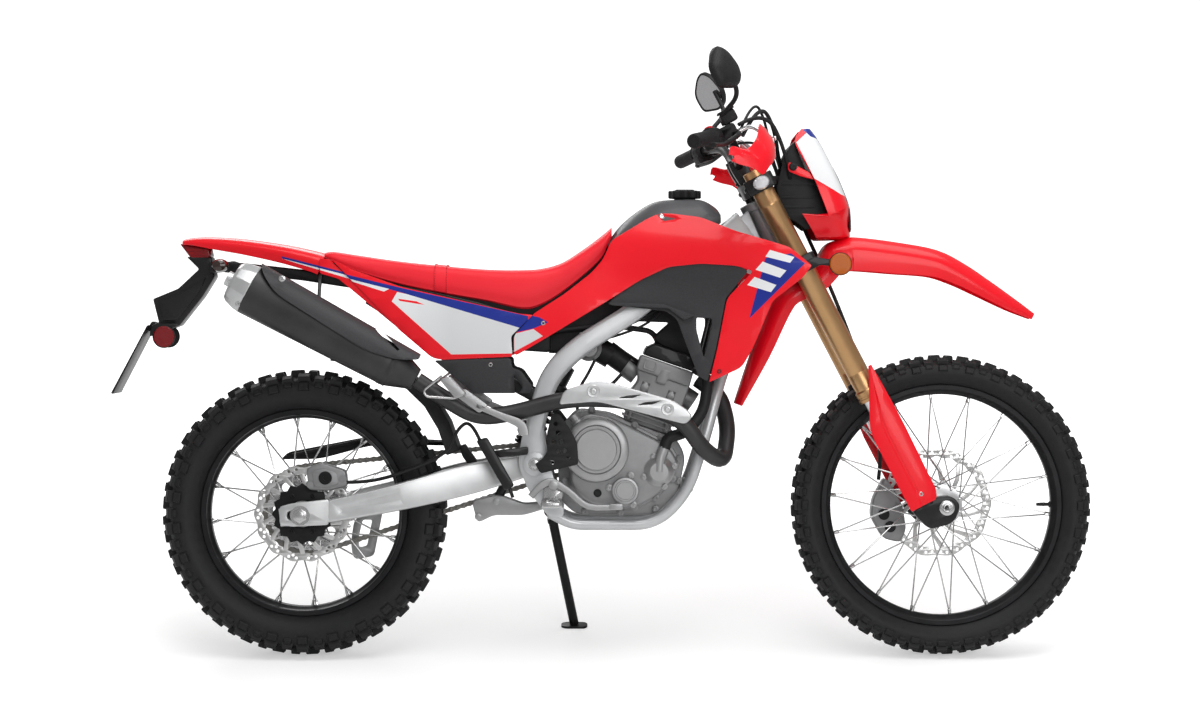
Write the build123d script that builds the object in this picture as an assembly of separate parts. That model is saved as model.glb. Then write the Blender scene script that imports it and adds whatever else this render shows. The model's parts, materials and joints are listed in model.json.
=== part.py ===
"""A dual sport motorcycle as an assembly of separate pieces.

The pieces are drawn on the upright machine: X runs forward from the rear axle, Y to the rider's
left, Z up from the ground, all in millimetres.  Steering pieces are drawn about the steering axis:
F ahead of it, Y to the left, S up along it.  At the end the whole machine is leaned over onto its
side stand, and set with the bottom centre of its box at the origin.
"""
from build123d import *
import math
import os

# ---- driving dimensions ------------------------------------------------------------------------
WHEELBASE = 1453.0
REAR_WHEEL_R = 325.0
FRONT_WHEEL_R = 342.0
RAKE = 27.5
HEAD_X, HEAD_Z = 1015.4, 1050.0
FORK_OFFSET = 25.2
FORK_SPREAD = 97.5
AXLE_LEAD = 36.0
STEER_LOCK = 44.0
SEAT_GAP = 0.3

PIVOT_X, PIVOT_Z = 527.0, 440.0
PIVOT_PLATE_IN, PIVOT_PLATE_OUT = 86.0, 110.0
AXLE_R = 10.0
AXLE_FIT = 0.3

LEAN = 10.2
STAND_PIVOT_X, STAND_PIVOT_Y, STAND_PIVOT_Z = 560.0, 127.0, 318.0
STAND_FOOT_AHEAD = 55.0
STAND_FOOT_OUT = 225.0

# ---- frames of reference -----------------------------------------------------------------------
RAKE_SIN = math.sin(math.radians(RAKE))
RAKE_COS = math.cos(math.radians(RAKE))
HEAD = Plane(origin=(HEAD_X, 0, HEAD_Z), x_dir=(RAKE_COS, 0, RAKE_SIN), z_dir=(-RAKE_SIN, 0, RAKE_COS))
FRONT_AXLE_F = FORK_OFFSET + AXLE_LEAD
FRONT_AXLE_S = -(WHEELBASE - HEAD_X - FRONT_AXLE_F * RAKE_COS) / RAKE_SIN
FRONT_AXLE_Z = HEAD_Z + FRONT_AXLE_F * RAKE_SIN + FRONT_AXLE_S * RAKE_COS


# ---- ways of making pieces ---------------------------------------------------------------------
def slab(outline, y_from, y_to):
    """A closed side outline of (X, Z) points, solid from y_from to y_to."""
    edge = Plane.XZ.offset(-y_from) * Polyline(*outline, close=True)
    return extrude(make_face(edge), amount=y_to - y_from, dir=(0, 1, 0))


def pin(x, z, y_from, y_to, radius):
    """A round bar that lies across the machine."""
    middle = (y_from + y_to) / 2
    return Pos(x, middle, z) * Rot(90, 0, 0) * Cylinder(radius, abs(y_to - y_from))


def post(f, y, s_from, s_to, radius):
    """A round bar that stands along the steering axis' direction."""
    return Pos(f, y, (s_from + s_to) / 2) * Cylinder(radius, abs(s_to - s_from))


def swept(points, section, bend):
    """A section carried along straight runs that are joined by arcs of radius bend."""
    if len(points) > 2:
        radii = bend if isinstance(bend, list) else [bend] * (len(points) - 2)
        path = FilletPolyline(*points, radius=radii)
    else:
        path = Line(*points)
    start = Plane(origin=path @ 0, z_dir=path % 0)
    return sweep(start * section, path=path)


def tube(points, radius, bend=40.0):
    return swept(points, Circle(radius), bend)


def hose(points, radius):
    """A thin line, six-sided in section and mitred at its bends."""
    path = Polyline(*points)
    start = Plane(origin=path @ 0, z_dir=path % 0)
    return sweep(start * RegularPolygon(radius, 6), path=path, transition=Transition.RIGHT)


def mirrored(shape):
    """The same piece on the other side of the machine."""
    return mirror(shape, about=Plane.XZ)


def both(shape):
    return [shape, mirrored(shape)]


def joined(pieces):
    """Several touching pieces made one solid."""
    first, *rest = pieces
    return first.fuse(*rest) if rest else first


def beam(stations):
    """A box section through stations of x, z, y, height, width; each joint is mitred."""
    sections = []
    count = len(stations)
    for i, (x, z, y, height, width) in enumerate(stations):
        x0, z0 = stations[max(i - 1, 0)][:2]
        x1, z1 = stations[min(i + 1, count - 1)][:2]
        along = Vector(x1 - x0, 0, z1 - z0)
        here = Plane(origin=(x, y, z), x_dir=(0, 1, 0), z_dir=along)
        sections.append(here * Rectangle(width, height))
    return loft(sections, ruled=True)


def edge_z(stations, x, side):
    """Height of a beam's upper (side 1) or lower (side -1) edge at x."""
    for (x0, z0, _, h0, _), (x1, z1, _, h1, _) in zip(stations, stations[1:]):
        if min(x0, x1) <= x <= max(x0, x1):
            share = (x - x0) / (x1 - x0)
            half = (h0 + (h1 - h0) * share) / 2
            return z0 + (z1 - z0) * share + side * half * math.hypot(x1 - x0, z1 - z0) / abs(x1 - x0)
    raise ValueError(f"no beam at {x}")


def polar(radius, degrees, x=0.0, z=0.0):
    """A point on a circle about (x, z), the angle counted from +X up towards +Z."""
    turn = math.radians(degrees)
    return (x + radius * math.cos(turn), z + radius * math.sin(turn))


def faceted(section, count, width):
    """A closed (radius, y) section carried round the Y axis as count flat-sided pitches."""
    step = math.radians(360.0 / count)
    reach = max(r for r, y in section) + 20.0
    half = reach * math.tan(step / 2)
    edge = Plane.YZ * Polyline(*[(y, r) for r, y in section], close=True)
    bar = extrude(make_face(edge), amount=half, both=True)
    return bar & slab([(0, 0), (half, reach), (-half, reach)], -width, width)


def around(piece, count):
    """The same piece repeated round the Y axis and made one solid."""
    return joined([Rot(0, 360.0 / count * i, 0) * piece for i in range(count)])


# ---- wheels ------------------------------------------------------------------------------------
class Wheel:
    """The sizes of one spoked wheel, hub to lug tips."""

    def __init__(self, radius, width, lug, pitches, seat_r, flange_r, flange_y, inner_r, hub_r, hub_y):
        self.radius = radius
        self.width = width
        self.lug = lug
        self.pitches = pitches
        self.seat_r = seat_r
        self.flange_r = flange_r
        self.flange_y = flange_y
        self.inner_r = inner_r
        self.hub_r = hub_r
        self.hub_y = hub_y


#                   radius        width  lug pitches seat  flange at y  inner  hub  hub y
FRONT = Wheel(FRONT_WHEEL_R, 90.0, 12.0, 32, 266.5, 275.0, 26.5, 252.0, 46.0, 33.0)
REAR = Wheel(REAR_WHEEL_R, 118.0, 14.0, 26, 228.0, 236.0, 32.0, 215.0, 48.0, 36.0)
WALL = 3.5
TYRE_GAP = 0.3
SPOKE = 3.6
SPOKE_GAP = 0.3


def tyre(wheel):
    """One pitch of the carcass with its centre block and two shoulder lugs, repeated and fused."""
    crown = wheel.radius - wheel.lug
    half = wheel.width / 2
    shoulder = crown - 0.2 * half
    rise = crown - wheel.flange_r
    bead_y = wheel.flange_y - WALL - TYRE_GAP
    over = wheel.flange_r + TYRE_GAP
    #        radius                       half width
    flank = [(wheel.seat_r + TYRE_GAP, bead_y),
             (over, bead_y),
             (over, wheel.flange_y + 1.0),
             (wheel.flange_r + 0.42 * rise, half),
             (shoulder, 0.9 * half),
             (crown, 0.42 * half)]
    section = flank + [(r, -y) for r, y in reversed(flank)]
    carcass = faceted(section, wheel.pitches, wheel.width)
    pitch = 2 * crown * math.tan(math.pi / wheel.pitches)
    block = 0.42 * pitch
    side_tilt = math.degrees(math.atan2(crown - shoulder, 0.48 * half))
    foot = 2.0
    centre = Box(block, 0.56 * half, wheel.lug + foot)
    parts = [carcass, Pos(-0.22 * pitch, 0, wheel.radius - (wheel.lug + foot) / 2) * centre]
    for side in (1, -1):
        seat = Pos(0.24 * pitch, side * 0.66 * half, (crown + shoulder) / 2) * Rot(-side * side_tilt, 0, 0)
        parts.append(seat * Pos(0, 0, wheel.lug / 2 - foot) * Box(block, 0.4 * half, wheel.lug))
    return around(joined(parts), wheel.pitches)


def rim(wheel):
    """The rolled hoop: two flanges, the bead seats and the narrower bed where the nipples sit."""
    outer = wheel.flange_y
    bed = outer - WALL
    half = [(wheel.seat_r, bed), (wheel.flange_r, bed), (wheel.flange_r, outer),
            (wheel.seat_r - WALL, outer), (wheel.inner_r, 0.42 * outer)]
    section = half + [(r, -y) for r, y in reversed(half)]
    return around(faceted(section, wheel.pitches, wheel.width), wheel.pitches)


def hub_and_spokes(wheel, count, crossing, left, right, core_r, seats):
    """The hub with its flanges and the seats for disc and sprocket, and the spokes against them."""
    flange = 5.0
    y = wheel.hub_y
    pieces = [pin(0, 0, -right, left, core_r)]
    for side in (1, -1):
        disc = extrude(Plane.XZ * RegularPolygon(wheel.hub_r, count // 2), amount=flange / 2, both=True)
        pieces.append(Pos(0, side * y, 0) * disc)
    for y0, y1, seat_r in seats:
        pieces.append(slab([polar(seat_r, 20.0 * i) for i in range(18)], y0, y1))
    hub = joined(pieces) - pin(0, 0, -right - 1, left + 1, AXLE_R + AXLE_FIT)
    per_group = count // 4
    end_r = wheel.inner_r - SPOKE / 2
    start_r = wheel.hub_r - 4.0
    beside = flange / 2 + SPOKE / 2 + SPOKE_GAP
    spokes = []
    for group, (side, lace) in enumerate(((1, 1), (1, -1), (-1, 1), (-1, -1))):
        for i in range(per_group):
            angle = 360.0 / per_group * i + 90.0 / per_group * group
            hx, hz = polar(start_r, angle)
            rx, rz = polar(end_r, angle + lace * crossing)
            head = Vector(hx, side * (y + lace * beside), hz)
            nipple = Vector(rx, side * 4.0 + lace * 2.2, rz)
            way = nipple - head
            place = Plane(origin=head + way * 0.5, x_dir=way.cross(Vector(0, 1, 0)), z_dir=way)
            spokes.append(place.location * Box(SPOKE, SPOKE, way.length))
    return [hub] + spokes


def brake_disc(outer_r, band, carrier_r, y, thick, arms, waves):
    """A wave disc: a drilled band on arms that run to the ring on the hub."""
    inner_r = outer_r - band
    edge = []
    for i in range(waves):
        edge.append(polar(outer_r, 360.0 / waves * i))
        edge.append(polar(outer_r - 5.0, 360.0 / waves * (i + 0.5)))
    y0, y1 = y - thick / 2, y + thick / 2
    centre = [polar(inner_r, 180.0 / arms * i) for i in range(2 * arms)]
    arm = slab([(carrier_r, -7), (inner_r + 3, 6), (inner_r + 3, 18), (carrier_r, 8)], y0, y1)
    pieces = [slab(edge, y0, y1) - slab(centre, y0 - 1, y1 + 1)]
    carrier = [polar(carrier_r + 9.0, 180.0 / arms * i) for i in range(2 * arms)]
    pieces += [slab(carrier, y0, y1)] + [Rot(0, 360.0 / arms * i, 0) * arm for i in range(arms)]
    cutters = [slab([polar(carrier_r, 180.0 / arms * i) for i in range(2 * arms)], y0 - 1, y1 + 1)]
    for i in range(waves):
        x, z = polar(outer_r - band / 2 - 1, 360.0 / waves * i)
        cutters.append(slab([(x - 4, z), (x, z - 4), (x + 4, z), (x, z + 4)], y0 - 1, y1 + 1))
    return joined(pieces) - cutters


REAR_AT = Pos(0, 0, REAR_WHEEL_R)
FRONT_AT = HEAD.location * Pos(FRONT_AXLE_F, 0, FRONT_AXLE_S) * Rot(0, -RAKE, 0)
FRONT_HUB_LEFT, FRONT_HUB_RIGHT = 62.0, 62.0
REAR_HUB_LEFT, REAR_HUB_RIGHT = 70.0, 68.0
FRONT_DISC_Y, REAR_DISC_Y, DISC_THICK = 64.5, -70.5, 4.0

#               spokes crossing left  right core  seats from y to y, radius
FRONT_LACING = (36, 55, 62.2, 62, 20, [(54, 62.2, 47)])
REAR_LACING = (32, 52, 70, 68.2, 24, [(-68.2, -60, 49), (60, 70, 57)])

# ---- chain drive -------------------------------------------------------------------------------
CHAIN_PITCH = 15.875
REAR_TEETH, FRONT_TEETH = 40, 14
CHAIN_Y = 74.0
CHAIN_WIDE = 14.0
CHAIN_HALF_HIGH = 6.5
OUTER_PLATE = 1.6
SPROCKET_THICK = 5.8
SPROCKET_X, SPROCKET_Z = 597.0, 449.0
REAR_PITCH_R = CHAIN_PITCH / 2 / math.sin(math.pi / REAR_TEETH)
FRONT_PITCH_R = CHAIN_PITCH / 2 / math.sin(math.pi / FRONT_TEETH)
TOOTH = 4.0


def sprocket(x, z, pitch_r, teeth, bore_r, windows):
    """A toothed plate on its centre, lightened by windows where it is large."""
    outline = []
    step = 360.0 / teeth
    for i in range(teeth):
        for share, radius in ((0.0, pitch_r - TOOTH), (0.38, pitch_r + TOOTH), (0.62, pitch_r + TOOTH)):
            outline.append(polar(radius, (i + share) * step, x, z))
    y0, y1 = CHAIN_Y - SPROCKET_THICK / 2, CHAIN_Y + SPROCKET_THICK / 2
    plate = slab(outline, y0, y1) - slab([polar(bore_r, 30.0 * i, x, z) for i in range(12)], y0 - 1, y1 + 1)
    near, far = bore_r + 10.0, pitch_r - 14.0
    for i in range(windows):
        a, b = 360.0 / windows * i, 360.0 / windows * (i + 0.62)
        corners = [polar(near, a, x, z), polar(far, a, x, z), polar(far, b, x, z), polar(near, b, x, z)]
        plate -= slab(corners, y0 - 1, y1 + 1)
    return plate


def chain():
    """The closed loop about both sprockets, with every second link's plates standing proud."""
    span = math.hypot(SPROCKET_X, SPROCKET_Z - REAR_WHEEL_R)
    rise = math.degrees(math.atan2(SPROCKET_Z - REAR_WHEEL_R, SPROCKET_X))
    close = math.degrees(math.asin((REAR_PITCH_R - FRONT_PITCH_R) / span))
    top, bottom = rise - close, rise + close
    run = math.sqrt(span ** 2 - (REAR_PITCH_R - FRONT_PITCH_R) ** 2)
    y0, y1 = CHAIN_Y - CHAIN_WIDE / 2, CHAIN_Y + CHAIN_WIDE / 2

    def loop(offset):
        """The chain line moved outwards, a flat for each link that lies on a sprocket."""
        points = []
        for x, z, radius, start, turn, links in (
                (0, REAR_WHEEL_R, REAR_PITCH_R, 90 + top, 180 + 2 * close, 21),
                (SPROCKET_X, SPROCKET_Z, FRONT_PITCH_R, 270 + bottom, 180 - 2 * close, 7)):
            for i in range(links + 1):
                points.append(polar(radius + offset, start + turn * i / links, x, z))
        return points

    band = slab(loop(CHAIN_HALF_HIGH), y0, y1) - slab(loop(-CHAIN_HALF_HIGH), y0 - 1, y1 + 1)
    half = SPROCKET_THICK / 2 + 0.3
    for x, z, radius in ((0, REAR_WHEEL_R, REAR_PITCH_R), (SPROCKET_X, SPROCKET_Z, FRONT_PITCH_R)):
        room = [polar(radius + CHAIN_HALF_HIGH + 3.0, 15.0 * i, x, z) for i in range(24)]
        band -= slab(room, CHAIN_Y - half, CHAIN_Y + half)

    def station(distance):
        """The place and direction of the pitch line, a distance along it from the rear top."""
        rear_arc = math.radians(180 + 2 * close) * REAR_PITCH_R
        front_arc = math.radians(180 - 2 * close) * FRONT_PITCH_R
        if distance < run:
            x, z = polar(REAR_PITCH_R, 90 + top, 0, REAR_WHEEL_R)
            step_x, step_z = polar(distance, top)
            return x + step_x, z + step_z, top
        distance -= run
        if distance < front_arc:
            angle = 90 + top - math.degrees(distance / FRONT_PITCH_R)
            x, z = polar(FRONT_PITCH_R, angle, SPROCKET_X, SPROCKET_Z)
            return x, z, angle - 90
        distance -= front_arc
        if distance < run:
            x, z = polar(FRONT_PITCH_R, 270 + bottom, SPROCKET_X, SPROCKET_Z)
            step_x, step_z = polar(distance, 180 + bottom)
            return x + step_x, z + step_z, bottom
        distance -= run
        angle = 270 + bottom - math.degrees(distance / REAR_PITCH_R)
        x, z = polar(REAR_PITCH_R, angle, 0, REAR_WHEEL_R)
        return x, z, angle - 90

    length = 2 * run + math.radians(180 + 2 * close) * REAR_PITCH_R
    length += math.radians(180 - 2 * close) * FRONT_PITCH_R
    pairs = int(length / (2 * CHAIN_PITCH))
    plates = [band]
    for i in range(pairs):
        x, z, angle = station((i + 0.25) * length / pairs)
        plate = Box(1.25 * CHAIN_PITCH, OUTER_PLATE + 1.0, 1.7 * CHAIN_HALF_HIGH)
        plates.append(Pos(x, y1 + OUTER_PLATE / 2 - 0.5, z) * Rot(0, -angle, 0) * plate)
    return joined(plates)


# ---- frame, swingarm and stand -----------------------------------------------------------------
STEM_R = 15.0
HEAD_TUBE_R = 33.0
HEAD_TUBE_S = (-168.0, -16.0)
#         x       z      y     height width
SPAR = [(1012.0, 982.0, 30.0, 78.0, 24.0),
        (905.0, 908.0, 76.0, 56.0, 26.0),
        (750.0, 784.0, 88.0, 47.0, 26.0),
        (637.0, 711.0, 96.0, 47.0, 24.0),
        (575.0, 655.0, 98.0, 46.0, 24.0),
        (540.0, 590.0, 98.0, 44.0, 24.0),
        (524.0, 500.0, 98.0, 44.0, 24.0)]
PIVOT_PLATE = [(500, 520), (548, 520), (562, 430), (592, 350), (592, 322), (560, 318), (512, 380), (488, 440)]
CRADLE_R = 13.0
CRADLE_Y = 78.0
DOWN_TUBE_R = 17.0
DOWN_TUBE_TOP = (1070.0, 930.0)
DOWN_TUBE_END = (965.0, 672.0)
RAIL = [(560.0, 735.0, 92.0, 30.0, 20.0),
        (400.0, 790.0, 88.0, 28.0, 20.0),
        (216.0, 831.0, 78.0, 28.0, 20.0),
        (0.0, 866.0, 62.0, 26.0, 18.0),
        (-190.0, 886.0, 52.0, 26.0, 18.0)]
STRUT = [(530.0, 590.0, 95.0, 28.0, 18.0),
         (330.0, 700.0, 92.0, 26.0, 18.0),
         (150.0, 812.0, 76.0, 26.0, 18.0)]


def frame():
    """Head tube, two box spars, pivot plates, down tube split into a cradle, and the rear rails."""
    pieces = [HEAD.location * post(0, 0, *HEAD_TUBE_S, HEAD_TUBE_R)]
    top_x, top_z = DOWN_TUBE_TOP
    end_x, end_z = DOWN_TUBE_END
    pieces.append(tube([(top_x, 0, top_z), (end_x, 0, end_z)], DOWN_TUBE_R))
    cradle = [(end_x + 4, 8, end_z + 14), (938, 62, 600), (915, CRADLE_Y, 510), (872, CRADLE_Y, 375),
              (800, CRADLE_Y, 302), (610, CRADLE_Y, 302), (560, CRADLE_Y + 10, 330)]
    for side in (1, -1):
        turn = [(x, side * y, z) for x, y, z in cradle]
        spar = [(x, z, side * y, h, w) for x, z, y, h, w in SPAR]
        rail = [(x, z, side * y, h, w) for x, z, y, h, w in RAIL]
        strut = [(x, z, side * y, h, w) for x, z, y, h, w in STRUT]
        y0, y1 = sorted((side * PIVOT_PLATE_IN, side * PIVOT_PLATE_OUT))
        plate = slab(PIVOT_PLATE, y0, y1)
        pieces += [beam(spar), plate, beam(rail), beam(strut), tube(turn, CRADLE_R, [30, 30, 60, 60, 30])]
    cross = [(-150, 855), (-120, 860), (-120, 885), (-150, 885)]
    pieces += [slab(cross, -56, 56), pin(*SHOCK_TOP, -98, 98, 12)]
    body = joined(pieces)
    body -= HEAD.location * post(0, 0, HEAD_TUBE_S[0] - 9, HEAD_TUBE_S[1] + 9, STEM_R + AXLE_FIT)
    return body - pin(PIVOT_X, PIVOT_Z, -130, 130, PIVOT_BOLT_R + AXLE_FIT)


PIVOT_BOLT_R = 9.0
SHOCK_TOP, SHOCK_FOOT = (600.0, 665.0), (437.0, 350.0)
PIVOT_TUBE_R = 24.0
#        x      z      y     height width
ARM = [(PIVOT_X, PIVOT_Z, 60.0, 48.0, 34.0),
       (450.0, 421.0, 62.0, 62.0, 32.0),
       (359.0, 400.0, 80.0, 70.0, 30.0),
       (230.0, 368.0, 106.0, 62.0, 28.0),
       (70.0, 335.0, 110.0, 52.0, 28.0),
       (-48.0, 320.0, 110.0, 42.0, 28.0)]


CROSS_TOP = 432.0


def swingarm():
    """Two tapered box arms, the cross box ahead of the tyre and the tube for the pivot bolt."""
    pieces = [pin(PIVOT_X, PIVOT_Z, -PIVOT_PLATE_IN + SEAT_GAP, PIVOT_PLATE_IN - SEAT_GAP, PIVOT_TUBE_R)]
    pieces.append(slab([(376, 372), (440, 392), (452, CROSS_TOP), (376, CROSS_TOP)], -70, 70))
    for side in (1, -1):
        pieces.append(beam([(x, z, side * y, h, w) for x, z, y, h, w in ARM]))
    body = joined(pieces) - pin(PIVOT_X, PIVOT_Z, -100, 100, PIVOT_BOLT_R + AXLE_FIT)
    slot = [(-30, REAR_WHEEL_R - 11), (14, REAR_WHEEL_R - 11), (14, REAR_WHEEL_R + 11), (-30, REAR_WHEEL_R + 11)]
    return body - slab(slot, -140, 140)


def axles():
    """The rear axle with its spacers and adjuster blocks, and the swingarm's pivot bolt."""
    arm_in, arm_out = 96.0, 124.0
    shaft = pin(0, REAR_WHEEL_R, -arm_out - 16, arm_out + 16, AXLE_R)
    pieces = [shaft]
    for y0, y1 in ((REAR_HUB_LEFT + SEAT_GAP, arm_in - SEAT_GAP), (-REAR_HUB_RIGHT - SEAT_GAP, -arm_in + SEAT_GAP),
                   (arm_out + SEAT_GAP, arm_out + 12), (-arm_out - SEAT_GAP, -arm_out - 12)):
        pieces.append(pin(0, REAR_WHEEL_R, min(y0, y1), max(y0, y1), 16.0))
    bolt = pin(PIVOT_X, PIVOT_Z, -PIVOT_PLATE_OUT - 9, PIVOT_PLATE_OUT + 9, PIVOT_BOLT_R)
    heads = [pin(PIVOT_X, PIVOT_Z, *sorted((s * (PIVOT_PLATE_OUT + SEAT_GAP), s * (PIVOT_PLATE_OUT + 9))), 15.0)
             for s in (1, -1)]
    return [joined(pieces), joined([bolt] + heads)]


# ---- engine ------------------------------------------------------------------------------------
CASE = [(578, 420), (584, 520), (622, 566), (700, 570), (752, 552), (838, 520), (868, 455), (852, 375),
        (800, 322), (622, 322), (586, 352)]
CASE_HALF = 62.0
CRANK_X, CRANK_Z = 770.0, 440.0
CLUTCH_X, CLUTCH_Z = 667.0, 473.0
CYLINDER_LEAN = 18.9
CYLINDER_X, CYLINDER_Z = 778.0, 520.0
COVER = [(614, 544), (642, 563), (690, 556), (743, 531), (815, 494), (840, 475), (856, 443), (846, 418),
         (812, 368), (759, 337), (696, 334), (642, 346), (602, 390)]
GENERATOR = [(705, 470), (730, 515), (790, 520), (838, 480), (846, 430), (820, 380), (768, 360), (715, 385)]


def cylinder_frame():
    """The plane on top of the crankcase that the leaning cylinder stands on."""
    lean = math.radians(CYLINDER_LEAN)
    up = (math.sin(lean), 0, math.cos(lean))
    ahead = (math.cos(lean), 0, -math.sin(lean))
    return Plane(origin=(CYLINDER_X, 0, CYLINDER_Z), x_dir=ahead, z_dir=up)


def crankcase():
    """Both case halves as one block, with the lugs that hang it in the frame."""
    rear_lug = pin(577, 372, -PIVOT_PLATE_IN + SEAT_GAP, PIVOT_PLATE_IN - SEAT_GAP, 15)
    front_lug = pin(870, 385, -CRADLE_Y + CRADLE_R + SEAT_GAP, CRADLE_Y - CRADLE_R - SEAT_GAP, 16)
    case = joined([slab(CASE, -CASE_HALF, CASE_HALF), rear_lug, front_lug])
    shaft = pin(SPROCKET_X, SPROCKET_Z, CASE_HALF - 5, CHAIN_Y + 8, 12)
    seat = cylinder_frame().location * Pos(0, 0, 60) * Box(130, 130, 120)
    return joined([case, shaft]) - seat


def engine_covers():
    """Clutch cover with its raised lids on the right, generator and sprocket covers on the left."""
    right = [slab(COVER, -118, -CASE_HALF - SEAT_GAP)]
    right += [pin(CLUTCH_X, CLUTCH_Z, -130, -110, 70), pin(CLUTCH_X - 9, CLUTCH_Z, -136, -110, 44)]
    right += [pin(730, 381, -132, -110, 30), pin(805, 426, -134, -110, 27)]
    left = [slab(GENERATOR, CASE_HALF + SEAT_GAP, 112), pin(775, 440, 105, 120, 48)]
    return [joined(right), joined(left)]


def cylinder():
    """Barrel and head of the single cylinder, finned at its foot, exhaust port ahead, inlet behind."""
    place = cylinder_frame().location
    pieces = [Pos(0, 0, 31 + SEAT_GAP) * Box(112, 112, 62 - SEAT_GAP)]
    for i in range(3):
        pieces.append(Pos(0, 0, 14 + 17 * i) * Box(122, 122, 7))
    pieces.append(Pos(0, 0, 108) * Box(128, 126, 92))
    exhaust = Plane(origin=(56, EXHAUST_Y, 96), z_dir=(1, 0, -0.25)).location * Pos(0, 0, 12) * Cylinder(24, 26)
    inlet = Plane(origin=(-56, 0, 108), z_dir=(-1, 0, 0.3)).location * Pos(0, 0, 12) * Cylinder(27, 30)
    return place * joined(pieces + [exhaust, inlet])


def head_cover():
    """The cam cover on top of the head."""
    lid = Pos(0, 0, 154 + 17 + SEAT_GAP) * Box(118, 120, 34)
    lid = chamfer(lid.edges().filter_by(Axis.Y).group_by(Axis.Z)[-1], 14)
    return cylinder_frame().location * lid


EXHAUST_Y = 0.0
PIPE_R = 19.0
PIPE = [(898, 0, 628), (948, -12, 592), (966, -40, 520), (952, -100, 440), (900, -148, 478), (860, -158, 540),
        (740, -162, 586), (600, -160, 590), (480, -152, 556), (400, -152, 545), (330, -160, 586), (264.5, -164, 630.2)]
PIPE_BENDS = [28, 34, 40, 40, 40, 40, 70, 70, 70, 60, 50]


def exhaust_pipe():
    """The header: down ahead of the cradle, a U bend, and back along the right side."""
    return tube(PIPE, PIPE_R, PIPE_BENDS[:len(PIPE) - 2])


SILENCER_FRONT = (262.0, -165.0, 632.0)
SILENCER_REAR = (-112.0, -165.0, 834.0)


def along_silencer(share):
    """A plane across the silencer, at a share of its length from the front end."""
    front, rear = Vector(*SILENCER_FRONT), Vector(*SILENCER_REAR)
    return Plane(origin=front + (rear - front) * share, x_dir=(0, 1, 0), z_dir=rear - front)


def oval(share, half_wide, half_high, sides=12):
    """A flat-sided oval across the silencer."""
    corners = []
    for i in range(sides):
        turn = 2 * math.pi * (i + 0.5) / sides
        corners.append((half_wide * math.cos(turn), half_high * math.sin(turn)))
    return along_silencer(share) * make_face(Polyline(*corners, close=True))


SILENCER_HANGER_X = 38.0


def silencer():
    """The oval can, its tapered front cone and the end cap with its outlet."""
    can = loft([oval(0.0, 25, 25), oval(0.14, 49, 48), oval(1.0, 56, 57), oval(1.09, 40, 42)], ruled=True)
    outlet = along_silencer(1.08).location * Pos(0, -10, 12) * Cylinder(17, 24)
    hanger = [(-75, 868), (-75, 850), (-92, 838), (-118, 786), (-130, 792), (-102, 852), (-88, 868)]
    hanger = extrude(Plane.YZ.offset(SILENCER_HANGER_X) * make_face(Polyline(*hanger, close=True)), amount=7)
    return joined([can, outlet, hanger])


def silencer_guard():
    """The moulded shield that covers the upper outer side of the can."""
    outline = [(-84, 911), (-60, 909), (54, 861), (108, 832), (176, 773), (274, 697), (274, 674), (221, 676),
               (153, 697), (-46, 822), (-78, 870)]
    outer = loft([oval(-0.1, 52, 50.5), oval(1.1, 61.5, 62.5)], ruled=True)
    inner = loft([oval(-0.1, 47.5, 46.0), oval(1.1, 57.2, 58.5)], ruled=True)
    return (outer & slab(outline, -260, SILENCER_FRONT[1] + 6)) - inner


# ---- bodywork ----------------------------------------------------------------------------------
PANEL = 3.0
#          x     half width of the flank at each of FLANK_LEVELS
FLANK_LEVELS = (1060.0, 870.0, 700.0, 530.0)
FLANK = [(-300.0, 60.0, 72.0, 74.0, 74.0),
         (0.0, 86.0, 104.0, 116.0, 116.0),
         (250.0, 98.0, 118.0, 128.0, 128.0),
         (500.0, 98.0, 124.0, 134.0, 130.0),
         (700.0, 104.0, 132.0, 150.0, 150.0),
         (880.0, 116.0, 162.0, 174.0, 166.0),
         (1020.0, 140.0, 186.0, 190.0, 178.0),
         (1160.0, 156.0, 205.0, 205.0, 195.0)]


def flank(inset, thick):
    """The left side's outer surface as one skin, set in from the outermost face."""
    sections = []
    for x, *widths in FLANK:
        outer = [(y - inset, z) for y, z in zip(widths, FLANK_LEVELS)]
        inner = [(y - thick, z) for y, z in reversed(outer)]
        sections.append(make_face(Plane.YZ.offset(x) * Polyline(*outer, *inner, close=True)))
    return loft(sections, ruled=True)


def panel(outline, inset, thick=PANEL, holes=(), bosses=()):
    """A skin panel of the left side, cut to its side outline, and its mirror on the right."""
    left = flank(inset, thick) & slab(outline, 20, 260)
    for hole in holes:
        left -= slab(hole, 20, 260)
    left = joined([left] + [pin(*boss) for boss in bosses])
    return both(left)


#                 x    z    from y to y   radius
SHROUD_BOSSES = [(800, 970, 108.6, 126.5, 8), (950, 740, 128.3, 178.5, 7)]
PANEL_BOSSES = [(400, 785, 98.6, 124.5, 8), (140, 846, 83.2, 111.5, 7)]
SHROUD = [(477, 728), (527, 780), (594, 823), (654, 870), (680, 900), (699, 943), (805, 1007), (898, 995),
          (976, 963), (1054, 939), (1095, 926), (1143, 885), (1122, 858), (1056, 807), (1014, 705), (988, 659),
          (915, 625), (934, 701), (956, 813), (1014, 873), (976, 885), (898, 890), (826, 883), (762, 853),
          (680, 801), (559, 728), (480, 681)]
LOUVRE = [(690, 794), (760, 849), (826, 879), (898, 886), (976, 881), (1000, 873), (953, 813), (931, 701),
          (912, 630), (893, 640), (861, 720), (845, 767), (820, 784)]
WINDOW = [(888, 770), (922, 768), (922, 750), (904, 676), (888, 742)]
SIDE_PANEL = [(67, 902), (113, 879), (224, 838), (396, 799), (494, 777), (514, 770), (470, 728), (473, 684),
              (319, 675), (297, 679), (224, 741)]
LOWER_COVER = [(298, 674.6), (442, 557), (470, 548), (491, 551), (522, 614), (496, 651), (474, 657), (473, 680),
               (319, 674.6)]
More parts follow.
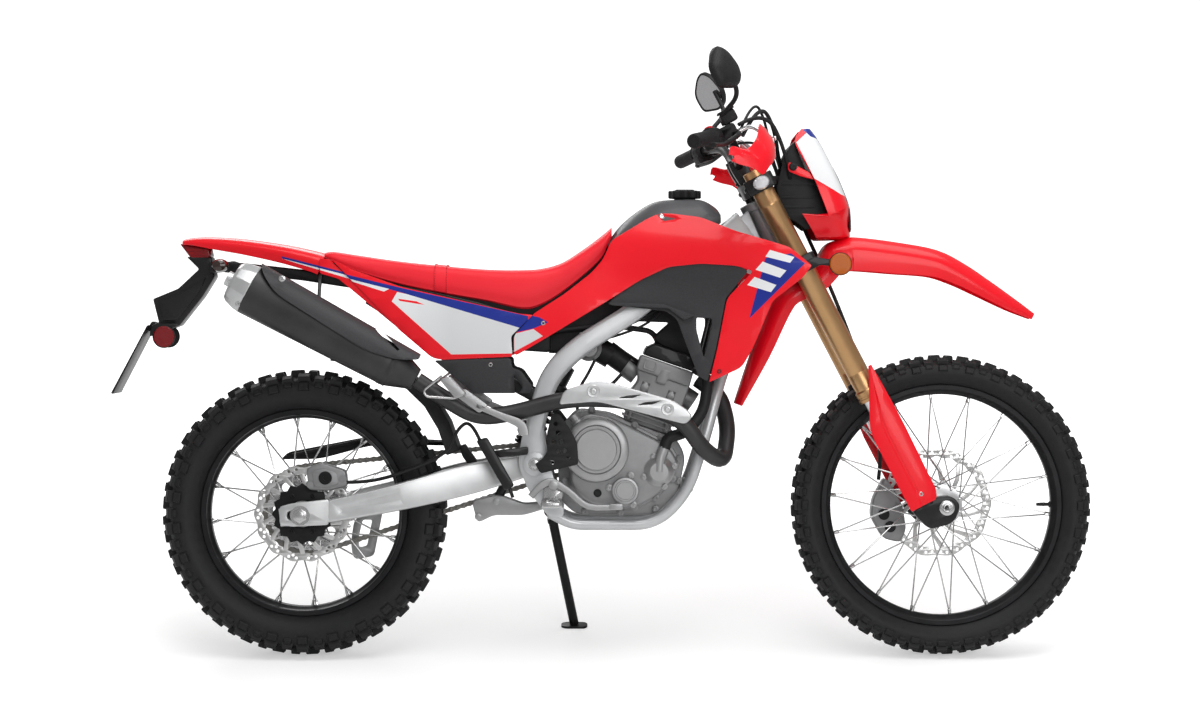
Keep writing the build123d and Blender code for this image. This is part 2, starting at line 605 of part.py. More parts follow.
TAIL_SIDE = [(262, 709), (85, 856), (43, 868), (40, 906), (62, 904), (226, 750)]


def arch(stations, thick):
    """An open-bottomed skin through stations of x, z, half width, side depth and shoulder drop."""
    sections = []
    count = len(stations)
    for i, (x, z, half, depth, drop) in enumerate(stations):
        x0, z0 = stations[max(i - 1, 0)][:2]
        x1, z1 = stations[min(i + 1, count - 1)][:2]
        here = Plane(origin=(x, 0, z), x_dir=(0, 1, 0), z_dir=(x1 - x0, 0, z1 - z0))
        outer = [(-half, -depth), (-half, -drop), (-0.62 * half, 0), (0.62 * half, 0), (half, -drop), (half, -depth)]
        side = half - thick
        inner = [(side, -depth), (side, -drop - thick / 2), (0.6 * half, -thick), (-0.6 * half, -thick),
                 (-side, -drop - thick / 2), (-side, -depth)]
        sections.append(here * make_face(Polyline(*outer, *inner, close=True)))
    return loft(sections, ruled=True)


#        x      z     half  depth drop
TAIL = [(-276, 946, 40, 10, 6),
        (-228, 950, 52, 22, 8),
        (-131, 945, 66, 34, 8),
        (-40, 932, 82, 42, 8),
        (38, 916, 92, 46, 8)]
FENDER = [(990, 575, 46, 26, 12),
          (1068, 800, 60, 42, 14),
          (1096, 836, 63, 40, 12),
          (1176, 880, 63, 40, 12),
          (1196, 940, 66, 62, 14),
          (1262, 948, 68, 72, 14),
          (1439, 920, 62, 58, 16),
          (1556, 853, 50, 38, 14),
          (1668, 775, 22, 12, 6)]
HUGGER_CLEAR = 60.0
#         angle about the rear axle, beyond the tyre by HUGGER_CLEAR and
HUGGER = [(76.5, 0.0, 58, 26, 10),
          (59.8, 12.0, 60, 28, 10),
          (41.5, 15.0, 60, 28, 10),
          (23.8, 0.0, 58, 26, 10)]


TAIL_BOSS_X = -70.0


def tail_cowl():
    """The tail: its arched top and the two side blades that run down under the side panels."""
    deck = [arch(TAIL, PANEL)]
    for side in (1, -1):
        foot = edge_z(RAIL, TAIL_BOSS_X, 1) + 2 * RAIL_CLEAR
        deck.append(Pos(TAIL_BOSS_X, side * 58, (foot + 936) / 2) * Cylinder(8, 936 - foot))
    return [joined(deck)] + panel(TAIL_SIDE, 4.0)


#        x     half width and z from the keel to the top centre
TANK_HALF = [(700.0, 58.0, 912.0, 84.0, 935.0, 40.0, 955.0),
             (745.0, 62.0, 905.0, 100.0, 945.0, 56.0, 998.0),
             (800.0, 66.0, 930.0, 108.0, 970.0, 62.0, 1036.0),
             (900.0, 66.0, 940.8, 112.0, 975.0, 60.0, 1040.0),
             (948.0, 40.0, 990.0, 84.0, 992.0, 44.0, 1012.0)]


def fuel_tank():
    """The tank between the shrouds: keel, widest line and top through five stations."""
    sections = []
    for x, keel_y, keel_z, side_y, side_z, top_y, top_z in TANK_HALF:
        half = [(keel_y, keel_z), (side_y, side_z), (top_y, top_z)]
        points = half + [(-y, z) for y, z in reversed(half)]
        sections.append(make_face(Plane.YZ.offset(x) * Polyline(*points, close=True)))
    body = loft(sections, ruled=True)
    return body - pin_up(CAP_X, CAP_Z - 14, CAP_Z + 30, CAP_NECK_R + AXLE_FIT)


CAP_X, CAP_Z = 868.0, 1040.0
CAP_R, CAP_NECK_R = 38.0, 24.0


def pin_up(x, z_from, z_to, radius):
    """A vertical round bar on the middle plane."""
    return Pos(x, 0, (z_from + z_to) / 2) * Cylinder(radius, z_to - z_from)


def fuel_cap():
    """The lobed cap on its neck."""
    cap = [pin_up(CAP_X, CAP_Z - 12, CAP_Z + 4, CAP_NECK_R)]
    lobes = [polar(CAP_R if i % 2 else CAP_R - 6, 30 * i, CAP_X, 0) for i in range(12)]
    cap.append(Pos(0, 0, CAP_Z + 2) * extrude(make_face(Polyline(*lobes, close=True)), amount=20))
    return joined(cap)


REST = None
RAIL_CLEAR = 0.8
#        x      top    underside or REST on the rails, half width below and at the crown
SEAT = [(48.0, 922.0, 905.0, 78.0, 60.0),
        (216.0, 899.0, REST, 92.0, 74.0),
        (400.0, 880.0, REST, 96.0, 78.0),
        (545.0, 881.0, 800.0, 90.0, 70.0),
        (632.0, 924.0, 862.0, 78.0, 52.0),
        (690.0, 966.0, 925.0, 70.0, 40.0)]


def seat():
    """The one-piece saddle as a closed solid, crowned across and stepped up to the tank."""
    sections = []
    for x, top, bottom, half, crown in SEAT:
        if bottom is REST:
            bottom = edge_z(RAIL, x, 1) + RAIL_CLEAR
        points = [(-half, bottom), (half, bottom), (half, bottom + 0.55 * (top - bottom)), (crown, top), (-crown, top),
                  (-half, bottom + 0.55 * (top - bottom))]
        sections.append(make_face(Plane.YZ.offset(x) * Polyline(*points, close=True)))
    return loft(sections, ruled=True)


def radiators():
    """The two finned radiator cores with their side tanks, either side of the down tube."""
    outline = [(900, 650), (934, 640), (985, 850), (951, 860)]
    core = slab(outline, 42, 128)
    for i in range(7):
        x, z = 926 + 6.3 * i, 668 + 26 * i
        core -= slab([(x - 2, z), (x + 14, z - 4), (x + 16, z + 4), (x, z + 8)], 52, 118)
    lug = slab([(962, 806), (1018, 814), (1018, 800), (966, 790)], DOWN_TUBE_R + SEAT_GAP, 44)
    return both(joined([core, lug]))


def intake():
    """The air box under the seat, the throttle body and the boot between them."""
    box = slab([(330, 772), (520, 752), (562, 735), (562, 690), (330, 706)], -72, 72)
    throat = tube([(558, 0, 716), (640, 0, 716), (717, 0, 671)], 27.0, 60)
    lug = slab([(440, 775), (460, 772), (460, 740), (440, 740)], -78.4, 78.4)
    return [joined([box, throat, lug])]


def rear_fender():
    """The plate hanger: an arm from under the tail, the lamp seat and the plate bracket."""
    arm = [(-212, 908.7), (-204, 862), (-232, 817), (-285, 750), (-330, 752), (-345, 812), (-287, 836),
           (-240, 880), (-268, 908.7)]
    pieces = [slab(arm, -34, 34), slab([(-215, 896), (-170, 898), (-170, 876), (-215, 870)], -42.4, 42.4)]
    plate = [(PLATE_TOP[0], PLATE_TOP[1]), (PLATE_TOP[0] + 5, PLATE_TOP[1] - 1), (PLATE_FOOT[0] + 5, PLATE_FOOT[1] - 1),
             (PLATE_FOOT[0], PLATE_FOOT[1])]
    pieces.append(slab(plate, -PLATE_HALF, PLATE_HALF))
    pieces.append(slab([(-350, 750), (-300, 775), (-285, 750), (-352, 724)], -34, 34))
    return joined(pieces)


PLATE_TOP = (-352.0, 752.0)
PLATE_FOOT = (-436.0, 596.0)
PLATE_HALF = 60.0


def rear_lamps():
    """Tail lamp, the two rear signals on their stalks, and the two round reflectors."""
    lamp = slab([(-284, 937), (-216, 928), (-212, 909), (-268, 909)], -33, 33)
    pieces = [lamp]
    for side in (1, -1):
        stalk = pin(-180, 886, side * 63, side * 118, 7)
        bulb = pin(-180, 886, side * 112, side * 168, 20)
        pieces.append(joined([stalk, bulb]))
        pieces.append(pin(-319, 726, side * 34.3, side * 42, 26))
    return pieces


def hugger():
    """The inner fender ahead of and above the rear tyre."""
    run = REAR_WHEEL_R + HUGGER_CLEAR
    stations = [polar(run + extra, turn, 0, REAR_WHEEL_R) + tuple(rest) for turn, extra, *rest in HUGGER]
    end_x, end_z = stations[-1][:2]
    foot = slab([(374, CROSS_TOP + SEAT_GAP), (394, CROSS_TOP + SEAT_GAP), (end_x + 10, end_z + 20),
                 (end_x - 7, end_z + 12)], -22, 22)
    return joined([arch(stations, PANEL), foot])


def foot_controls():
    """Rider's pegs on their brackets, passenger peg hangers, brake pedal and gear lever."""
    pieces = []
    for side in (1, -1):
        bracket = slab([(545, 395), (592, 385), (585, 340), (550, 345)],
                       *sorted((side * (PIVOT_PLATE_OUT + SEAT_GAP), side * 128)))
        peg = slab([(540, 346), (592, 346), (592, 362), (540, 362)], *sorted((side * 120, side * 205)))
        pieces.append(joined([bracket, peg]))
        y0, y1 = sorted((side * 174, side * 182))
        boss = pin(500, 520, *sorted((side * (PIVOT_PLATE_OUT + SEAT_GAP), side * 176)), 12)
        hanger = slab([(396, 570), (418, 578), (512, 552), (508, 500), (483, 491), (470, 508)], y0, y1)
        fold = slab([(316, 633), (340, 640), (378, 600), (353, 588)], *sorted((side * 176, side * 202)))
        link = slab([(345, 600), (372, 612), (425, 574), (405, 556)], y0, y1)
        pieces.append(joined([hanger, link, fold, boss]))
    pedal = [(512, 374), (540, 403), (569, 409), (605, 389), (648, 355), (716, 352), (716, 340), (640, 341), (600, 373),
             (566, 394), (545, 388), (524, 364)]
    pieces.append(joined([slab(pedal, -150, -136), pin(569, 388, -150, -128 - SEAT_GAP, 11)]))
    lever = [(638, 364), (640, 382), (720, 398), (738, 416), (746, 404), (724, 386), (656, 362)]
    pieces.append(joined([slab(lever, 122, 132), pin(648, 372, CASE_HALF + SEAT_GAP, 124, 7)]))
    return pieces


def heat_shield():
    """The pressed shield over the header, with its two slots."""
    edge = [(580, 575), (591, 609), (670, 634), (836, 586), (870, 564), (881, 550), (864, 531), (820, 542), (714, 570),
            (670, 583)]
    cover = slab(edge, -188, -184)
    for slot in ([(716, 591), (730, 595), (762, 598), (745, 591)], [(758, 575), (770, 581), (806, 584), (789, 577)]):
        cover -= slab(slot, -190, -180)
    clips = [pin(658, 606, -186, -160 - PIPE_R + 1, 5), pin(823, 566, -186, -160 - PIPE_R + 1, 5)]
    return joined([cover] + clips)


def rear_brake():
    """The caliper on its bracket over the disc, and the master cylinder by the brake pedal."""
    body = slab([(16, 380), (10, 430), (47, 442), (100, 424), (104, 389), (60, 378)], -94, -54)
    body -= pin(0, REAR_WHEEL_R, REAR_DISC_Y - 5, REAR_DISC_Y + 5, 118)
    cylinder = slab([(395, 494), (420, 502), (482, 392), (460, 382)], -140, -124)
    lug = slab([(430, 470), (512, 480), (512, 462), (448, 455)], -126, -PIVOT_PLATE_OUT - SEAT_GAP)
    cylinder = joined([cylinder, lug])
    return [body, cylinder]


def shock():
    """The single damper in its spring, between the frame's cross tube and the linkage."""
    (top_x, top_z), (foot_x, foot_z) = SHOCK_TOP, SHOCK_FOOT
    reach = math.hypot(top_x - foot_x, top_z - foot_z)
    axis = Plane(origin=(foot_x, 0, foot_z), z_dir=(top_x - foot_x, 0, top_z - foot_z)).location
    rod = axis * Pos(0, 0, reach / 2 - 6) * Cylinder(11, reach - 13)
    spring = axis * Pos(0, 0, 0.62 * reach) * Cylinder(28, 0.42 * reach)
    link = slab([(381, 351), (394, 300), (431, 318), (500, 318), (556, 335), (556, 350), (500, 345), (442, 366)], -18,
                18)
    return [joined([spring, rod, link])]


def chain_guard():
    """The moulded guard over the chain, the guide under it and the cover of the front sprocket."""
    guard = slab([(-66, 440), (-50, 457), (139, 494), (330, 484), (330, 472), (148, 474), (24, 441)], CHAIN_Y + 12,
                 CHAIN_Y + 18)
    a, b = 205.0, 232.0
    tab = [(a, 480), (b, 482), (b, edge_z(ARM, b, 1) + RAIL_CLEAR), (a, edge_z(ARM, a, 1) + RAIL_CLEAR)]
    guard = joined([guard, slab(tab, CHAIN_Y + 17, CHAIN_Y + 26)])
    guide = slab([(171, 322), (150, 216), (103, 207), (96, 245)], CHAIN_Y + 12, CHAIN_Y + 17)
    a, b = 140.0, 165.0
    tab = [(a, 300), (b, 300), (b, edge_z(ARM, b, -1) - RAIL_CLEAR), (a, edge_z(ARM, a, -1) - RAIL_CLEAR)]
    guide = joined([guide, slab(tab, CHAIN_Y + 16, CHAIN_Y + 28)])
    cover = slab([(572, 500), (620, 512), (660, 470), (650, 400), (606, 390), (582, 430)], CHAIN_Y + 12, CHAIN_Y + 44)
    return [guard, guide, cover]


# ---- steering, drawn in (F, Y, S) ---------------------------------------------------------------
FORK_OUTER_R, FORK_INNER_R = 25.0, 21.5
FORK_TOP, FORK_SEAL = 44.0, FRONT_AXLE_S + 299.0
CLAMP_LOW, CLAMP_TOP = (-215.0, -177.0), (-8.0, 28.0)
CLAMP_HALF = 126.0
CLAMP_PLAN = [(-15, -25), (-15, 25), (0, 66), (-12, CLAMP_HALF), (62, CLAMP_HALF), (56, 66), (38, 30), (38, -30),
              (56, -66), (62, -CLAMP_HALF), (-12, -CLAMP_HALF), (0, -66)]
BAR_R = 11.0
BAR_F, BAR_S = 6.0, 67.0
BAR_RUN = [(BAR_F, 76.0, BAR_S), (12.0, 168.0, 128.0), (-25.0, 255.0, 146.0), (-82.0, 405.0, 153.0)]
BAR_BENDS = [60.0, 60.0, 60.0]


def plan(outline, s_from, s_to):
    """A closed plan outline of (F, Y) points, solid from s_from to s_to."""
    return extrude(Plane.XY.offset(s_from) * make_face(Polyline(*outline, close=True)), amount=s_to - s_from)


def triple_clamps():
    """Stem, lower clamp, upper clamp and the two bar clamps that stand on it."""
    pieces = [post(0, 0, CLAMP_LOW[0], CLAMP_TOP[1] + 8, STEM_R)]
    pieces += [plan(CLAMP_PLAN, *CLAMP_LOW), plan(CLAMP_PLAN, *CLAMP_TOP)]
    for side in (1, -1):
        riser = [(BAR_F - 17, CLAMP_TOP[1] - 1), (BAR_F - 20, BAR_S + 17), (BAR_F + 20, BAR_S + 17),
                 (BAR_F + 17, CLAMP_TOP[1] - 1)]
        pieces.append(slab(riser, *sorted((side * 26, side * 56))))
    body = joined(pieces) - pin(BAR_F, BAR_S, -70, 70, BAR_R + SEAT_GAP)
    for side in (1, -1):
        body -= post(FORK_OFFSET, side * FORK_SPREAD, -230, 40, FORK_OUTER_R + SEAT_GAP)
    return body


def fork_tubes():
    """The outer tubes held by the clamps, each with its cap and seal ring."""
    tubes = []
    for side in (1, -1):
        y = side * FORK_SPREAD
        outer = joined([post(FORK_OFFSET, y, FORK_SEAL, FORK_TOP, FORK_OUTER_R),
                        post(FORK_OFFSET, y, FORK_SEAL - 6, FORK_SEAL + 20, FORK_OUTER_R + 3)])
        tubes.append(outer - post(FORK_OFFSET, y, FORK_SEAL - 10, FORK_SEAL + 181, FORK_INNER_R + SEAT_GAP))
    return tubes


def at_axle(outline):
    """Points given from the front axle, as (F, S) points."""
    return [(FRONT_AXLE_F + f, FRONT_AXLE_S + s) for f, s in outline]


# outlines counted from the front axle
AXLE_BLOCK = [(-73, 28), (-57, -26), (1, -38), (31, -8), (23, 18), (-9, 32)]
FORK_GUARD = [(-5, 366), (-41, 300), (-71, 241), (-75, 205), (-75, 30), (-15, 30), (-4, 51), (0, 219)]
FRONT_CALIPER = [(-81, 108), (-127, 78), (-151, 44), (-149, -16), (-117, -42), (-91, -20), (-74, 30), (-75, 90)]
BLOCK_HALF = 21.0


def fork_legs():
    """The inner tubes and the cast blocks that hold the front axle."""
    legs = []
    for side in (1, -1):
        y = side * FORK_SPREAD
        block = slab(at_axle(AXLE_BLOCK), y - BLOCK_HALF, y + BLOCK_HALF)
        leg = joined([post(FORK_OFFSET, y, FRONT_AXLE_S + 25, FORK_SEAL + 176, FORK_INNER_R), block])
        legs.append(leg - pin(FRONT_AXLE_F, FRONT_AXLE_S, y - 40, y + 40, AXLE_R + AXLE_FIT))
    return legs


def front_axle():
    """The hollow axle with a spacer each side of the hub and its head."""
    block_in, block_out = FORK_SPREAD - BLOCK_HALF, FORK_SPREAD + BLOCK_HALF
    pieces = [pin(FRONT_AXLE_F, FRONT_AXLE_S, -block_out - 10, block_out + 10, AXLE_R)]
    for y0, y1 in ((FRONT_HUB_LEFT + SEAT_GAP, block_in - SEAT_GAP), (-FRONT_HUB_RIGHT - SEAT_GAP, -block_in + SEAT_GAP),
                   (block_out + SEAT_GAP, block_out + 9)):
        pieces.append(pin(FRONT_AXLE_F, FRONT_AXLE_S, *sorted((y0, y1)), 15.0))
    return joined(pieces) - pin(FRONT_AXLE_F, FRONT_AXLE_S, -150, 150, 6.0)


def fork_guards():
    """The moulded guards outside the inner tubes, open behind."""
    near = FORK_SPREAD + FORK_OUTER_R + 3 + SEAT_GAP
    boss = pin(FORK_OFFSET, FRONT_AXLE_S + 50, FORK_SPREAD + FORK_INNER_R + SEAT_GAP, near + 1, 9)
    return both(joined([slab(at_axle(FORK_GUARD), near, near + PANEL), boss]))


def front_caliper():
    """The two-piston caliper behind the left leg, slotted for the disc, on its bracket."""
    body = slab(at_axle(FRONT_CALIPER), 48, 92)
    slot = pin(FRONT_AXLE_F, FRONT_AXLE_S, FRONT_DISC_Y - 6, FRONT_DISC_Y + 6, 133)
    return [body - slot]


def handlebar():
    """One bent tube, clamped in the middle."""
    left = BAR_RUN
    right = [(f, -y, s) for f, y, s in reversed(BAR_RUN)]
    return tube(right + left, BAR_R, BAR_BENDS[1:] + [40.0, 40.0] + BAR_BENDS[1:])


def along_bar(share, side):
    """A plane across the bar's outer run, at a share of that run from its inner end."""
    (f0, y0, s0), (f1, y1, s1) = BAR_RUN[-2:]
    inner, outer = Vector(f0, side * y0, s0), Vector(f1, side * y1, s1)
    return Plane(origin=inner + (outer - inner) * share, z_dir=outer - inner)


def bar_sleeve(share_from, share_to, radius, side):
    """A sleeve on the bar's outer run."""
    start, end = along_bar(share_from, side), along_bar(share_to, side)
    length = (end.origin - start.origin).length
    sleeve = Pos(0, 0, length / 2) * Cylinder(radius, length)
    bore = Pos(0, 0, length / 2) * Cylinder(BAR_R + SEAT_GAP, length + 2)
    return start.location * (sleeve - bore)


def grips():
    """The rubber grips with their inner flanges."""
    pieces = []
    for side in (1, -1):
        flange = bar_sleeve(0.24, 0.27, 22.0, side)
        pieces.append(joined([flange, bar_sleeve(0.27, 0.998, 16.5, side)]))
    return pieces


PERCH_F, PERCH_S = 26.0, 158.0
PERCH_Y = (226.0, 252.0)


def controls():
    """Switch housings, lever perches with their levers, and the instrument behind the cowl."""
    pieces = []
    for side in (1, -1):
        switch = bar_sleeve(0.02, 0.235, 21.0, side)
        lever = hose([(14, side * (PERCH_Y[1] + SEAT_GAP), 130), (22, side * 290, 126), (-16, side * 335, 118),
                      (-48, side * 405, 126)], 6.5)
        perch = slab([(-20, 120), (PERCH_F, 120), (PERCH_F, PERCH_S), (-20, PERCH_S)],
                     *sorted((side * PERCH_Y[0], side * PERCH_Y[1])))
        perch -= swept([BAR_RUN[1][:1] + (side * BAR_RUN[1][1],) + BAR_RUN[1][2:],
                        BAR_RUN[2][:1] + (side * BAR_RUN[2][1],) + BAR_RUN[2][2:]], Circle(BAR_R + SEAT_GAP), 1)
        pieces += [switch, lever, perch]
    meter = slab([(66, 70), (84, 62), (104, 96), (92, 112)], -58, 58)
    bracket = slab([(70, 78), (86, 66), (36, CLAMP_TOP[1] + SEAT_GAP), (25, CLAMP_TOP[1] + SEAT_GAP)], -16, 16)
    return pieces + [joined([meter, bracket])]


#            f      y      s    height
HAND_GUARD = [(66.0, 205.0, 62.0, 40.0),
              (84.0, 262.0, 72.0, 66.0),
              (84.0, 335.0, 76.0, 88.0),
              (50.0, 398.0, 78.0, 78.0),
              (-14.0, 421.0, 96.0, 52.0)]


def hand_guards():
    """The wrap-round guards ahead of the grips, open behind."""
    sections = []
    count = len(HAND_GUARD)
    for i, (f, y, s, height) in enumerate(HAND_GUARD):
        f0, y0 = HAND_GUARD[max(i - 1, 0)][:2]
        f1, y1 = HAND_GUARD[min(i + 1, count - 1)][:2]
        here = Plane(origin=(f, y, s), x_dir=(0, 0, 1), z_dir=(f1 - f0, y1 - y0, 0))
        sections.append(here * Rectangle(height, 4))
    guard = loft(sections, ruled=True)
    arm = hose([(84, 268, 84), (56, 247, 132), (PERCH_F + SEAT_GAP, 247, 132)], 4.5)
    return both(joined([guard, arm]))


def mirrors():
    """The mirrors on their bent stalks."""
    face = [(-50, -18), (-34, -40), (28, -44), (52, -26), (48, 26), (24, 42), (-34, 40), (-52, 18)]
    head = extrude(Plane.YZ * make_face(Polyline(*face, close=True)), amount=12, both=True)
    head = Pos(58, 330, 274) * Rot(0, -18, 12) * head
    stalk = hose([(8, 240, PERCH_S + SEAT_GAP), (8, 240, 176), (64, 276, 200), (64, 300, 262)], 5.5)
    return both(joined([head, stalk]))


COWL = [(1152, 1196, 62, 22, 10),
        (1172, 1176, 78, 40, 12),
        (1206, 1106, 98, 62, 16),
        (1236, 1046, 104, 74, 18),
        (1243, 990, 84, 66, 16),
        (1222, 958, 62, 50, 14)]


def headlight_cowl():
    """The one-piece mask that carries the headlight, open behind."""
    return HEAD_INVERSE * arch([station for station in COWL], 3.0)


def front_lamps():
    """The headlight in the mask, the two front signals on their stalks, the side reflectors."""
    body = slab([(100, -20), (182, -14), (184, -118), (158, -150), (110, -120)], -56, 56)
    arm = slab([(43.5, 18), (60, 18), (112, -16), (104, -30), (56, 2), (43.5, 2)], 30, 38)
    pieces = [joined([body, pin(150, -100, -95.0, 95.0, 8)] + both(arm))]
    for side in (1, -1):
        stalk = pin(24, 10, side * (CLAMP_HALF + SEAT_GAP), side * (CLAMP_HALF + 22), 8)
        bulb = pin(24, 10, side * (CLAMP_HALF + 20), side * (CLAMP_HALF + 70), 19)
        pieces.append(joined([stalk, bulb]))
        plate = slab([(18, -190), (18, -214), (60, -214), (100, -240), (100, -222), (56, -190)],
                     *sorted((side * (CLAMP_HALF + SEAT_GAP), side * (CLAMP_HALF + 3))))
        pieces.append(joined([plate, pin(101, -233, side * (CLAMP_HALF + 2), side * (CLAMP_HALF + 10), 26)]))
    return pieces


def cables():
    """The hose to the front caliper and the two loops of cable in front of the head."""
    brake = [(34, -236, 146), (104, -190, 150), (112, -120, 60), (84, -20, -60), (82, 70, -120), (78, 80, -240),
             (60, 70, FORK_SEAL + 111), (24, 62, FORK_SEAL - 109),
             (FRONT_AXLE_F - 95, 64, FRONT_AXLE_S + 108.4)]
    clutch = [(34, 236, 146), (100, 190, 160), (112, 110, 70), (86, 50, -20), (78, 30, -130)]
    throttle = [(30, -246, 120), (104, -160, 172), (118, -70, 110), (86, 6, 10), (78, 14, -130)]
    return [hose(route, 4.5) for route in (brake, clutch, throttle)]


HEAD_INVERSE = HEAD.location.inverse()


def front_fender():
    """The high fender between the fork legs."""
    feet = [post(f, y, -228.2, CLAMP_LOW[0] - SEAT_GAP, 8) for f in (8, 50) for y in (-30, 30)]
    return joined([HEAD_INVERSE * arch(FENDER, 3.0)] + feet)


# ---- the lean and the side stand ---------------------------------------------------------------
def lean_place(tyres):
    """Where the upright machine goes when it leans left with both tyres on the ground."""
    lean = Rot(-LEAN, 0, 0)
    low_front, low_rear = [(lean * tyre_solid).bounding_box().min.Z for tyre_solid in tyres]
    pitch = math.degrees(math.atan2(low_front - low_rear, WHEELBASE))
    turn = Rot(0, pitch, 0) * lean
    low = min((turn * tyre_solid).bounding_box().min.Z for tyre_solid in tyres)
    return Pos(0, 0, -low) * turn


def moved_point(place, point):
    """Where a point goes under a placement."""
    return (place * Pos(*point)).position


STAND_EYE_R, STAND_BOLT_R, STAND_EYE_LONG = 15.0, 6.0, 14.0
STAND_TUBE_R = 11.0
STAND_PAD = 26.0
STAND_PAD_THICK = 6.0
STAND_SWING = 100.0


def stand_geometry(place):
    """Pivot, foot and hinge axis of the stand in the upright machine's frame."""
    pivot = Vector(STAND_PIVOT_X, STAND_PIVOT_Y, STAND_PIVOT_Z)
    on_ground = moved_point(place, pivot)
    foot = Vector(on_ground.X + STAND_FOOT_AHEAD, STAND_FOOT_OUT, STAND_PAD_THICK)
    foot = moved_point(place.inverse(), foot)
    down = (foot - pivot).normalized()
    back = Vector(-1.0, 0.22, 0.06).normalized()
    axis = down.cross(back).normalized()
    return pivot, foot, axis


def stand_bracket(place):
    """The lug under the left pivot plate with the bolt that the stand's eye turns on."""
    pivot, foot, axis = stand_geometry(place)
    inward = axis * (-1 if axis.Y > 0 else 1)
    seat = pivot + inward * (STAND_EYE_LONG / 2 + SEAT_GAP)
    boss = Plane(origin=seat + inward * 9, z_dir=axis).location * Cylinder(STAND_EYE_R, 18)
    bolt = Plane(origin=pivot, z_dir=axis).location * Cylinder(STAND_BOLT_R, STAND_EYE_LONG + 12)
    web = slab([(STAND_PIVOT_X - 34, STAND_PIVOT_Z + 50), (STAND_PIVOT_X + 26, STAND_PIVOT_Z + 50),
                (STAND_PIVOT_X + 16, STAND_PIVOT_Z - 12), (STAND_PIVOT_X - 16, STAND_PIVOT_Z - 12)],
               PIVOT_PLATE_IN + 12, PIVOT_PLATE_OUT)
    return [boss, bolt, web]


def side_stand(place):
    """The leg with its eye at the top and a flat foot that lies on the ground."""
    pivot, foot, axis = stand_geometry(place)
    eye = Plane(origin=pivot, z_dir=axis).location * Cylinder(STAND_EYE_R, STAND_EYE_LONG)
    down = (foot - pivot).normalized()
    neck = tube([tuple(pivot + down * 10), tuple(pivot + down * 26)], STAND_EYE_LONG / 2 - 0.5)
    leg = tube([tuple(pivot + down * (STAND_EYE_R + 6)), tuple(foot)], STAND_TUBE_R)
    ground_foot = moved_point(place, foot)
    pad = Pos(ground_foot.X, ground_foot.Y, STAND_PAD_THICK / 2) * Box(2.4 * STAND_PAD, 1.6 * STAND_PAD, STAND_PAD_THICK)
    body = joined([place * joined([eye, neck, leg]), pad])
    floor = Pos(ground_foot.X, ground_foot.Y, -50) * Box(200, 200, 100)
    bore = place * Plane(origin=pivot, z_dir=axis).location * Cylinder(STAND_BOLT_R + SEAT_GAP, STAND_EYE_LONG + 30)
    return body - floor - bore


# ---- the whole machine -------------------------------------------------------------------------
def assembly():
    """Every piece by name, in the place where the parked machine has it."""
    front_at, rear_at = FRONT_AT, REAR_AT
    front_tyre, rear_tyre = front_at * tyre(FRONT), rear_at * tyre(REAR)
    place = lean_place([front_tyre, rear_tyre])
    head = HEAD.location
    upright = {
        "frame": joined([frame()] + stand_bracket(place)),
        "crankcase": crankcase(),
        "engine_covers": engine_covers(),
        "cylinder": cylinder(),
        "head_cover": head_cover(),
        "exhaust_pipe": exhaust_pipe(),
        "heat_shield": heat_shield(),
        "silencer": silencer(),
        "silencer_guard": silencer_guard(),
        "swingarm": swingarm(),
        "axles": axles(),
        "rear_brake": rear_brake(),
        "shock": shock(),
        "seat": seat(),
        "fuel_tank": fuel_tank(),
        "fuel_cap": fuel_cap(),
        "shrouds": panel(SHROUD, 0.0, bosses=SHROUD_BOSSES),
        "louvres": panel(LOUVRE, PANEL + 1.0, PANEL, [WINDOW]),
        "side_panels": panel(SIDE_PANEL, 0.0, bosses=PANEL_BOSSES),
        "lower_covers": panel(LOWER_COVER, 1.0),
        "tail_cowl": tail_cowl(),
        "radiators": radiators(),
        "intake": intake(),
        "rear_fender": rear_fender(),
        "hugger": hugger(),
        "rear_lamps": rear_lamps(),
        "foot_controls": foot_controls(),
        "chain": chain(),
        "chain_guard": chain_guard(),
        "front_sprocket": sprocket(SPROCKET_X, SPROCKET_Z, FRONT_PITCH_R, FRONT_TEETH, 12.6, 0),
        "front_tyre": front_tyre,
        "front_rim": front_at * rim(FRONT),
        "front_spokes": [front_at * piece for piece in hub_and_spokes(FRONT, *FRONT_LACING)],
        "front_disc": front_at * brake_disc(127, 26, 40, FRONT_DISC_Y, DISC_THICK, 6, 10),
        "rear_tyre": rear_tyre,
        "rear_rim": rear_at * rim(REAR),
        "rear_spokes": [rear_at * piece for piece in hub_and_spokes(REAR, *REAR_LACING)],
        "rear_disc": rear_at * brake_disc(110, 24, 42, REAR_DISC_Y, DISC_THICK, 6, 10),
        "rear_sprocket": sprocket(0, REAR_WHEEL_R, REAR_PITCH_R, REAR_TEETH, 50, 4),
    }
    steering = {
        "triple_clamps": triple_clamps(),
        "fork_tubes": fork_tubes(),
        "fork_legs": fork_legs(),
        "front_axle": front_axle(),
        "fork_guards": fork_guards(),
        "front_caliper": front_caliper(),
        "handlebar": handlebar(),
        "grips": grips(),
        "controls": controls(),
        "hand_guards": hand_guards(),
        "mirrors": mirrors(),
        "headlight_cowl": headlight_cowl(),
        "front_lamps": front_lamps(),
        "front_fender": front_fender(),
        "cables": cables(),
    }
    parked = {}
    for name, pieces in upright.items():
        listed = pieces if isinstance(pieces, list) else [pieces]
        parked[name] = [place * piece for piece in listed]
    for name, pieces in steering.items():
        listed = pieces if isinstance(pieces, list) else [pieces]
        parked[name] = [place * head * piece for piece in listed]
    parked["side_stand"] = [side_stand(place)]
    return parked, place


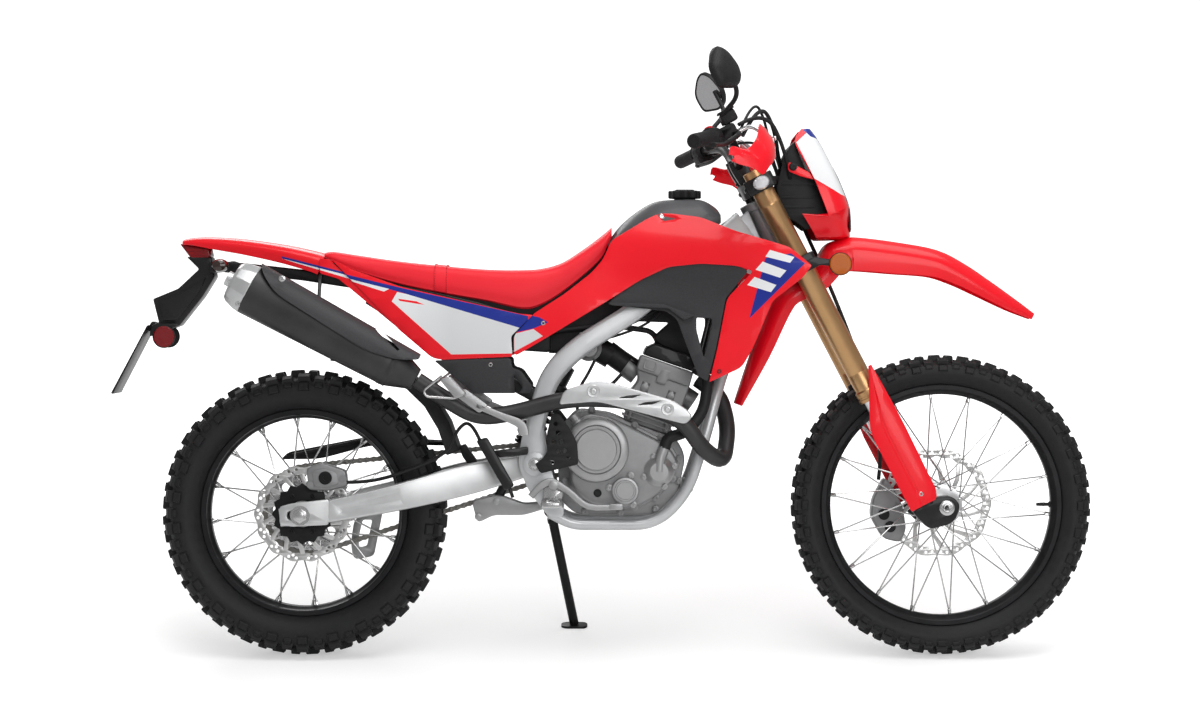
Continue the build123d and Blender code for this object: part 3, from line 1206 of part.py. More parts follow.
def centred(parked):
    """The shift that brings the bottom centre of the whole box to the origin."""
    boxes = [piece.bounding_box() for pieces in parked.values() for piece in pieces]
    low_x, high_x = min(box.min.X for box in boxes), max(box.max.X for box in boxes)
    low_y, high_y = min(box.min.Y for box in boxes), max(box.max.Y for box in boxes)
    low_z = min(box.min.Z for box in boxes)
    return Pos(-(low_x + high_x) / 2, -(low_y + high_y) / 2, -low_z)


def main():
    os.makedirs("parts", exist_ok=True)
    parked, place = assembly()
    shift = centred(parked)
    for name, pieces in parked.items():
        moved = [shift * piece for piece in pieces]
        whole = moved[0] if len(moved) == 1 else Compound(children=moved)
        export_step(whole, f"parts/{name}.step")


if __name__ == "__main__":
    main()
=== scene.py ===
import bpy
import json
import math
from mathutils import Matrix, Vector


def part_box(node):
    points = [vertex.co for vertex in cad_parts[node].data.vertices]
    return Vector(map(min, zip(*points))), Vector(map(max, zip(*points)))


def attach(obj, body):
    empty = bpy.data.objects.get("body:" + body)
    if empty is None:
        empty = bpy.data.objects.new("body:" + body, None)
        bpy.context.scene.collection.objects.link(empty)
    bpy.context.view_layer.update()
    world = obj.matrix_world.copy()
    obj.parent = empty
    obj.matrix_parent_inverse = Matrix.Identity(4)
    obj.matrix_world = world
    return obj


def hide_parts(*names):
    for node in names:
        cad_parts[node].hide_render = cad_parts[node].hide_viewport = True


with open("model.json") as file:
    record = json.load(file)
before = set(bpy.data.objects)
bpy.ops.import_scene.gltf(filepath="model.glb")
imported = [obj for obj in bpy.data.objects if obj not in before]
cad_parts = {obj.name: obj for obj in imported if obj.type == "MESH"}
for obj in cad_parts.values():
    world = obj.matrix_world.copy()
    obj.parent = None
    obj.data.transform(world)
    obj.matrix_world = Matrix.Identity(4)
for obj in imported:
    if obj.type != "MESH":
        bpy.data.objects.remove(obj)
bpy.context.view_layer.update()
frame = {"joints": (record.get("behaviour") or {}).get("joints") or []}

# ---- The machine and how it is parked -------------------------------------------------------------
# Everything is drawn on the upright machine: X forward from the rear spindle, Y to the rider's left,
# Z up from the ground, in millimetres.  park() scales a piece to metres and leans it on its stand.
MM = 0.001
WHEELBASE = 1453
FRONT_R, REAR_R = 342, 325
FRONT_AXLE, REAR_AXLE = Vector((WHEELBASE, 0, FRONT_R)), Vector((0, 0, REAR_R))
HEAD_ORIGIN = Vector((1015.4, 0, 1050))
RAKE = math.radians(27.5)
JOINTS = {joint["name"]: joint for joint in frame["joints"]}


def axes_from(forward, left):
    """A turned set of axes with X along forward and Y along left."""
    forward, left = forward.normalized(), left.normalized()
    return Matrix((forward, left, forward.cross(left))).transposed()


rear_spindle = Vector(JOINTS["rear_wheel_turn"]["pos_m"])
front_spindle = Vector(JOINTS["front_wheel_turn"]["pos_m"])
turned = (axes_from(front_spindle - rear_spindle, Vector(JOINTS["rear_wheel_turn"]["axis"]))
          @ axes_from(FRONT_AXLE - REAR_AXLE, Vector((0, 1, 0))).inverted()).to_4x4()
LEANED = (Matrix.Translation(rear_spindle) @ turned
          @ Matrix.Translation(-REAR_AXLE * MM) @ Matrix.Scale(MM, 4))
STEERED = LEANED @ Matrix.Translation(HEAD_ORIGIN) @ Matrix.Rotation(-RAKE, 4, "Y")


def alone(piece):
    """Makes one piece the only selected and active one."""
    if bpy.context.object and bpy.context.object.mode != "OBJECT":
        bpy.ops.object.mode_set(mode="OBJECT")
    bpy.ops.object.select_all(action="DESELECT")
    piece.select_set(True)
    bpy.context.view_layer.objects.active = piece
    return piece


def settled(piece, place=Matrix.Identity(4)):
    """Puts a piece's place into its mesh, so that its object sits at the origin."""
    piece.data.transform(place @ piece.matrix_world)
    piece.matrix_world = Matrix.Identity(4)
    return piece


def moved(pieces, place):
    """Takes pieces to a place, given as a matrix or as a point."""
    for piece in pieces:
        piece.data.transform(place if isinstance(place, Matrix) else Matrix.Translation(place))
    return pieces


def park(piece, body, slot, *nodes, place=LEANED):
    """Leans a finished piece over with the machine, and says what it rides on and stands for."""
    settled(piece, place)
    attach(piece, body)
    if nodes:
        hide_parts(*nodes)
    return piece


# ---- Studio: a pale sweep of floor under soft boxes -----------------------------------------------
# The floor is a matt white sheet that runs on out of sight; a large soft box hangs overhead,
# one stands on the right, and the room fills the rest.
class Wire:
    """A node's output, so that shader sums read as plain arithmetic."""

    def __init__(self, paint, socket):
        self.paint, self.socket = paint, socket

    def maths(self, operation, other=None, swap=False, clamp=False):
        terms = [self] if other is None else ([other, self] if swap else [self, other])
        return self.paint.node("Math", {"operation": operation, "use_clamp": clamp}, *terms)

    def __add__(self, other): return self.maths("ADD", other)
    def __radd__(self, other): return self.maths("ADD", other)
    def __sub__(self, other): return self.maths("SUBTRACT", other)
    def __rsub__(self, other): return self.maths("SUBTRACT", other, True)
    def __mul__(self, other): return self.maths("MULTIPLY", other)
    def __rmul__(self, other): return self.maths("MULTIPLY", other)
    def __truediv__(self, other): return self.maths("DIVIDE", other)
    def __gt__(self, other): return self.maths("GREATER_THAN", other)
    def __lt__(self, other): return self.maths("LESS_THAN", other)
    def __pow__(self, other): return self.maths("POWER", other)


SHEEN = 0.28  # how strongly every finish mirrors at normal incidence, as its specular level


class Paint:
    """A material while it is being mixed."""

    def __init__(self, name, colour=(0.8, 0.8, 0.8), roughness=0.5, metallic=0.0, **sockets):
        self.material = bpy.data.materials.new(name)
        self.material.use_nodes = True
        self.nodes, self.links = self.material.node_tree.nodes, self.material.node_tree.links
        self.shader = self.nodes["Principled BSDF"]
        self.colour, self.roughness = colour, roughness
        self.set("Base Color", (*colour, 1.0))
        self.set("Roughness", roughness)
        self.set("Metallic", metallic)
        self.set("Specular IOR Level", SHEEN)
        for name, value in sockets.items():
            self.set(name.replace("_", " ").title().replace("Ior", "IOR"), value)

    def set(self, socket, value):
        """Gives one of the shader's sockets a value or a wire."""
        target = self.shader.inputs[socket]
        if isinstance(value, Wire):
            self.links.new(value.socket, target)
        else:
            target.default_value = value

    def node(self, kind, settings=None, *values, out=0, **named):
        """Adds one node, sets it, feeds its sockets in order or by name, and gives its output."""
        made = self.nodes.new("ShaderNode" + kind)
        for key, value in (settings or {}).items():
            if key == "stops":
                while len(made.color_ramp.elements) < len(value):
                    made.color_ramp.elements.new(1.0)
                for stop, (place, shade) in zip(made.color_ramp.elements, value):
                    stop.position, stop.color = place, shade
            else:
                setattr(made, key, value)
        feeds = list(enumerate(values))
        feeds += [(key.replace("_", " "), value) for key, value in named.items()]
        for key, value in feeds:
            if isinstance(value, Wire):
                self.links.new(value.socket, made.inputs[key])
            elif value is not None:
                made.inputs[key].default_value = value
        return Wire(self, made.outputs[out])

    def upright(self):
        """Object coordinates turned back to the upright machine, in metres."""
        back = (LEANED @ Matrix.Scale(1 / MM, 4)).inverted()
        turn = back.to_euler()
        return self.node("Mapping", {"vector_type": "POINT"}, self.node("TexCoord", None, out=3),
                         back.translation, turn, None)

    def noise(self, scale, detail=3.0, rough=0.55, where=None):
        """Fine mottling, as many grains to the metre as scale."""
        where = where or self.node("TexCoord", None, out=3)
        return self.node("TexNoise", None, Vector=where, Scale=scale, Detail=detail, Roughness=rough)

    def blend(self, factor, first, second):
        """Colour first where the factor is 0 and second where it is 1."""
        made = self.nodes.new("ShaderNodeMix")
        made.data_type = "RGBA"
        for key, value in ((0, factor), (6, first), (7, second)):
            if isinstance(value, Wire):
                self.links.new(value.socket, made.inputs[key])
            else:
                made.inputs[key].default_value = value if key == 0 else (*value, 1.0)
        return Wire(self, made.outputs[2])

    def wear(self, spread=0.08, scale=30, tint=0.12):
        """Slightly uneven colour and gloss, as handling and dust leave."""
        mottle = self.noise(scale)
        darker = tuple(channel * (1 - tint) for channel in self.colour)
        self.set("Base Color", self.blend(mottle, self.colour, darker))
        self.set("Roughness", mottle * (2 * spread) + (self.roughness - spread))
        return self

    def two_tone(self, scale, detail, first, second, least=None, spread=0.0):
        """Mottles the colour between two shades, and the roughness upwards from its least."""
        mottle = self.noise(scale, detail)
        self.set("Base Color", self.blend(mottle, first, second))
        if least is not None:
            self.set("Roughness", mottle * spread + least)
        return self

    def grain(self, scale, depth, strength=0.5):
        """A moulded or cast surface grain."""
        bump = self.node("Bump", None, Strength=strength, Distance=depth, Height=self.noise(scale, 2.0))
        self.set("Normal", bump)
        return self


bpy.context.scene.view_settings.view_transform = "Standard"

# The sheet fades to white between two distances from the machine's middle, in metres; nearer than
# that it glows less, and the room lights less than it shows.
WHITE_BEGINS, WHITE_COMPLETE = 0.9, 1.9
NEAR_GLOW, ROOM_LEVEL = 0.45, 0.40
FLOOR_SIDE = 80
floor_paint = Paint("studio_floor", (0.9, 0.9, 0.9), 0.9)
seen = floor_paint.node("LightPath", None, out=0)
spot = floor_paint.node("TexCoord", None, out=3)
far = floor_paint.node("VectorMath", {"operation": "LENGTH"}, spot, out=1)
glow = floor_paint.node("MapRange", None, far, WHITE_BEGINS, WHITE_COMPLETE, NEAR_GLOW, 1.0)
lit = floor_paint.node("Emission", None, (1, 1, 1, 1), glow)
sheet = floor_paint.node("BsdfDiffuse", None, (0.7, 0.7, 0.7, 1))
seen_floor = floor_paint.node("AddShader", None, lit, sheet)
bpy.ops.mesh.primitive_plane_add(size=FLOOR_SIDE, location=(0, 0, 0))
floor = bpy.context.object
floor.name = "studio_floor"
floor.data.materials.append(floor_paint.material)
plain_floor = Wire(floor_paint, floor_paint.shader.outputs[0])
mixed = floor_paint.node("MixShader", None, seen, plain_floor, seen_floor)
floor_paint.links.new(mixed.socket, floor_paint.nodes["Material Output"].inputs["Surface"])

world = bpy.data.worlds.new("studio_room")
bpy.context.scene.world = world
world.use_nodes = True
room = world.node_tree
path = room.nodes.new("ShaderNodeLightPath")
seen_white = room.nodes.new("ShaderNodeMath")
seen_white.operation = "MAXIMUM"
room.links.new(path.outputs["Is Camera Ray"], seen_white.inputs[0])
room.links.new(path.outputs["Is Transmission Ray"], seen_white.inputs[1])
level = room.nodes.new("ShaderNodeMapRange")
level.inputs["To Min"].default_value = ROOM_LEVEL
level.inputs["To Max"].default_value = 1.0
room.links.new(seen_white.outputs[0], level.inputs["Value"])
room.links.new(level.outputs[0], room.nodes["Background"].inputs["Strength"])
room.nodes["Background"].inputs["Color"].default_value = (1, 1, 1, 1)

#            name          aim from (m, upright)   size      watts
SOFT_BOXES = [("overhead", (0.6, -0.6, 4.2), (4.5, 2.6), 110),
              ("right_side", (1.6, -4.6, 2.6), (3.0, 2.2), 70),
              ("left_back", (-1.6, 4.2, 2.8), (3.0, 2.0), 60)]
AIM = Vector((0, 0, 0.6))
for name, spot, size, watts in SOFT_BOXES:
    lamp = bpy.data.lights.new(name, "AREA")
    lamp.shape, lamp.size, lamp.size_y, lamp.energy = "RECTANGLE", size[0], size[1], watts
    holder = bpy.data.objects.new(name, lamp)
    bpy.context.scene.collection.objects.link(holder)
    holder.location = spot
    holder.rotation_euler = (AIM - Vector(spot)).to_track_quat("-Z", "Y").to_euler()

# ---- Camera: square on to the machine's right side ------------------------------------------------
FOCAL_PX, WIDE_PX, HIGH_PX = 2751, 1200, 711
EYE = Vector((628.4, -6300, 775.4))
AXIS_PX = (580, 315)
lens = bpy.data.cameras.new("right_side_view")
lens.sensor_width = 36
lens.lens = lens.sensor_width * FOCAL_PX / WIDE_PX
lens.shift_x = (WIDE_PX / 2 - AXIS_PX[0]) / WIDE_PX
lens.shift_y = (AXIS_PX[1] - HIGH_PX / 2) / WIDE_PX
lens.clip_end = 200
camera = bpy.data.objects.new("right_side_view", lens)
bpy.context.scene.collection.objects.link(camera)
spot = LEANED @ Matrix.Translation(EYE) @ Matrix.Rotation(math.pi / 2, 4, "X")
camera.matrix_world = Matrix.LocRotScale(spot.to_translation(), spot.to_quaternion(), None)
bpy.context.scene.camera = camera

# ---- Tyres: knobbly off-road covers on both wheels ------------------------------------------------
# Moulded black rubber, a round carcass with a rim line and a bead line on its smooth wall, and tall
# tapered lugs: one row down the middle, one each side of it and staggered ones on the shoulders.
FRONT_WHEEL = LEANED @ Matrix.Translation(FRONT_AXLE)
REAR_WHEEL = LEANED @ Matrix.Translation(REAR_AXLE)


def drawn(name, points, edges=(), faces=()):
    """A new object from its points, ready for editing."""
    mesh = bpy.data.meshes.new(name)
    mesh.from_pydata(points, edges, faces)
    piece = bpy.data.objects.new(name, mesh)
    bpy.context.scene.collection.objects.link(piece)
    return alone(piece)


def eased(rows, steps, closed=False):
    """Rows of numbers joined by a smooth line through all of them."""
    count = len(rows)
    line = []
    for i in range(count if closed else count - 1):
        spots = (i - 1, i, i + 1, i + 2)
        a, b, c, d = (rows[k % count] if closed else rows[min(max(k, 0), count - 1)] for k in spots)
        for step in range(steps):
            t = step / steps
            line.append(tuple(0.5 * (2 * q + (r - p) * t + (2 * p - 5 * q + 4 * r - s) * t * t
                + (3 * q - p - 3 * r + s) * t ** 3) for p, q, r, s in zip(a, b, c, d)))
    return line if closed else line + [tuple(rows[-1])]


def soften(piece, degrees=35):
    """Smooth shading that keeps edges sharper than so many degrees."""
    alone(piece)
    bpy.ops.object.shade_smooth_by_angle(angle=math.radians(degrees))
    return piece


def tidy_mesh(piece, gap=0.01):
    """Merges doubled points and turns every face outwards."""
    alone(piece)
    bpy.ops.object.mode_set(mode="EDIT")
    bpy.ops.mesh.select_all(action="SELECT")
    bpy.ops.mesh.remove_doubles(threshold=gap)
    bpy.ops.mesh.normals_make_consistent(inside=False)
    bpy.ops.object.mode_set(mode="OBJECT")
    return piece


CORE = 0.01  # the radius at which a solid turned part's profile starts and ends


def lathe(name, profile, steps=64, closed=None, degrees=35):
    """Spins a (radius, y) profile about the Y axis; one that starts at the core stays open there."""
    closed = profile[0][0] != CORE if closed is None else closed
    count = len(profile)
    edges = [(i, (i + 1) % count) for i in range(count if closed else count - 1)]
    piece = drawn(name, [(radius, y, 0) for radius, y in profile], edges)
    bpy.ops.object.mode_set(mode="EDIT")
    bpy.ops.mesh.select_all(action="SELECT")
    bpy.ops.mesh.spin(steps=steps, angle=2 * math.pi, center=(0, 0, 0), axis=(0, 1, 0))
    return soften(tidy_mesh(piece), degrees)


def turned_at(name, profile, x, z, steps):
    """A turned part whose axis lies across the machine at (x, z)."""
    return moved([lathe(name, profile, steps)], (x, 0, z))[0]


def joined(name, pieces):
    """Several pieces made one object."""
    alone(pieces[0])
    for piece in pieces:
        piece.select_set(True)
    if len(pieces) > 1:
        bpy.ops.object.join()
    whole = bpy.context.object
    whole.name = name
    return whole


def copied(piece, place):
    """A copy of a piece with its own mesh, taken to a place."""
    copy = piece.copy()
    copy.data = piece.data.copy()
    copy.data.transform(place)
    bpy.context.scene.collection.objects.link(copy)
    return copy


def repeated(name, piece, places):
    """Copies of a piece at many places, as one object."""
    copies = [copied(piece, place) for place in places]
    bpy.data.objects.remove(piece)
    return joined(name, copies)


def pick(piece, test):
    """Enters edit mode with only the faces selected whose centre and normal pass a test."""
    alone(piece)
    mesh = piece.data
    for parts in (mesh.vertices, mesh.edges, mesh.polygons):
        parts.foreach_set("select", [False] * len(parts))
    for face in mesh.polygons:
        face.select = bool(test(face.center, face.normal))
    bpy.context.tool_settings.mesh_select_mode = (False, False, True)
    bpy.ops.object.mode_set(mode="EDIT")


def painted(piece, paint):
    """Gives a piece one finish."""
    piece.data.materials.clear()
    piece.data.materials.append(paint.material)
    return piece


def fit(name, pieces, paint, body, slot, *nodes, place=LEANED):
    """Joins pieces into one, paints it and parks it."""
    return park(painted(joined(name, pieces), paint), body, slot, *nodes, place=place)


tyre_rubber = Paint("tyre_rubber", (0.020, 0.020, 0.021), 0.58).grain(420, 0.0005, 0.5)
tyre_rubber.two_tone(60, 5.0, (0.006, 0.006, 0.007), (0.018, 0.018, 0.019), 0.46, 0.2)


def lug(length, width, height):
    """One tapered tread lug, its foot at the origin and its top towards +Z."""
    bpy.ops.mesh.primitive_cube_add(size=1, location=(0, 0, 0.5))
    piece = settled(bpy.context.object, Matrix.Diagonal((length, width, height, 1)))
    pick(piece, lambda centre, normal: normal.z > 0.5)
    bpy.ops.transform.resize(value=(0.84, 0.84, 1))
    bpy.ops.mesh.bevel(offset=1.3, segments=1, affect="EDGES")
    bpy.ops.object.mode_set(mode="OBJECT")
    return piece


def tyre(name, radius, width, depth, pitches, seat_r, flange_r, bead_y):
    """The carcass with its lugs, about the Y axis."""
    crown, half = radius - depth, width / 2
    rise = crown - flange_r
    wall = [(seat_r + 0.4, bead_y), (flange_r + 0.4, bead_y), (flange_r + 2.0, bead_y + 5.5),
            (flange_r + 0.18 * rise, 0.80 * half), (flange_r + 0.40 * rise, 0.965 * half),
            (flange_r + 0.60 * rise, 0.985 * half), (crown - 0.24 * half, 0.90 * half),
            (crown - 0.10 * half, 0.66 * half), (crown - 0.01 * half, 0.34 * half), (crown, 0.0)]
    side = [wall[0], wall[1]] + eased(wall[2:], 3)
    line_r = flange_r + 0.13 * rise
    side = [(r + (0.8 if abs(r - line_r) < 1.5 else 0), y + (0.9 if abs(r - line_r) < 2.5 else 0))
        for r, y in side]
    carcass = lathe(name, side + [(r, -y) for r, y in reversed(side[:-1])], 2 * pitches, closed=False)
    pitch = 2 * math.pi * crown / pitches
    tilt = math.atan2(0.2 * half, 0.48 * half)
    #        along  across  high   offset  y             radius          tilt        count of sides
    rows = [(0.44, 0.50, depth + 1.5, -0.22, 0.0, crown - 1.5, 0.0),
            (0.30, 0.26, depth + 1.0, 0.26, 0.36 * half, crown - 2.0, 0.35 * tilt),
            (0.42, 0.34, depth + 2.5, 0.02, 0.70 * half, crown - 0.16 * half - 2.5, 1.05 * tilt),
            (0.36, 0.34, depth - 1.0, 0.50, 0.72 * half, crown - 0.17 * half - 2.5, 1.05 * tilt),
            (0.34, 0.30, depth - 4.5, 0.02, 0.90 * half, crown - 0.42 * half, 3.1 * tilt),
            (0.26, 0.22, depth - 6.5, 0.50, 0.885 * half, crown - 0.34 * half, 2.6 * tilt)]
    parts = [carcass]
    for number, (along, across, high, offset, y, foot_r, lean) in enumerate(rows):
        places = []
        for i in range(pitches):
            turn = Matrix.Rotation(2 * math.pi * (i + offset) / pitches, 4, "Y")
            for hand in ((1,) if y == 0 else (1, -1)):
                places.append(turn @ Matrix.Translation((0, hand * y, foot_r))
                    @ Matrix.Rotation(-hand * lean, 4, "X"))
        parts.append(repeated(f"{name}_lugs_{number}",
            lug(along * pitch, across * width / 2 * 1.15, high), places))
    return soften(joined(name, parts), 30)


#         radius  width depth pitches seat_r flange_r bead_y
TYRES = {"front": (FRONT_R, 88, 12, 32, 266.5, 275, 22.6, FRONT_WHEEL),
         "rear": (REAR_R, 116, 14, 26, 228, 236, 28.1, REAR_WHEEL)}
for end, (*sizes, spot) in TYRES.items():
    cover = painted(tyre(f"{end}_tyre_cover", *sizes), tyre_rubber)
    park(cover, f"{end}_wheel", "tyre", f"{end}_tyre", place=spot)

# ---- Rims: black drop-centre hoops ----------------------------------------------------------------
# Rolled aluminium, black anodised, with two flanges for the beads and a narrower bed where the
# spoke nipples sit; a valve stem with its cap and a rim lock nut stand on the inside.
black_anodised = Paint("black_anodised", (0.016, 0.016, 0.018), 0.3, 0.55)
black_anodised.two_tone(24, 4.0, (0.012, 0.012, 0.013), (0.028, 0.028, 0.030), 0.24, 0.14)


def round_bar(name, start, end, radius, sides=12, end_radius=None):
    """A bar from one point to another, its ends eased."""
    start, end = Vector(start), Vector(end)
    way = end - start
    bpy.ops.mesh.primitive_cone_add(vertices=sides, radius1=radius, radius2=end_radius or radius,
        depth=way.length, location=(0, 0, way.length / 2))
    piece = settled(bpy.context.object)
    piece.name = name
    pick(piece, lambda centre, normal: abs(normal.z) > 0.9)
    bpy.ops.mesh.bevel(offset=min(radius * 0.2, 1.2), segments=2, affect="EDGES")
    bpy.ops.object.mode_set(mode="OBJECT")
    piece.data.transform(Matrix.Translation(start) @ way.to_track_quat("Z", "Y").to_matrix().to_4x4())
    return soften(piece, 40)


def hoop(name, seat_r, flange_r, flange_y, inner_r):
    """A rim about the Y axis, from its two lips to the bed."""
    bed = flange_y - 3.5
    half = [(flange_r - 1.5, bed), (flange_r, bed + 1.2), (flange_r, flange_y - 1.2),
        (flange_r - 1.5, flange_y), (seat_r - 2.5, flange_y - 0.2), (seat_r - 4.5, flange_y - 1.6),
        (inner_r + 5.5, 0.62 * flange_y), (inner_r + 1.2, 0.44 * flange_y), (inner_r, 0.34 * flange_y)]
    under = [(inner_r + 4.0, 0.30 * flange_y), (seat_r - 4.0, 0.70 * flange_y), (seat_r - 0.5, bed - 3),
        (seat_r, bed)]
    profile = (half + [(r, -y) for r, y in reversed(half)] + [(r, -y) for r, y in reversed(under)]
        + under)
    return lathe(name, profile, 96, degrees=28)


#        seat_r flange_r flange_y inner_r valve at degrees
RIMS = {"front": (266.5, 275, 26.5, 252, 0.0, FRONT_WHEEL),
        "rear": (228, 236, 32, 215, 5.0, REAR_WHEEL)}
for end, (seat_r, flange_r, flange_y, inner_r, angle, spot) in RIMS.items():
    band = painted(hoop(f"{end}_rim_hoop", seat_r, flange_r, flange_y, inner_r), black_anodised)
    park(band, f"{end}_wheel", "black_metal", f"{end}_rim", place=spot)
    out = Vector((math.cos(math.radians(angle)), 0, math.sin(math.radians(angle))))
    stem = [round_bar("stem", out * (inner_r + 1), out * (inner_r - 12), 4.0, 12),
            round_bar("nut", out * (inner_r + 1), out * (inner_r - 4), 7.0, 6),
            round_bar("cap", out * (inner_r - 12), out * (inner_r - 32), 4.6, 10, 3.6)]
    fit(f"{end}_valve", stem, tyre_rubber, f"{end}_wheel", "rubber", place=spot)

# ---- Hubs and spokes ------------------------------------------------------------------------------
# Turned aluminium hubs with drilled flanges, laced with stainless wire spokes that cross in pairs
# and screw into plated nipples in the rim.
bright_alloy = Paint("bright_alloy", (0.62, 0.62, 0.63), 0.3, 0.85).wear(0.06, 50, 0.12)
bright_alloy.grain(600, 0.0001, 0.25)
spoke_steel = Paint("spoke_steel", (0.60, 0.60, 0.60), 0.24, 1.0).wear(0.08, 70, 0.15)


def spokes(name, count, crossing, hub_r, hub_y, inner_r, wire_r):
    """Every spoke with its head and nipple, in four laced groups."""
    per_group = count // 4
    groups = []
    for group, (side, lace) in enumerate(((1, 1), (1, -1), (-1, 1), (-1, -1))):
        beside = 2.5 + wire_r + 0.4
        start = 90 / per_group * group
        heads = math.radians(start), math.radians(start + lace * crossing)
        head = Vector(((hub_r - 4) * math.cos(heads[0]), side * (hub_y + lace * beside),
            (hub_r - 4) * math.sin(heads[0])))
        foot = Vector(((inner_r + 1) * math.cos(heads[1]), side * 4.0 + lace * 2.2,
            (inner_r + 1) * math.sin(heads[1])))
        near = foot + (head - foot).normalized() * 13
        wire = [round_bar("wire", head, near, wire_r, 8), round_bar("nipple", near, foot, 3.0, 6, 3.6),
            round_bar("head", head - Vector((0, side * lace * 5.5, 0)),
            head + Vector((0, side * lace * 2.2, 0)), 3.1, 8)]
        turns = [Matrix.Rotation(-2 * math.pi * i / per_group, 4, "Y") for i in range(per_group)]
        groups.append(repeated(f"{name}_{group}", joined("one_spoke", wire), turns))
    return joined(name, groups)


#        spokes cross hub_r hub_y inner_r wire  hub profile of (radius, y), outside only
HUBS = {
    "front": (36, 55, 46, 33, 252, 1.75, FRONT_WHEEL, [
        (10.4, -62), (19.5, -62), (20, -46), (38, -37), (46, -35.6), (46, -30.4), (40, -30), (24, -22),
        (20.5, 0), (24, 22), (40, 30), (46, 30.4), (46, 35.6), (38, 38), (40, 52), (46.5, 54),
        (46.5, 62), (10.4, 62)]),
    "rear": (32, 52, 48, 36, 215, 1.9, REAR_WHEEL, [
        (10.4, -68), (48.5, -68), (48.5, -60), (38, -57), (36, -42), (40, -39), (48, -38.6),
        (48, -33.4), (42, -33), (28, -24), (25, 0), (28, 24), (42, 33), (48, 33.4), (48, 38.6),
        (42, 40), (44, 56), (56.5, 60), (56.5, 69.5), (10.4, 69.5)])}
for end, (count, crossing, hub_r, hub_y, inner_r, wire_r, spot, profile) in HUBS.items():
    hub = painted(lathe(f"{end}_hub", profile, 48), bright_alloy)
    wires = painted(spokes(f"{end}_spoke_set", count, crossing, hub_r, hub_y, inner_r, wire_r),
        spoke_steel)
    park(hub, f"{end}_wheel", "alloy", f"{end}_spokes", place=spot)
    park(wires, f"{end}_wheel", "steel", f"{end}_spokes", place=spot)

# ---- Brake discs and sprockets --------------------------------------------------------------------
# Stainless wave discs, cut and drilled from sheet, on swept arms round a carrier ring that five or
# six button bolts hold to the hub; the rear one has a dark carrier.
disc_steel = Paint("disc_steel", (0.56, 0.56, 0.55), 0.3, 1.0)
disc_steel.two_tone(90, 2.0, (0.50, 0.50, 0.49), (0.66, 0.66, 0.66), 0.22, 0.18)
black_steel = Paint("black_steel", (0.02, 0.02, 0.021), 0.4, 0.6).wear(0.08, 60, 0.3)


def from_curve(name, curve):
    """A curve made a mesh."""
    piece = bpy.data.objects.new(name, curve)
    bpy.context.scene.collection.objects.link(piece)
    alone(piece)
    bpy.ops.object.convert(target="MESH")
    return bpy.context.object


def plate(name, outlines, y_from, y_to, ease=0.4, rounds=1):
    """A flat part cut to closed (x, z) outlines, of which the inner ones are holes."""
    curve = bpy.data.curves.new(name, "CURVE")
    curve.dimensions, curve.fill_mode = "2D", "BOTH"
    curve.extrude, curve.bevel_depth, curve.offset = abs(y_to - y_from) / 2 - ease, ease, -ease
    curve.bevel_resolution = rounds
    for outline in outlines:
        spline = curve.splines.new("POLY")
        spline.points.add(len(outline) - 1)
        spline.points.foreach_set("co", [value for x, z in outline for value in (x, z, 0, 1)])
        spline.use_cyclic_u = True
    piece = from_curve(name, curve)
    piece.data.transform(Matrix.Translation((0, (y_from + y_to) / 2, 0))
        @ Matrix.Rotation(math.pi / 2, 4, "X"))
    return soften(tidy_mesh(piece, 0.005), 32)


def slab(name, outline, corner, y_from, y_to, ease=0.4, rounds=1):
    """A plate of one outline with its corners rounded off."""
    return plate(name, [rounded(outline, corner)], y_from, y_to, ease, rounds)


def ring(radius, steps=24, x=0.0, z=0.0, wave=0.0, waves=0):
    """Points on a circle, its radius waving if asked."""
    turns = [(radius + wave * math.cos(waves * 2 * math.pi * i / steps), 2 * math.pi * i / steps)
             for i in range(steps)]
    return [(reach * math.cos(turn) + x, reach * math.sin(turn) + z) for reach, turn in turns]


def about(radius, degrees, x=0.0, z=0.0):
    """A point at an angle and a distance from (x, z)."""
    return x + radius * math.cos(math.radians(degrees)), z + radius * math.sin(math.radians(degrees))


def bolt(name, x, z, y_from, y_to, radius=5.0, drive=True):
    """A flanged screw head that looks out from y_from to y_to, with a socket in it."""
    out = 1 if y_to > y_from else -1
    high = abs(y_to - y_from)
    profile = [(0.01, 0), (radius * 1.35, 0), (radius * 1.35, high * 0.25), (radius, high * 0.35),
               (radius, high * 0.85), (radius * 0.85, high)]
    profile += [(radius * 0.5, high), (radius * 0.46, high * 0.45),
        (0.01, high * 0.45)] if drive else [(0.01, high)]
    return turned_at(name, [(r, y_from + out * y) for r, y in profile], x, z, 12)


def wave_disc(name, outer_r, band, carrier_r, y, thick, lobes, arms, sweep, pairs):
    """The band with its holes, on swept arms that reach in to the carrier ring."""
    inner_r = outer_r - band
    holes = []
    for i in range(lobes):
        for shift, depth in pairs:
            holes.append(ring(3.6, 10, *about(outer_r - depth, 360 / lobes * i + shift)))
    parts = [plate("band", [ring(outer_r - 2.5, 120, wave=2.5, waves=lobes),
        ring(inner_r, 120, wave=1.8, waves=2 * lobes)] + holes, y - thick / 2, y + thick / 2)]
    for i in range(arms):
        at = 360 / arms * i
        arm = [about(carrier_r + 5, at - 5), about(0.5 * (carrier_r + inner_r), at + 0.45 * sweep - 3),
               about(inner_r + 2, at + sweep - 3.5), about(inner_r + 2, at + sweep + 3.5),
               about(0.5 * (carrier_r + inner_r), at + 0.45 * sweep + 5), about(carrier_r + 5, at + 9)]
        parts.append(plate("arm", [arm], y - thick / 2 + 0.3, y + thick / 2 - 0.3))
    return joined(name, parts)


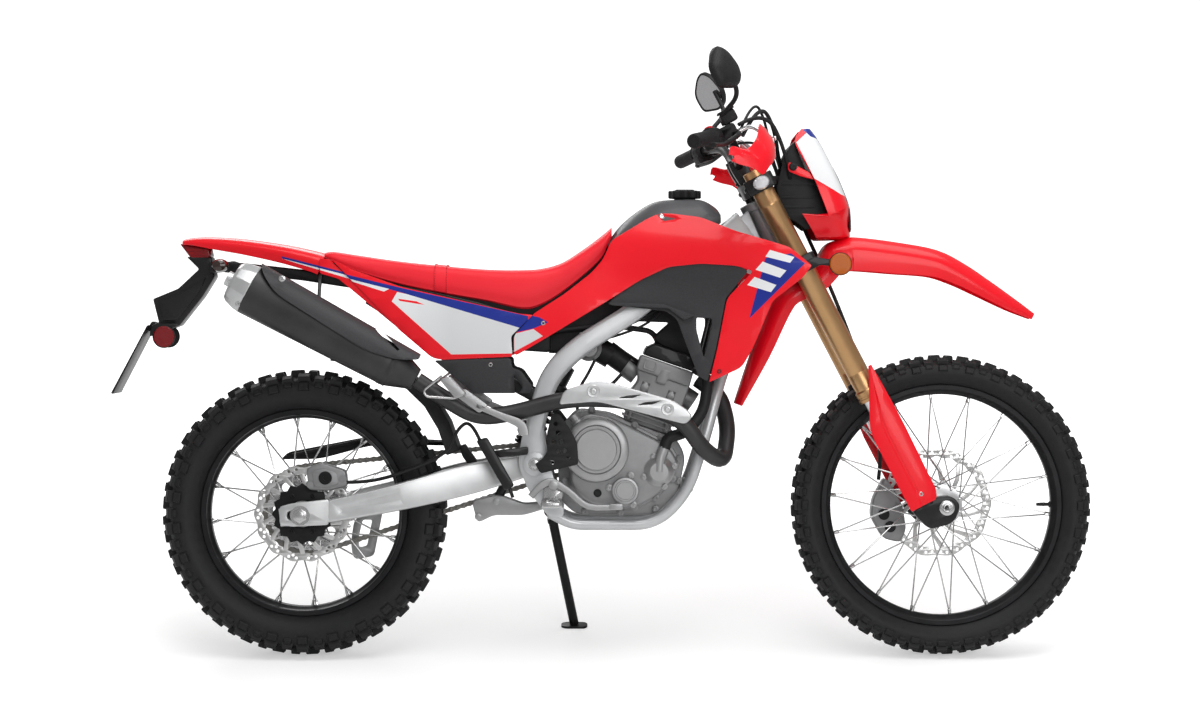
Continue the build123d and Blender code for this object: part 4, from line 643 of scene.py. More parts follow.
front_disc = wave_disc("front_disc_wave", 127, 22, 44, 64.5, 4, 10, 10, 26,
    ((-6, 9), (6, 9), (0, 16), (13, 12), (23, 12)))
park(painted(front_disc, disc_steel), "front_wheel", "steel", "front_disc", place=FRONT_WHEEL)
carrier = [plate("front_carrier_ring", [ring(52, 48), ring(30, 32)], 61, 67.5, 0.8)]
carrier += [bolt("carrier_bolt", *about(45, 72 * i + 18), 67.5, 72, 4.2) for i in range(5)]
fit("front_disc_carrier", carrier, bright_alloy, "front_wheel", "alloy", place=FRONT_WHEEL)
rear_disc = wave_disc("rear_disc_wave", 110, 20, 44, -70.5, 4, 14, 14, 14, ((-5, 9), (5, 9), (0, 14.5)))
park(painted(rear_disc, disc_steel), "rear_wheel", "steel", "rear_disc", place=REAR_WHEEL)
spiked = [about(62 if i % 2 else 70, 11.25 * i) for i in range(32)]
carrier = [plate("rear_carrier_ring", [spiked, ring(30, 32)], -73.6, -67.4, 0.6)]
carrier += [bolt("carrier_bolt", *about(47, 60 * i), -73.6, -77.5, 4.2) for i in range(6)]
fit("rear_disc_carrier", carrier, black_steel, "rear_wheel", "black_metal", place=REAR_WHEEL)

# ---- Shrouds, side panels and louvres: the outer skin ---------------------------------------------
# Thin injection-moulded panels, gloss red with moulded-in white and blue fields, and dark grey
# louvred ducts behind the shrouds; they hook into each other and are held by button screws.
FLANK_LEVELS = (1040, 990, 940, 890, 850, 800, 740, 670, 600)
#         x      half width of the skin at each of FLANK_LEVELS
FLANK = [(-320, 52, 56, 60, 66, 71, 74, 74, 74, 74),
         (0.0, 88, 92, 96, 100, 107, 113, 115, 116, 116),
         (250, 98, 104, 109, 114, 120, 126, 128, 128, 128),
         (420, 98, 105, 112, 119, 125, 131, 133, 132, 131),
         (520, 98, 106, 114, 122, 127, 133, 135, 134, 132),
         (620, 98, 108, 119, 126, 130, 139, 143, 143, 142),
         (720, 98, 113, 128, 132, 134, 143, 151, 152, 151),
         (820, 100, 122, 143, 150, 147, 154, 165, 168, 167),
         (920, 106, 136, 162, 171, 167, 170, 178, 180, 176),
         (1030, 112, 152, 180, 192, 190, 189, 191, 190, 184),
         (1170, 128, 166, 194, 206, 206, 205, 205, 203, 199)]


def skin(name, rows, thick, closed=False, ends=False, degrees=40):
    """Rows of points joined into a skin, given a wall if it has a thickness."""
    wide = len(rows[0])
    points = [point for row in rows for point in row]
    faces = []
    for i in range(len(rows) - 1):
        for k in range(wide if closed else wide - 1):
            a, b = i * wide + k, i * wide + (k + 1) % wide
            faces.append((a, b, b + wide, a + wide))
    if ends:
        faces += [tuple(range(wide)), tuple(range(len(points) - wide, len(points)))]
    piece = tidy_mesh(drawn(name, points, faces=faces))
    if thick:
        wall = piece.modifiers.new("wall", "SOLIDIFY")
        wall.thickness, wall.offset = abs(thick), -1 if thick > 0 else 1
        bpy.ops.object.modifier_apply(modifier="wall")
    return soften(piece, degrees)


def carve(piece, tool, operation="DIFFERENCE"):
    """Cuts a tool out of a piece, or keeps only what both hold, and removes the tool."""
    alone(piece)
    cut = piece.modifiers.new("cut", "BOOLEAN")
    cut.operation, cut.object, cut.solver = operation, tool, "EXACT"
    bpy.ops.object.modifier_apply(modifier="cut")
    bpy.data.objects.remove(tool)
    return piece


def edged(piece, width, segments=2, degrees=45, smooth=40):
    """Eases every edge sharper than an angle."""
    alone(piece)
    ease = piece.modifiers.new("ease", "BEVEL")
    ease.width, ease.segments = width, segments
    ease.limit_method, ease.angle_limit = "ANGLE", math.radians(degrees)
    ease.use_clamp_overlap = True
    bpy.ops.object.modifier_apply(modifier="ease")
    return soften(piece, smooth)


def mirrored(piece, name):
    """The same piece on the machine's other side."""
    copy = alone(copied(piece, Matrix.Diagonal((1, -1, 1, 1))))
    copy.name = name
    copy.data.flip_normals()
    return copy


def rounded(outline, radius, steps=3):
    """A closed outline with its corners rounded off."""
    points = []
    count = len(outline)
    for i in range(count):
        before, corner, after = (Vector((*outline[k % count][:2], 0)) for k in (i - 1, i, i + 1))
        size = outline[i][2] if len(outline[i]) > 2 else radius
        back, ahead = before - corner, after - corner
        reach = min(size, 0.45 * back.length, 0.45 * ahead.length)
        start, end = corner + back.normalized() * reach, corner + ahead.normalized() * reach
        for step in range(steps + 1):
            t = step / steps
            spot = start * (1 - t) ** 2 + corner * 2 * t * (1 - t) + end * t ** 2
            points.append((spot.x, spot.y))
    return points


def flank_skin(name, inset, thick):
    """The whole left flank as one smooth skin."""
    rows = []
    for x, *widths in eased(FLANK, 5):
        rows.append([(x, y - inset, z) for y, z in eased(list(zip(widths, FLANK_LEVELS)), 4)])
    return skin(name, rows, -thick, degrees=60)


def panel(name, outline, inset, thick=3.0, holes=(), corner=6.0, ease=0.9):
    """A skin panel of the left flank, cut to its side outline."""
    piece = flank_skin(name, inset, thick)
    piece = carve(piece, slab("outline", outline, corner, 10, 280, 0.01), "INTERSECT")
    for hole in holes:
        piece = carve(piece, slab("hole", hole, corner, 5, 285, 0.01))
    return edged(piece, ease, 2, 50)


def halves(name, pieces, paint, body, slot, *nodes, place=LEANED):
    """Parks a left piece, given whole or in parts, and its mirror image."""
    left = joined(name, pieces) if isinstance(pieces, list) else pieces
    right = mirrored(left, f"{name}_right")
    left.name = f"{name}_left"
    for half in (left, right):
        park(painted(half, paint), body, slot, *nodes, place=place)


RED = (0.90, 0.003, 0.014)
WHITE, LIGHT_GREY, BLUE = (0.82, 0.83, 0.84), (0.66, 0.67, 0.68), (0.006, 0.022, 0.26)


def field(x, z, corners):
    """1 inside a convex polygon of (x, z) corners in millimetres, else 0."""
    count = len(corners)
    middle = [sum(corner[k] for corner in corners) / count for k in (0, 1)]
    inside = None
    for i in range(count):
        (x0, z0), (x1, z1) = corners[i], corners[(i + 1) % count]
        a, b = z1 - z0, x0 - x1
        if a * (middle[0] - x0) + b * (middle[1] - z0) < 0:
            a, b = -a, -b
        side = (x * (a * 1000) + z * (b * 1000) - (a * x0 + b * z0)) > 0.0
        inside = side if inside is None else inside * side
    return inside


def gloss_red(name):
    """Red moulding with a thin clear gloss and slight ripple."""
    paint = Paint(name, RED, 0.3, coat_weight=0.28, coat_roughness=0.08)
    ripple = paint.noise(14, 2.0)
    paint.set("Roughness", ripple * 0.08 + 0.27)
    paint.set("Normal", paint.node("Bump", None, Strength=0.10, Distance=0.0004,
        Height=paint.noise(700, 2.0)))
    return paint, paint.blend(ripple, RED, tuple(channel * 0.90 for channel in RED))


def side_position(paint):
    """The upright machine's X and Z in metres, from a leaned piece's coordinates."""
    place = paint.upright()
    split = paint.nodes.new("ShaderNodeSeparateXYZ")
    paint.links.new(place.socket, split.inputs[0])
    return Wire(paint, split.outputs[0]), Wire(paint, split.outputs[2])


def flashed(paint, tint, fields):
    """Lays flat fields of colour over a tint, each a convex polygon in the side view."""
    x, z = side_position(paint)
    for corners, shade in fields:
        tint = paint.blend(field(x, z, corners), tint, shade)
    paint.set("Base Color", tint)
    return paint


red_gloss, red_tint = gloss_red("red_gloss")
red_gloss.set("Base Color", red_tint)

SHROUD_FIELDS = [([(1127, 890), (1096, 912), (1040, 902), (998, 742), (964, 727)], BLUE),
                 ([(1104, 904), (1050, 920), (1040, 905), (1094, 891)], WHITE),
                 ([(1086, 874), (1034, 894), (1018, 876), (1072, 858)], WHITE),
                 ([(1064, 842), (1016, 860), (1000, 842), (1052, 826)], WHITE),
                 ([(566, 754), (538, 770), (478, 784), (470, 722), (524, 745)], BLUE),
                 ([(524, 744), (481, 733), (481, 693), (545, 728)], LIGHT_GREY)]
shroud_paint = flashed(*gloss_red("shroud_red"), SHROUD_FIELDS)

side_paint, tint = gloss_red("side_panel_red")
SHADE_FROM, SHADE_TO = 0.24, 0.34  # metres ahead of the rear spindle, where white turns light grey
fade = side_paint.node("MapRange", None, side_position(side_paint)[0], SHADE_FROM, SHADE_TO, 0.0, 1.0)
ground = side_paint.blend(fade, WHITE, LIGHT_GREY)
SIDE_FIELDS = [([(218, 827), (512, 764), (512, 690), (340, 687), (206, 806)], ground),
               ([(60, 877), (224, 837), (224, 827), (60, 869)], BLUE),
               ([(224, 837), (512, 773), (512, 741), (224, 827)], BLUE),
               ([(100, 859), (200, 834), (188, 828), (118, 850)], WHITE),
               ([(220, 812), (262, 806), (280, 798), (224, 807)], RED)]
flashed(side_paint, tint, SIDE_FIELDS)

SHROUD = [(481, 682), (479, 728), (527, 780, 2), (594, 823), (654, 870), (680, 900), (699, 943),
    (805, 1007, 30), (898, 995), (976, 963), (1054, 939), (1095, 926), (1142, 885, 4), (1122, 858),
    (1056, 807), (1014, 705), (988, 659), (916, 626, 3), (934, 701), (956, 813, 12), (1013, 873, 8),
    (976, 885), (898, 890), (826, 883), (762, 853), (680, 801), (559, 728)]
shroud = panel("shroud", SHROUD, 0.0, corner=12)
tunnel = slab("vent_cut", [(800, 1001), (816, 986), (845, 991)], 3, 90, 130, 0.01)
shroud = carve(shroud, tunnel)
halves("shroud", shroud, shroud_paint, "chassis", "red_gloss", "shrouds")

SIDE_PANEL = [(67, 902), (113, 879), (224, 839.5), (396, 800), (494, 778), (523, 776), (474, 728),
    (477, 682), (319, 675), (297, 679, 20), (224, 741)]
halves("side_panel", panel("side_panel", SIDE_PANEL, 0.0, corner=5.0), side_paint, "chassis",
    "red_gloss", "side_panels")

grey_moulding = Paint("grey_moulding", (0.030, 0.030, 0.032), 0.46)
grey_moulding.two_tone(300, 3.0, (0.024, 0.024, 0.026), (0.044, 0.044, 0.047)).grain(1300, 0.0004, 0.5)

LOUVRE = [(690, 799), (748, 860), (820, 893), (898, 900), (970, 892), (1002, 873), (953, 813),
    (931, 701), (912, 628, 4), (893, 638), (861, 720, 20), (845, 767, 20), (820, 784)]
WINDOW = [(888, 770), (922, 768), (922, 750), (904, 680), (888, 742)]
duct = panel("louvre", LOUVRE, 4.0, holes=[WINDOW], corner=5.0, ease=1.4)
lip = flank_skin("lip", 4.0, 12)
band = slab("band", [(860, 764), (826, 790), (700, 797), (690, 803), (812, 800), (884, 774)], 3, 10,
    280, 0.01)
lip = edged(carve(lip, band, "INTERSECT"), 1.0, 2, 50)
halves("louvre", [duct, lip], grey_moulding, "chassis", "black_plastic", "louvres")

LOWER_COVER = [(300, 674), (442, 557), (470, 548), (491, 551), (522, 614), (496, 651), (475, 657),
    (474, 679), (319, 674)]
cover = panel("lower_cover", LOWER_COVER, 1.0, corner=8.0, ease=1.2)
cover = carve(cover, slab("recess", [(480, 640), (500, 612), (483, 590)], 3, 129.3, 140, 0.01))
halves("lower_cover", cover, grey_moulding, "chassis", "black_plastic", "lower_covers")

# Button screws of the bodywork, each in a dished seat.
screw_steel = Paint("screw_steel", (0.66, 0.66, 0.66), 0.2, 1.0).wear(0.06, 90, 0.12)
dark_red = Paint("dark_red_screw", (0.16, 0.004, 0.010), 0.35, coat_weight=0.4).wear(0.05, 80, 0.2)


def flank_y(x, z):
    """The left flank's half width at a point of the side view."""
    near = min(eased(FLANK, 5), key=lambda station: abs(station[0] - x))
    line = eased(list(zip(near[1:], FLANK_LEVELS)), 4)
    return min(line, key=lambda spot: abs(spot[1] - z))[0]


#           name              finish       slot        radius  places (x, z)
SCREWS = [("panel_screw", screw_steel, "steel", 5.2, [(546, 757), (428, 664), (812, 997)]),
          ("shroud_screw", dark_red, "red_gloss", 5.0, [(938, 650)])]
for name, paint, slot, radius, spots in SCREWS:
    heads = [bolt("head", x, z, flank_y(x, z) - 1.0, flank_y(x, z) + 5.0, radius) for x, z in spots]
    halves(name, heads, paint, "chassis", slot)

# ---- Tail: arched cowl with its side blades -------------------------------------------------------
# One gloss red moulding that runs back from the seat to a point over the tail lamp, creased along
# both shoulders, with a white and blue flash; blades run down inside the side panels.
FLASH = [([(-45, 903), (120, 862), (120, 854), (-10, 892)], WHITE),
         ([(-45, 908), (120, 866), (120, 861), (-45, 903)], BLUE)]
tail_paint = flashed(*gloss_red("tail_red"), FLASH)


def arch(name, stations, section, thick, steps=6, degrees=50):
    """A skin over stations of x, z and sizes; section gives the left half of each, crown first."""
    dense = eased(stations, steps)
    rows = []
    for i, (px, pz, *sizes) in enumerate(dense):
        before, after = dense[max(i - 1, 0)], dense[min(i + 1, len(dense) - 1)]
        along = Vector((after[0] - before[0], 0, after[1] - before[1])).normalized()
        up = Vector((-along.z, 0, along.x))
        half = section(*sizes)
        whole = [(-y, drop) for y, drop in reversed(half[1:])] + half
        rows.append([tuple(Vector((px, y, pz)) + up * drop) for y, drop in whole])
    return skin(name, rows, thick, degrees=degrees)


def crowned(half, depth, drop):
    """A broad crown, a soft shoulder and a straight side."""
    points = [(0, 1.2), (0.35 * half, 0.6), (0.62 * half, -1.0), (0.86 * half, -0.45 * drop),
        (0.97 * half, -drop), (half, -drop - 0.25 * (depth - drop)), (half, -0.5 * (depth + drop)),
        (half - 1, -depth)]
    return eased(points, 2)


#        x      z    half depth drop
TAIL = [(-277, 943.5, 34, 7, 4),
        (-250, 948.5, 46, 15, 7),
        (-200, 949, 56, 25, 9),
        (-131, 944, 66, 32, 10),
        (-40, 931, 82, 39, 11),
        (30, 916, 92, 44, 12),
        (52, 909, 95, 45, 12)]
deck = edged(arch("tail_deck", TAIL, crowned, -3.0), 0.8, 2, 60)
park(painted(deck, tail_paint), "chassis", "red_gloss", "tail_cowl")
TAIL_SIDE = [(262, 711), (85, 857), (43, 869), (41, 903), (62, 902), (224, 752)]
halves("tail_blade", panel("tail_blade", TAIL_SIDE, 4.0, corner=4.0), tail_paint, "chassis",
    "red_gloss", "tail_cowl")

# ---- Front fender ---------------------------------------------------------------------------------
# A long flexible moulding bolted under the lower clamp, high over the tyre, with two creases along
# its top and a tail that hangs down behind the wheel.


def fender_section(half, depth, drop):
    """A flat middle between two creases, then sloping sides."""
    return [(0, 2.0), (0.30 * half, 1.6), (0.44 * half, 1.2), (0.50 * half, 3.0), (0.60 * half, 2.6),
            (0.80 * half, -0.35 * drop), (0.95 * half, -drop), (half, -drop - 0.2 * (depth - drop)),
            (half, -0.5 * (depth + drop)), (0.98 * half, -depth)]


#          x     z    half depth drop
FENDER = [(986, 572, 30, 12, 8),
          (1026, 690, 52, 34, 12),
          (1068, 798, 60, 42, 14),
          (1100, 838, 63, 42, 12),
          (1160, 872, 63, 46, 12),
          (1190, 928, 64, 62, 14),
          (1230, 944, 67, 70, 14),
          (1262, 946, 68, 70, 14),
          (1350, 935, 66, 66, 15),
          (1439, 918, 62, 57, 16),
          (1500, 888, 56, 47, 15),
          (1556, 851, 49, 37, 14),
          (1620, 806, 36, 24, 10),
          (1664, 774, 18, 10, 5)]
fender = arch("front_fender_shell", FENDER, fender_section, -3.0, steps=4)
park(painted(edged(fender, 0.9, 2, 60), red_gloss), "steering", "red_gloss", "front_fender")

# ---- Headlight mask -------------------------------------------------------------------------------
# A one-piece red mask round the lamp with a blank white number field over it and a blue corner.
COWL_FIELDS = [([(1118, 1166), (1150, 1196), (1290, 1060), (1157, 1083)], WHITE),
               ([(1157, 1083), (1290, 1070), (1290, 1032), (1219, 1047)], WHITE),
               ([(1134, 1196), (1156, 1206), (1182, 1172), (1152, 1180)], BLUE)]
cowl_paint = flashed(*gloss_red("cowl_red"), COWL_FIELDS)

#        rear x  z     front x  z    half width
COWL = [(1131, 1196, 1152, 1198, 46), (1114, 1167, 1172, 1172, 72), (1136, 1121, 1192, 1134, 88),
    (1158, 1078, 1209, 1098, 97), (1174, 1037, 1227, 1056, 102), (1188, 1000, 1239, 1022, 102),
    (1130, 1004, 1242, 996, 97), (1146, 979, 1240, 975, 87), (1162, 953, 1244, 956, 72),
    (1170, 949, 1228, 950, 50)]
rows = []
for rear_x, rear_z, front_x, front_z, half in eased(COWL[:6], 3) + eased(COWL[6:], 2):
    side = [(front_x + share * (rear_x - front_x), out * half, front_z + share * (rear_z - front_z))
        for share, out in ((0, 0), (0.02, 0.25), (0.06, 0.5), (0.14, 0.70), (0.26, 0.84), (0.44, 0.94),
        (0.7, 0.985), (1, 1))]
    rows.append([(x, -y, z) for x, y, z in reversed(side[1:])] + side)
mask = edged(skin("headlight_mask", rows, -3.0, degrees=32), 0.9, 2, 50)
lug = slab("mask_lug", [(1098, 1122), (1098, 1100), (1128, 1088), (1160, 1080), (1148, 1096),
    (1122, 1110)], 7, -92, -89, 0.6)
fit("headlight_mask", [mask, lug, mirrored(lug, "far_lug")], cowl_paint, "steering", "red_gloss",
    "headlight_cowl")
halves("mask_screw", bolt("mask_screw", 1109, 1110, 92, 97, 7), black_steel, "steering", "black_metal")

# ---- Frame: silver twin-spar steel frame ----------------------------------------------------------
# Two oval-cornered steel spars run from the cast head down to plates at the swingarm pivot; a round
# down tube splits into a cradle under the engine.  It is all welded and painted silver, and black
# rails bolt on behind.
silver_paint = Paint("silver_paint", (0.56, 0.57, 0.58), 0.34, 0.45, coat_weight=0.25)
silver_paint.two_tone(18, 3.0, (0.50, 0.51, 0.52), (0.62, 0.63, 0.64), 0.27, 0.12)
silver_paint.grain(900, 0.00015, 0.25)


def beam(name, stations, corner=7.0, steps=5):
    """A round-cornered box section through stations of x, z, y, height and width."""
    dense = eased(stations, steps)
    rows = []
    for i, (x, z, y, height, width) in enumerate(dense):
        before, after = dense[max(i - 1, 0)], dense[min(i + 1, len(dense) - 1)]
        along = Vector((after[0] - before[0], after[2] - before[2], after[1] - before[1])).normalized()
        across = Vector((0, 1, 0))
        up = across.cross(along).normalized()
        side = along.cross(up)
        box = [(-width / 2, -height / 2), (width / 2, -height / 2), (width / 2, height / 2),
            (-width / 2, height / 2)]
        rows.append([tuple(Vector((x, y, z)) + side * a + up * b) for a, b in rounded(box, corner, 3)])
    return skin(name, rows, 0, closed=True, ends=True, degrees=38)


def bent(points, bend, steps=6):
    """A line through points in space with its corners rounded to arcs of about the given reach."""
    line = [Vector(points[0])]
    for i in range(1, len(points) - 1):
        before, corner, after = Vector(points[i - 1]), Vector(points[i]), Vector(points[i + 1])
        reach = min(bend, 0.48 * (before - corner).length, 0.48 * (after - corner).length)
        start = corner + (before - corner).normalized() * reach
        end = corner + (after - corner).normalized() * reach
        for step in range(steps + 1):
            t = step / steps
            line.append(start * (1 - t) ** 2 + corner * 2 * t * (1 - t) + end * t ** 2)
    return line + [Vector(points[-1])]


def round_line(name, kind, points, radius, fineness):
    """A round curve of one spline through or towards the points."""
    curve = bpy.data.curves.new(name, "CURVE")
    curve.dimensions, curve.bevel_depth = "3D", radius
    curve.bevel_resolution, curve.use_fill_caps = fineness, True
    spline = curve.splines.new(kind)
    spline.points.add(len(points) - 1)
    for spot, place in zip(spline.points, points):
        spot.co = (*place, 1)
    return curve


def pipe(name, points, radius, bend=40, steps=6, fineness=4):
    """A round tube along bent runs."""
    curve = round_line(name, "POLY", bent(points, bend, steps), radius, fineness)
    return soften(tidy_mesh(from_curve(name, curve)), 45)


def across(x, z, y_from, y_to, radius, sides=32, name="turned_pin"):
    """A round bar lying across the machine."""
    return round_bar(name, (x, y_from, z), (x, y_to, z), radius, sides)


SPAR = [(1004, 976, 34, 78, 24),
        (905, 904, 74, 58, 26),
        (820, 842, 84, 48, 27),
        (750, 784, 88, 46, 27),
        (690, 745, 93, 46, 25),
        (637, 711, 96, 47, 25),
        (588, 668, 98, 48, 25),
        (556, 622, 98, 46, 25),
        (536, 560, 98, 44, 25),
        (524, 500, 98, 42, 25)]
PIVOT = (527, 440)  # x and z of the pin that the swingarm turns on
PIVOT_PLATE = [(501, 522, 2), (547, 522, 2), (562, 430, 20), (592, 350, 10), (592, 322, 8),
    (560, 318, 10), (512, 380, 20), (488, 440, 20)]
CRADLE = [(969, 8, 686), (938, 62, 600), (915, 78, 510), (872, 78, 375), (800, 78, 302), (610, 78, 302),
    (560, 88, 330)]
spar = [beam("spar", SPAR, 9.0, 4)]
spar.append(beam("weld", [(645, 717, 95.5, 49.5, 27.4), (641, 714.2, 95.7, 49.5, 27.4)], 9.5, 2))
bore = ring(9.4, 24, *PIVOT)
spar.append(edged(plate("pivot_plate", [rounded(PIVOT_PLATE, 8), bore], 86, 110, 2.0), 0.5, 1, 60))
spar.append(plate("pivot_boss", [ring(27, 32, *PIVOT), bore], 84.6, 113.5, 1.2))
spar.append(pipe("cradle", CRADLE, 13, 60, 8, 4))
spar.append(across(577, 350, 100, 113, 12, 24))
spar.append(bolt("cradle_bolt", 577, 350, 113, 117, 7))
halves("frame_side", spar, silver_paint, "chassis", "silver_paint", "frame")

RAIL = [(560, 735, 92, 29, 19),
        (400, 790, 88, 27, 19),
        (216, 831, 78, 27, 19),
        (0.0, 866, 62, 25, 17),
        (-190, 886, 52, 25, 17)]
STRUT = [(530, 590, 95, 27, 17),
         (330, 700, 92, 25, 17),
         (150, 812, 76, 25, 17)]
satin_black = Paint("satin_black", (0.014, 0.014, 0.015), 0.38, 0.2, coat_weight=0.2)
satin_black.wear(0.08, 35, 0.4)
rails = [beam("rail", RAIL, 4.0, 2), beam("strut", STRUT, 4.0, 2)]
halves("seat_rail", rails, satin_black, "chassis", "black_metal", "frame")
cross = [slab("rail_cross", [(-150, 856), (-121, 861), (-121, 884), (-150, 884)], 3, -55, 55, 1.0)]
cross.append(across(600, 665, -97, 97, 12, 24))
fit("rail_cross", cross, satin_black, "chassis", "black_metal", "frame")

# The head: a ribbed casting round the steering stem, with the down tube plugged into it.
cast_silver = Paint("cast_silver", (0.40, 0.41, 0.42), 0.42, 0.7).wear(0.08, 60, 0.15)
cast_silver.grain(300, 0.0005, 0.6)
HEAD_PLACE = LEANED.inverted() @ STEERED
head = lathe("head_tube", [(15.4, -167), (31, -167), (33, -165), (33, -150), (29, -146), (29, -40),
    (33, -36), (33, -19), (31, -17), (15.4, -17)], 40)
head.data.transform(HEAD_PLACE @ Matrix.Rotation(math.pi / 2, 4, "X"))
parts = [head, pipe("down_tube", [(1070, 0, 930), (965, 0, 672)], 17)]
GUSSET = [(1012, 1014, 4), (1046, 936, 4), (1020, 898, 10), (965, 890, 10), (905, 876, 8),
    (905, 930, 8), (960, 972, 10)]
for side in (1, -1):
    parts.append(slab("gusset", GUSSET, 8, side * 22, side * 42, 3.0, 2))
    for step in range(3):
        x, z = 958 + 17 * step, 912 + 10 * step
        parts.append(slab("rib", [(x, z), (x + 26, z + 30), (x + 32, z + 26), (x + 6, z - 4)], 2,
                           side * 41, side * 45, 1.0))
parts += [slab("gusset_web", [(1004, 1000), (1036, 930), (935, 885), (925, 925)], 8, -24, 24, 2.0)]
fit("head_casting", parts, cast_silver, "chassis", "silver_paint", "frame")

# ---- Swingarm -------------------------------------------------------------------------------------
# Tapered aluminium box arms welded to a cross box, each ending in a slotted plate for the spindle
# with its washer, nut and chain adjuster screw.
brushed_alloy = Paint("brushed_alloy", (0.58, 0.585, 0.59), 0.36, 0.75)
brushed_alloy.two_tone(40, 4.0, (0.52, 0.525, 0.53), (0.64, 0.645, 0.65), 0.27, 0.16)
ARM = [(527, 440, 60, 48, 34),
       (450, 421, 62, 60, 32),
       (359, 400, 80, 69, 29),
       (230, 368, 106, 61, 27),
       (70, 335, 110, 51, 27),
       (-46, 320, 110, 41, 27)]
arm = beam("arm", ARM, 6.0, 4)
CHANNEL = [(330, 406, 4), (330, 384, 4), (90, 330, 4), (90, 344, 4)]
arm = carve(arm, slab("channel", CHANNEL, 5, 120, 140, 0.01))
arm = carve(arm, slab("slot", [(-30, 314), (14, 314), (14, 336), (-30, 336)], 10, 60, 150, 0.01))
arm = [edged(arm, 1.2, 2, 50)]
arm.append(plate("end_plate", [rounded([(-46, 345), (-20, 352), (64, 362), (64, 304), (-20, 300),
    (-46, 306)], 6), rounded([(-30, 314), (14, 314), (14, 336), (-30, 336)], 10)], 121.5, 124.4, 0.8))
halves("swing_arm", arm, brushed_alloy, "chassis", "alloy", "swingarm")
box = [slab("arm_cross_box", [(377, 373), (440, 392), (451, 431), (377, 431)], 8, -70, 70, 2.0),
       across(*PIVOT, -85.6, 85.6, 24, 32)]
fit("arm_cross_box", box, brushed_alloy, "chassis", "alloy", "swingarm")

spindle = []
for side in (1, -1):
    spindle.append(lathe("spacer", [(10, side * 71), (16, side * 71), (16, side * 95.5),
        (10, side * 95.5)], 32))
    spindle.append(lathe("washer", [(10, side * 124.5), (22, side * 124.5), (22, side * 128),
        (10, side * 128)], 32))
    spindle.append(round_bar("nut", (0, side * 128, 0), (0, side * 136, 0), 17, 6))
    spindle.append(round_bar("adjuster", (-44, side * 117, 0), (-30, side * 117, 0), 4, 8))
spindle.append(round_bar("shaft", (0, -139, 0), (0, 139, 0), 10, 24))
moved(spindle, REAR_AXLE)
for side in (1, -1):
    spindle.append(turned_at("pivot_washer", [(0.01, side * 110.5), (15, side * 110.5),
        (15, side * 115), (0.01, side * 115)], *PIVOT, 24))
    spindle.append(across(*PIVOT, side * 115, side * 118.8, 11, 6))
fit("spindles", spindle, spoke_steel, "chassis", "steel", "axles")

# ---- Tank and cap ---------------------------------------------------------------------------------
# The tank's top shows between the shrouds as a satin dark cover with a raised rim at its front and a
# lobed black screw cap.
tank_cover = Paint("tank_cover", (0.075, 0.076, 0.08), 0.42, 0.1, coat_weight=0.1)
tank_cover.two_tone(220, 3.0, (0.065, 0.066, 0.07), (0.095, 0.096, 0.10)).grain(1100, 0.0003, 0.4)
#        x      keel y,z      side y,z      top y,z        crown z
TANK = [(692.5, 54, 914, 68, 926, 34, 940, 943),
        (702, 56, 913, 80, 932, 40, 950, 956),
        (722, 58, 909, 92, 940, 50, 976, 981),
        (760, 62, 912, 101, 950, 58, 1006, 1012),
        (802, 65, 930, 106, 968, 62, 1028, 1034),
        (860, 65, 938, 110, 974, 62, 1033, 1038.5),
        (905, 64, 942, 110, 974, 58, 1031, 1037.5),
        (935, 48, 975, 92, 984, 48, 1016, 1022),
        (947, 38, 988, 80, 990, 42, 1004, 1009)]
rows = []
for x, ky, kz, sy, sz, ty, tz, cz in eased(TANK, 4):
    half = [(0, cz), (0.55 * ty, cz - 0.6), (ty, tz), (0.5 * (ty + sy) + 5, 0.5 * (tz + sz) + 6),
        (sy, sz + 4), (sy, sz - 6), (0.5 * (sy + ky), 0.5 * (sz + kz) - 5), (ky, kz), (0, kz)]
    half = eased(half, 3)
    rows.append([(x, y, z) for y, z in half] + [(x, -y, z) for y, z in half[-2:0:-1]])
tank = skin("tank_cover", rows, 0, closed=True, ends=True, degrees=55)
tank = carve(tank, round_bar("neck_hole", (868, 0, 1024), (868, 0, 1060), 24.6, 40))
park(painted(edged(tank, 2.5, 3, 60), tank_cover), "chassis", "black_plastic", "fuel_tank")

black_moulding = Paint("black_moulding", (0.012, 0.012, 0.013), 0.5).wear(0.08, 40, 0.35)
black_moulding.grain(1400, 0.0004, 0.55)
cap = plate("cap_lobes", [ring(35.5, 96, 868, 0, wave=2.0, waves=8)], -19, -1, 3.0, 3)
cap = [cap, slab("cap_bar", [(846, -9), (890, -9), (890, 9), (846, 9)], 8, -22, -18, 2.0, 2),
       plate("cap_neck", [ring(24, 40, 868, 0)], -2, 12, 0.5)]
moved(cap, Matrix.Translation((0, 0, 1040.5)) @ Matrix.Rotation(-math.pi / 2, 4, "X"))
fit("filler_cap", cap, black_moulding, "chassis", "black_plastic", "fuel_cap")

# ---- Seat -----------------------------------------------------------------------------------------
# A one-piece foam saddle under stretched red vinyl, stapled beneath; it is crowned, narrow at the
# tank, and a sewn strap crosses it behind the rider.
seat_vinyl = Paint("seat_vinyl", (0.86, 0.012, 0.026), 0.46)
pebble = seat_vinyl.node("TexVoronoi", {"feature": "DISTANCE_TO_EDGE"}, Scale=900)
seat_vinyl.two_tone(9, 2.0, (0.90, 0.014, 0.030), (0.80, 0.010, 0.024), 0.42, 0.10)
seat_vinyl.set("Normal", seat_vinyl.node("Bump", None, Strength=0.35, Distance=0.0003, Height=pebble))
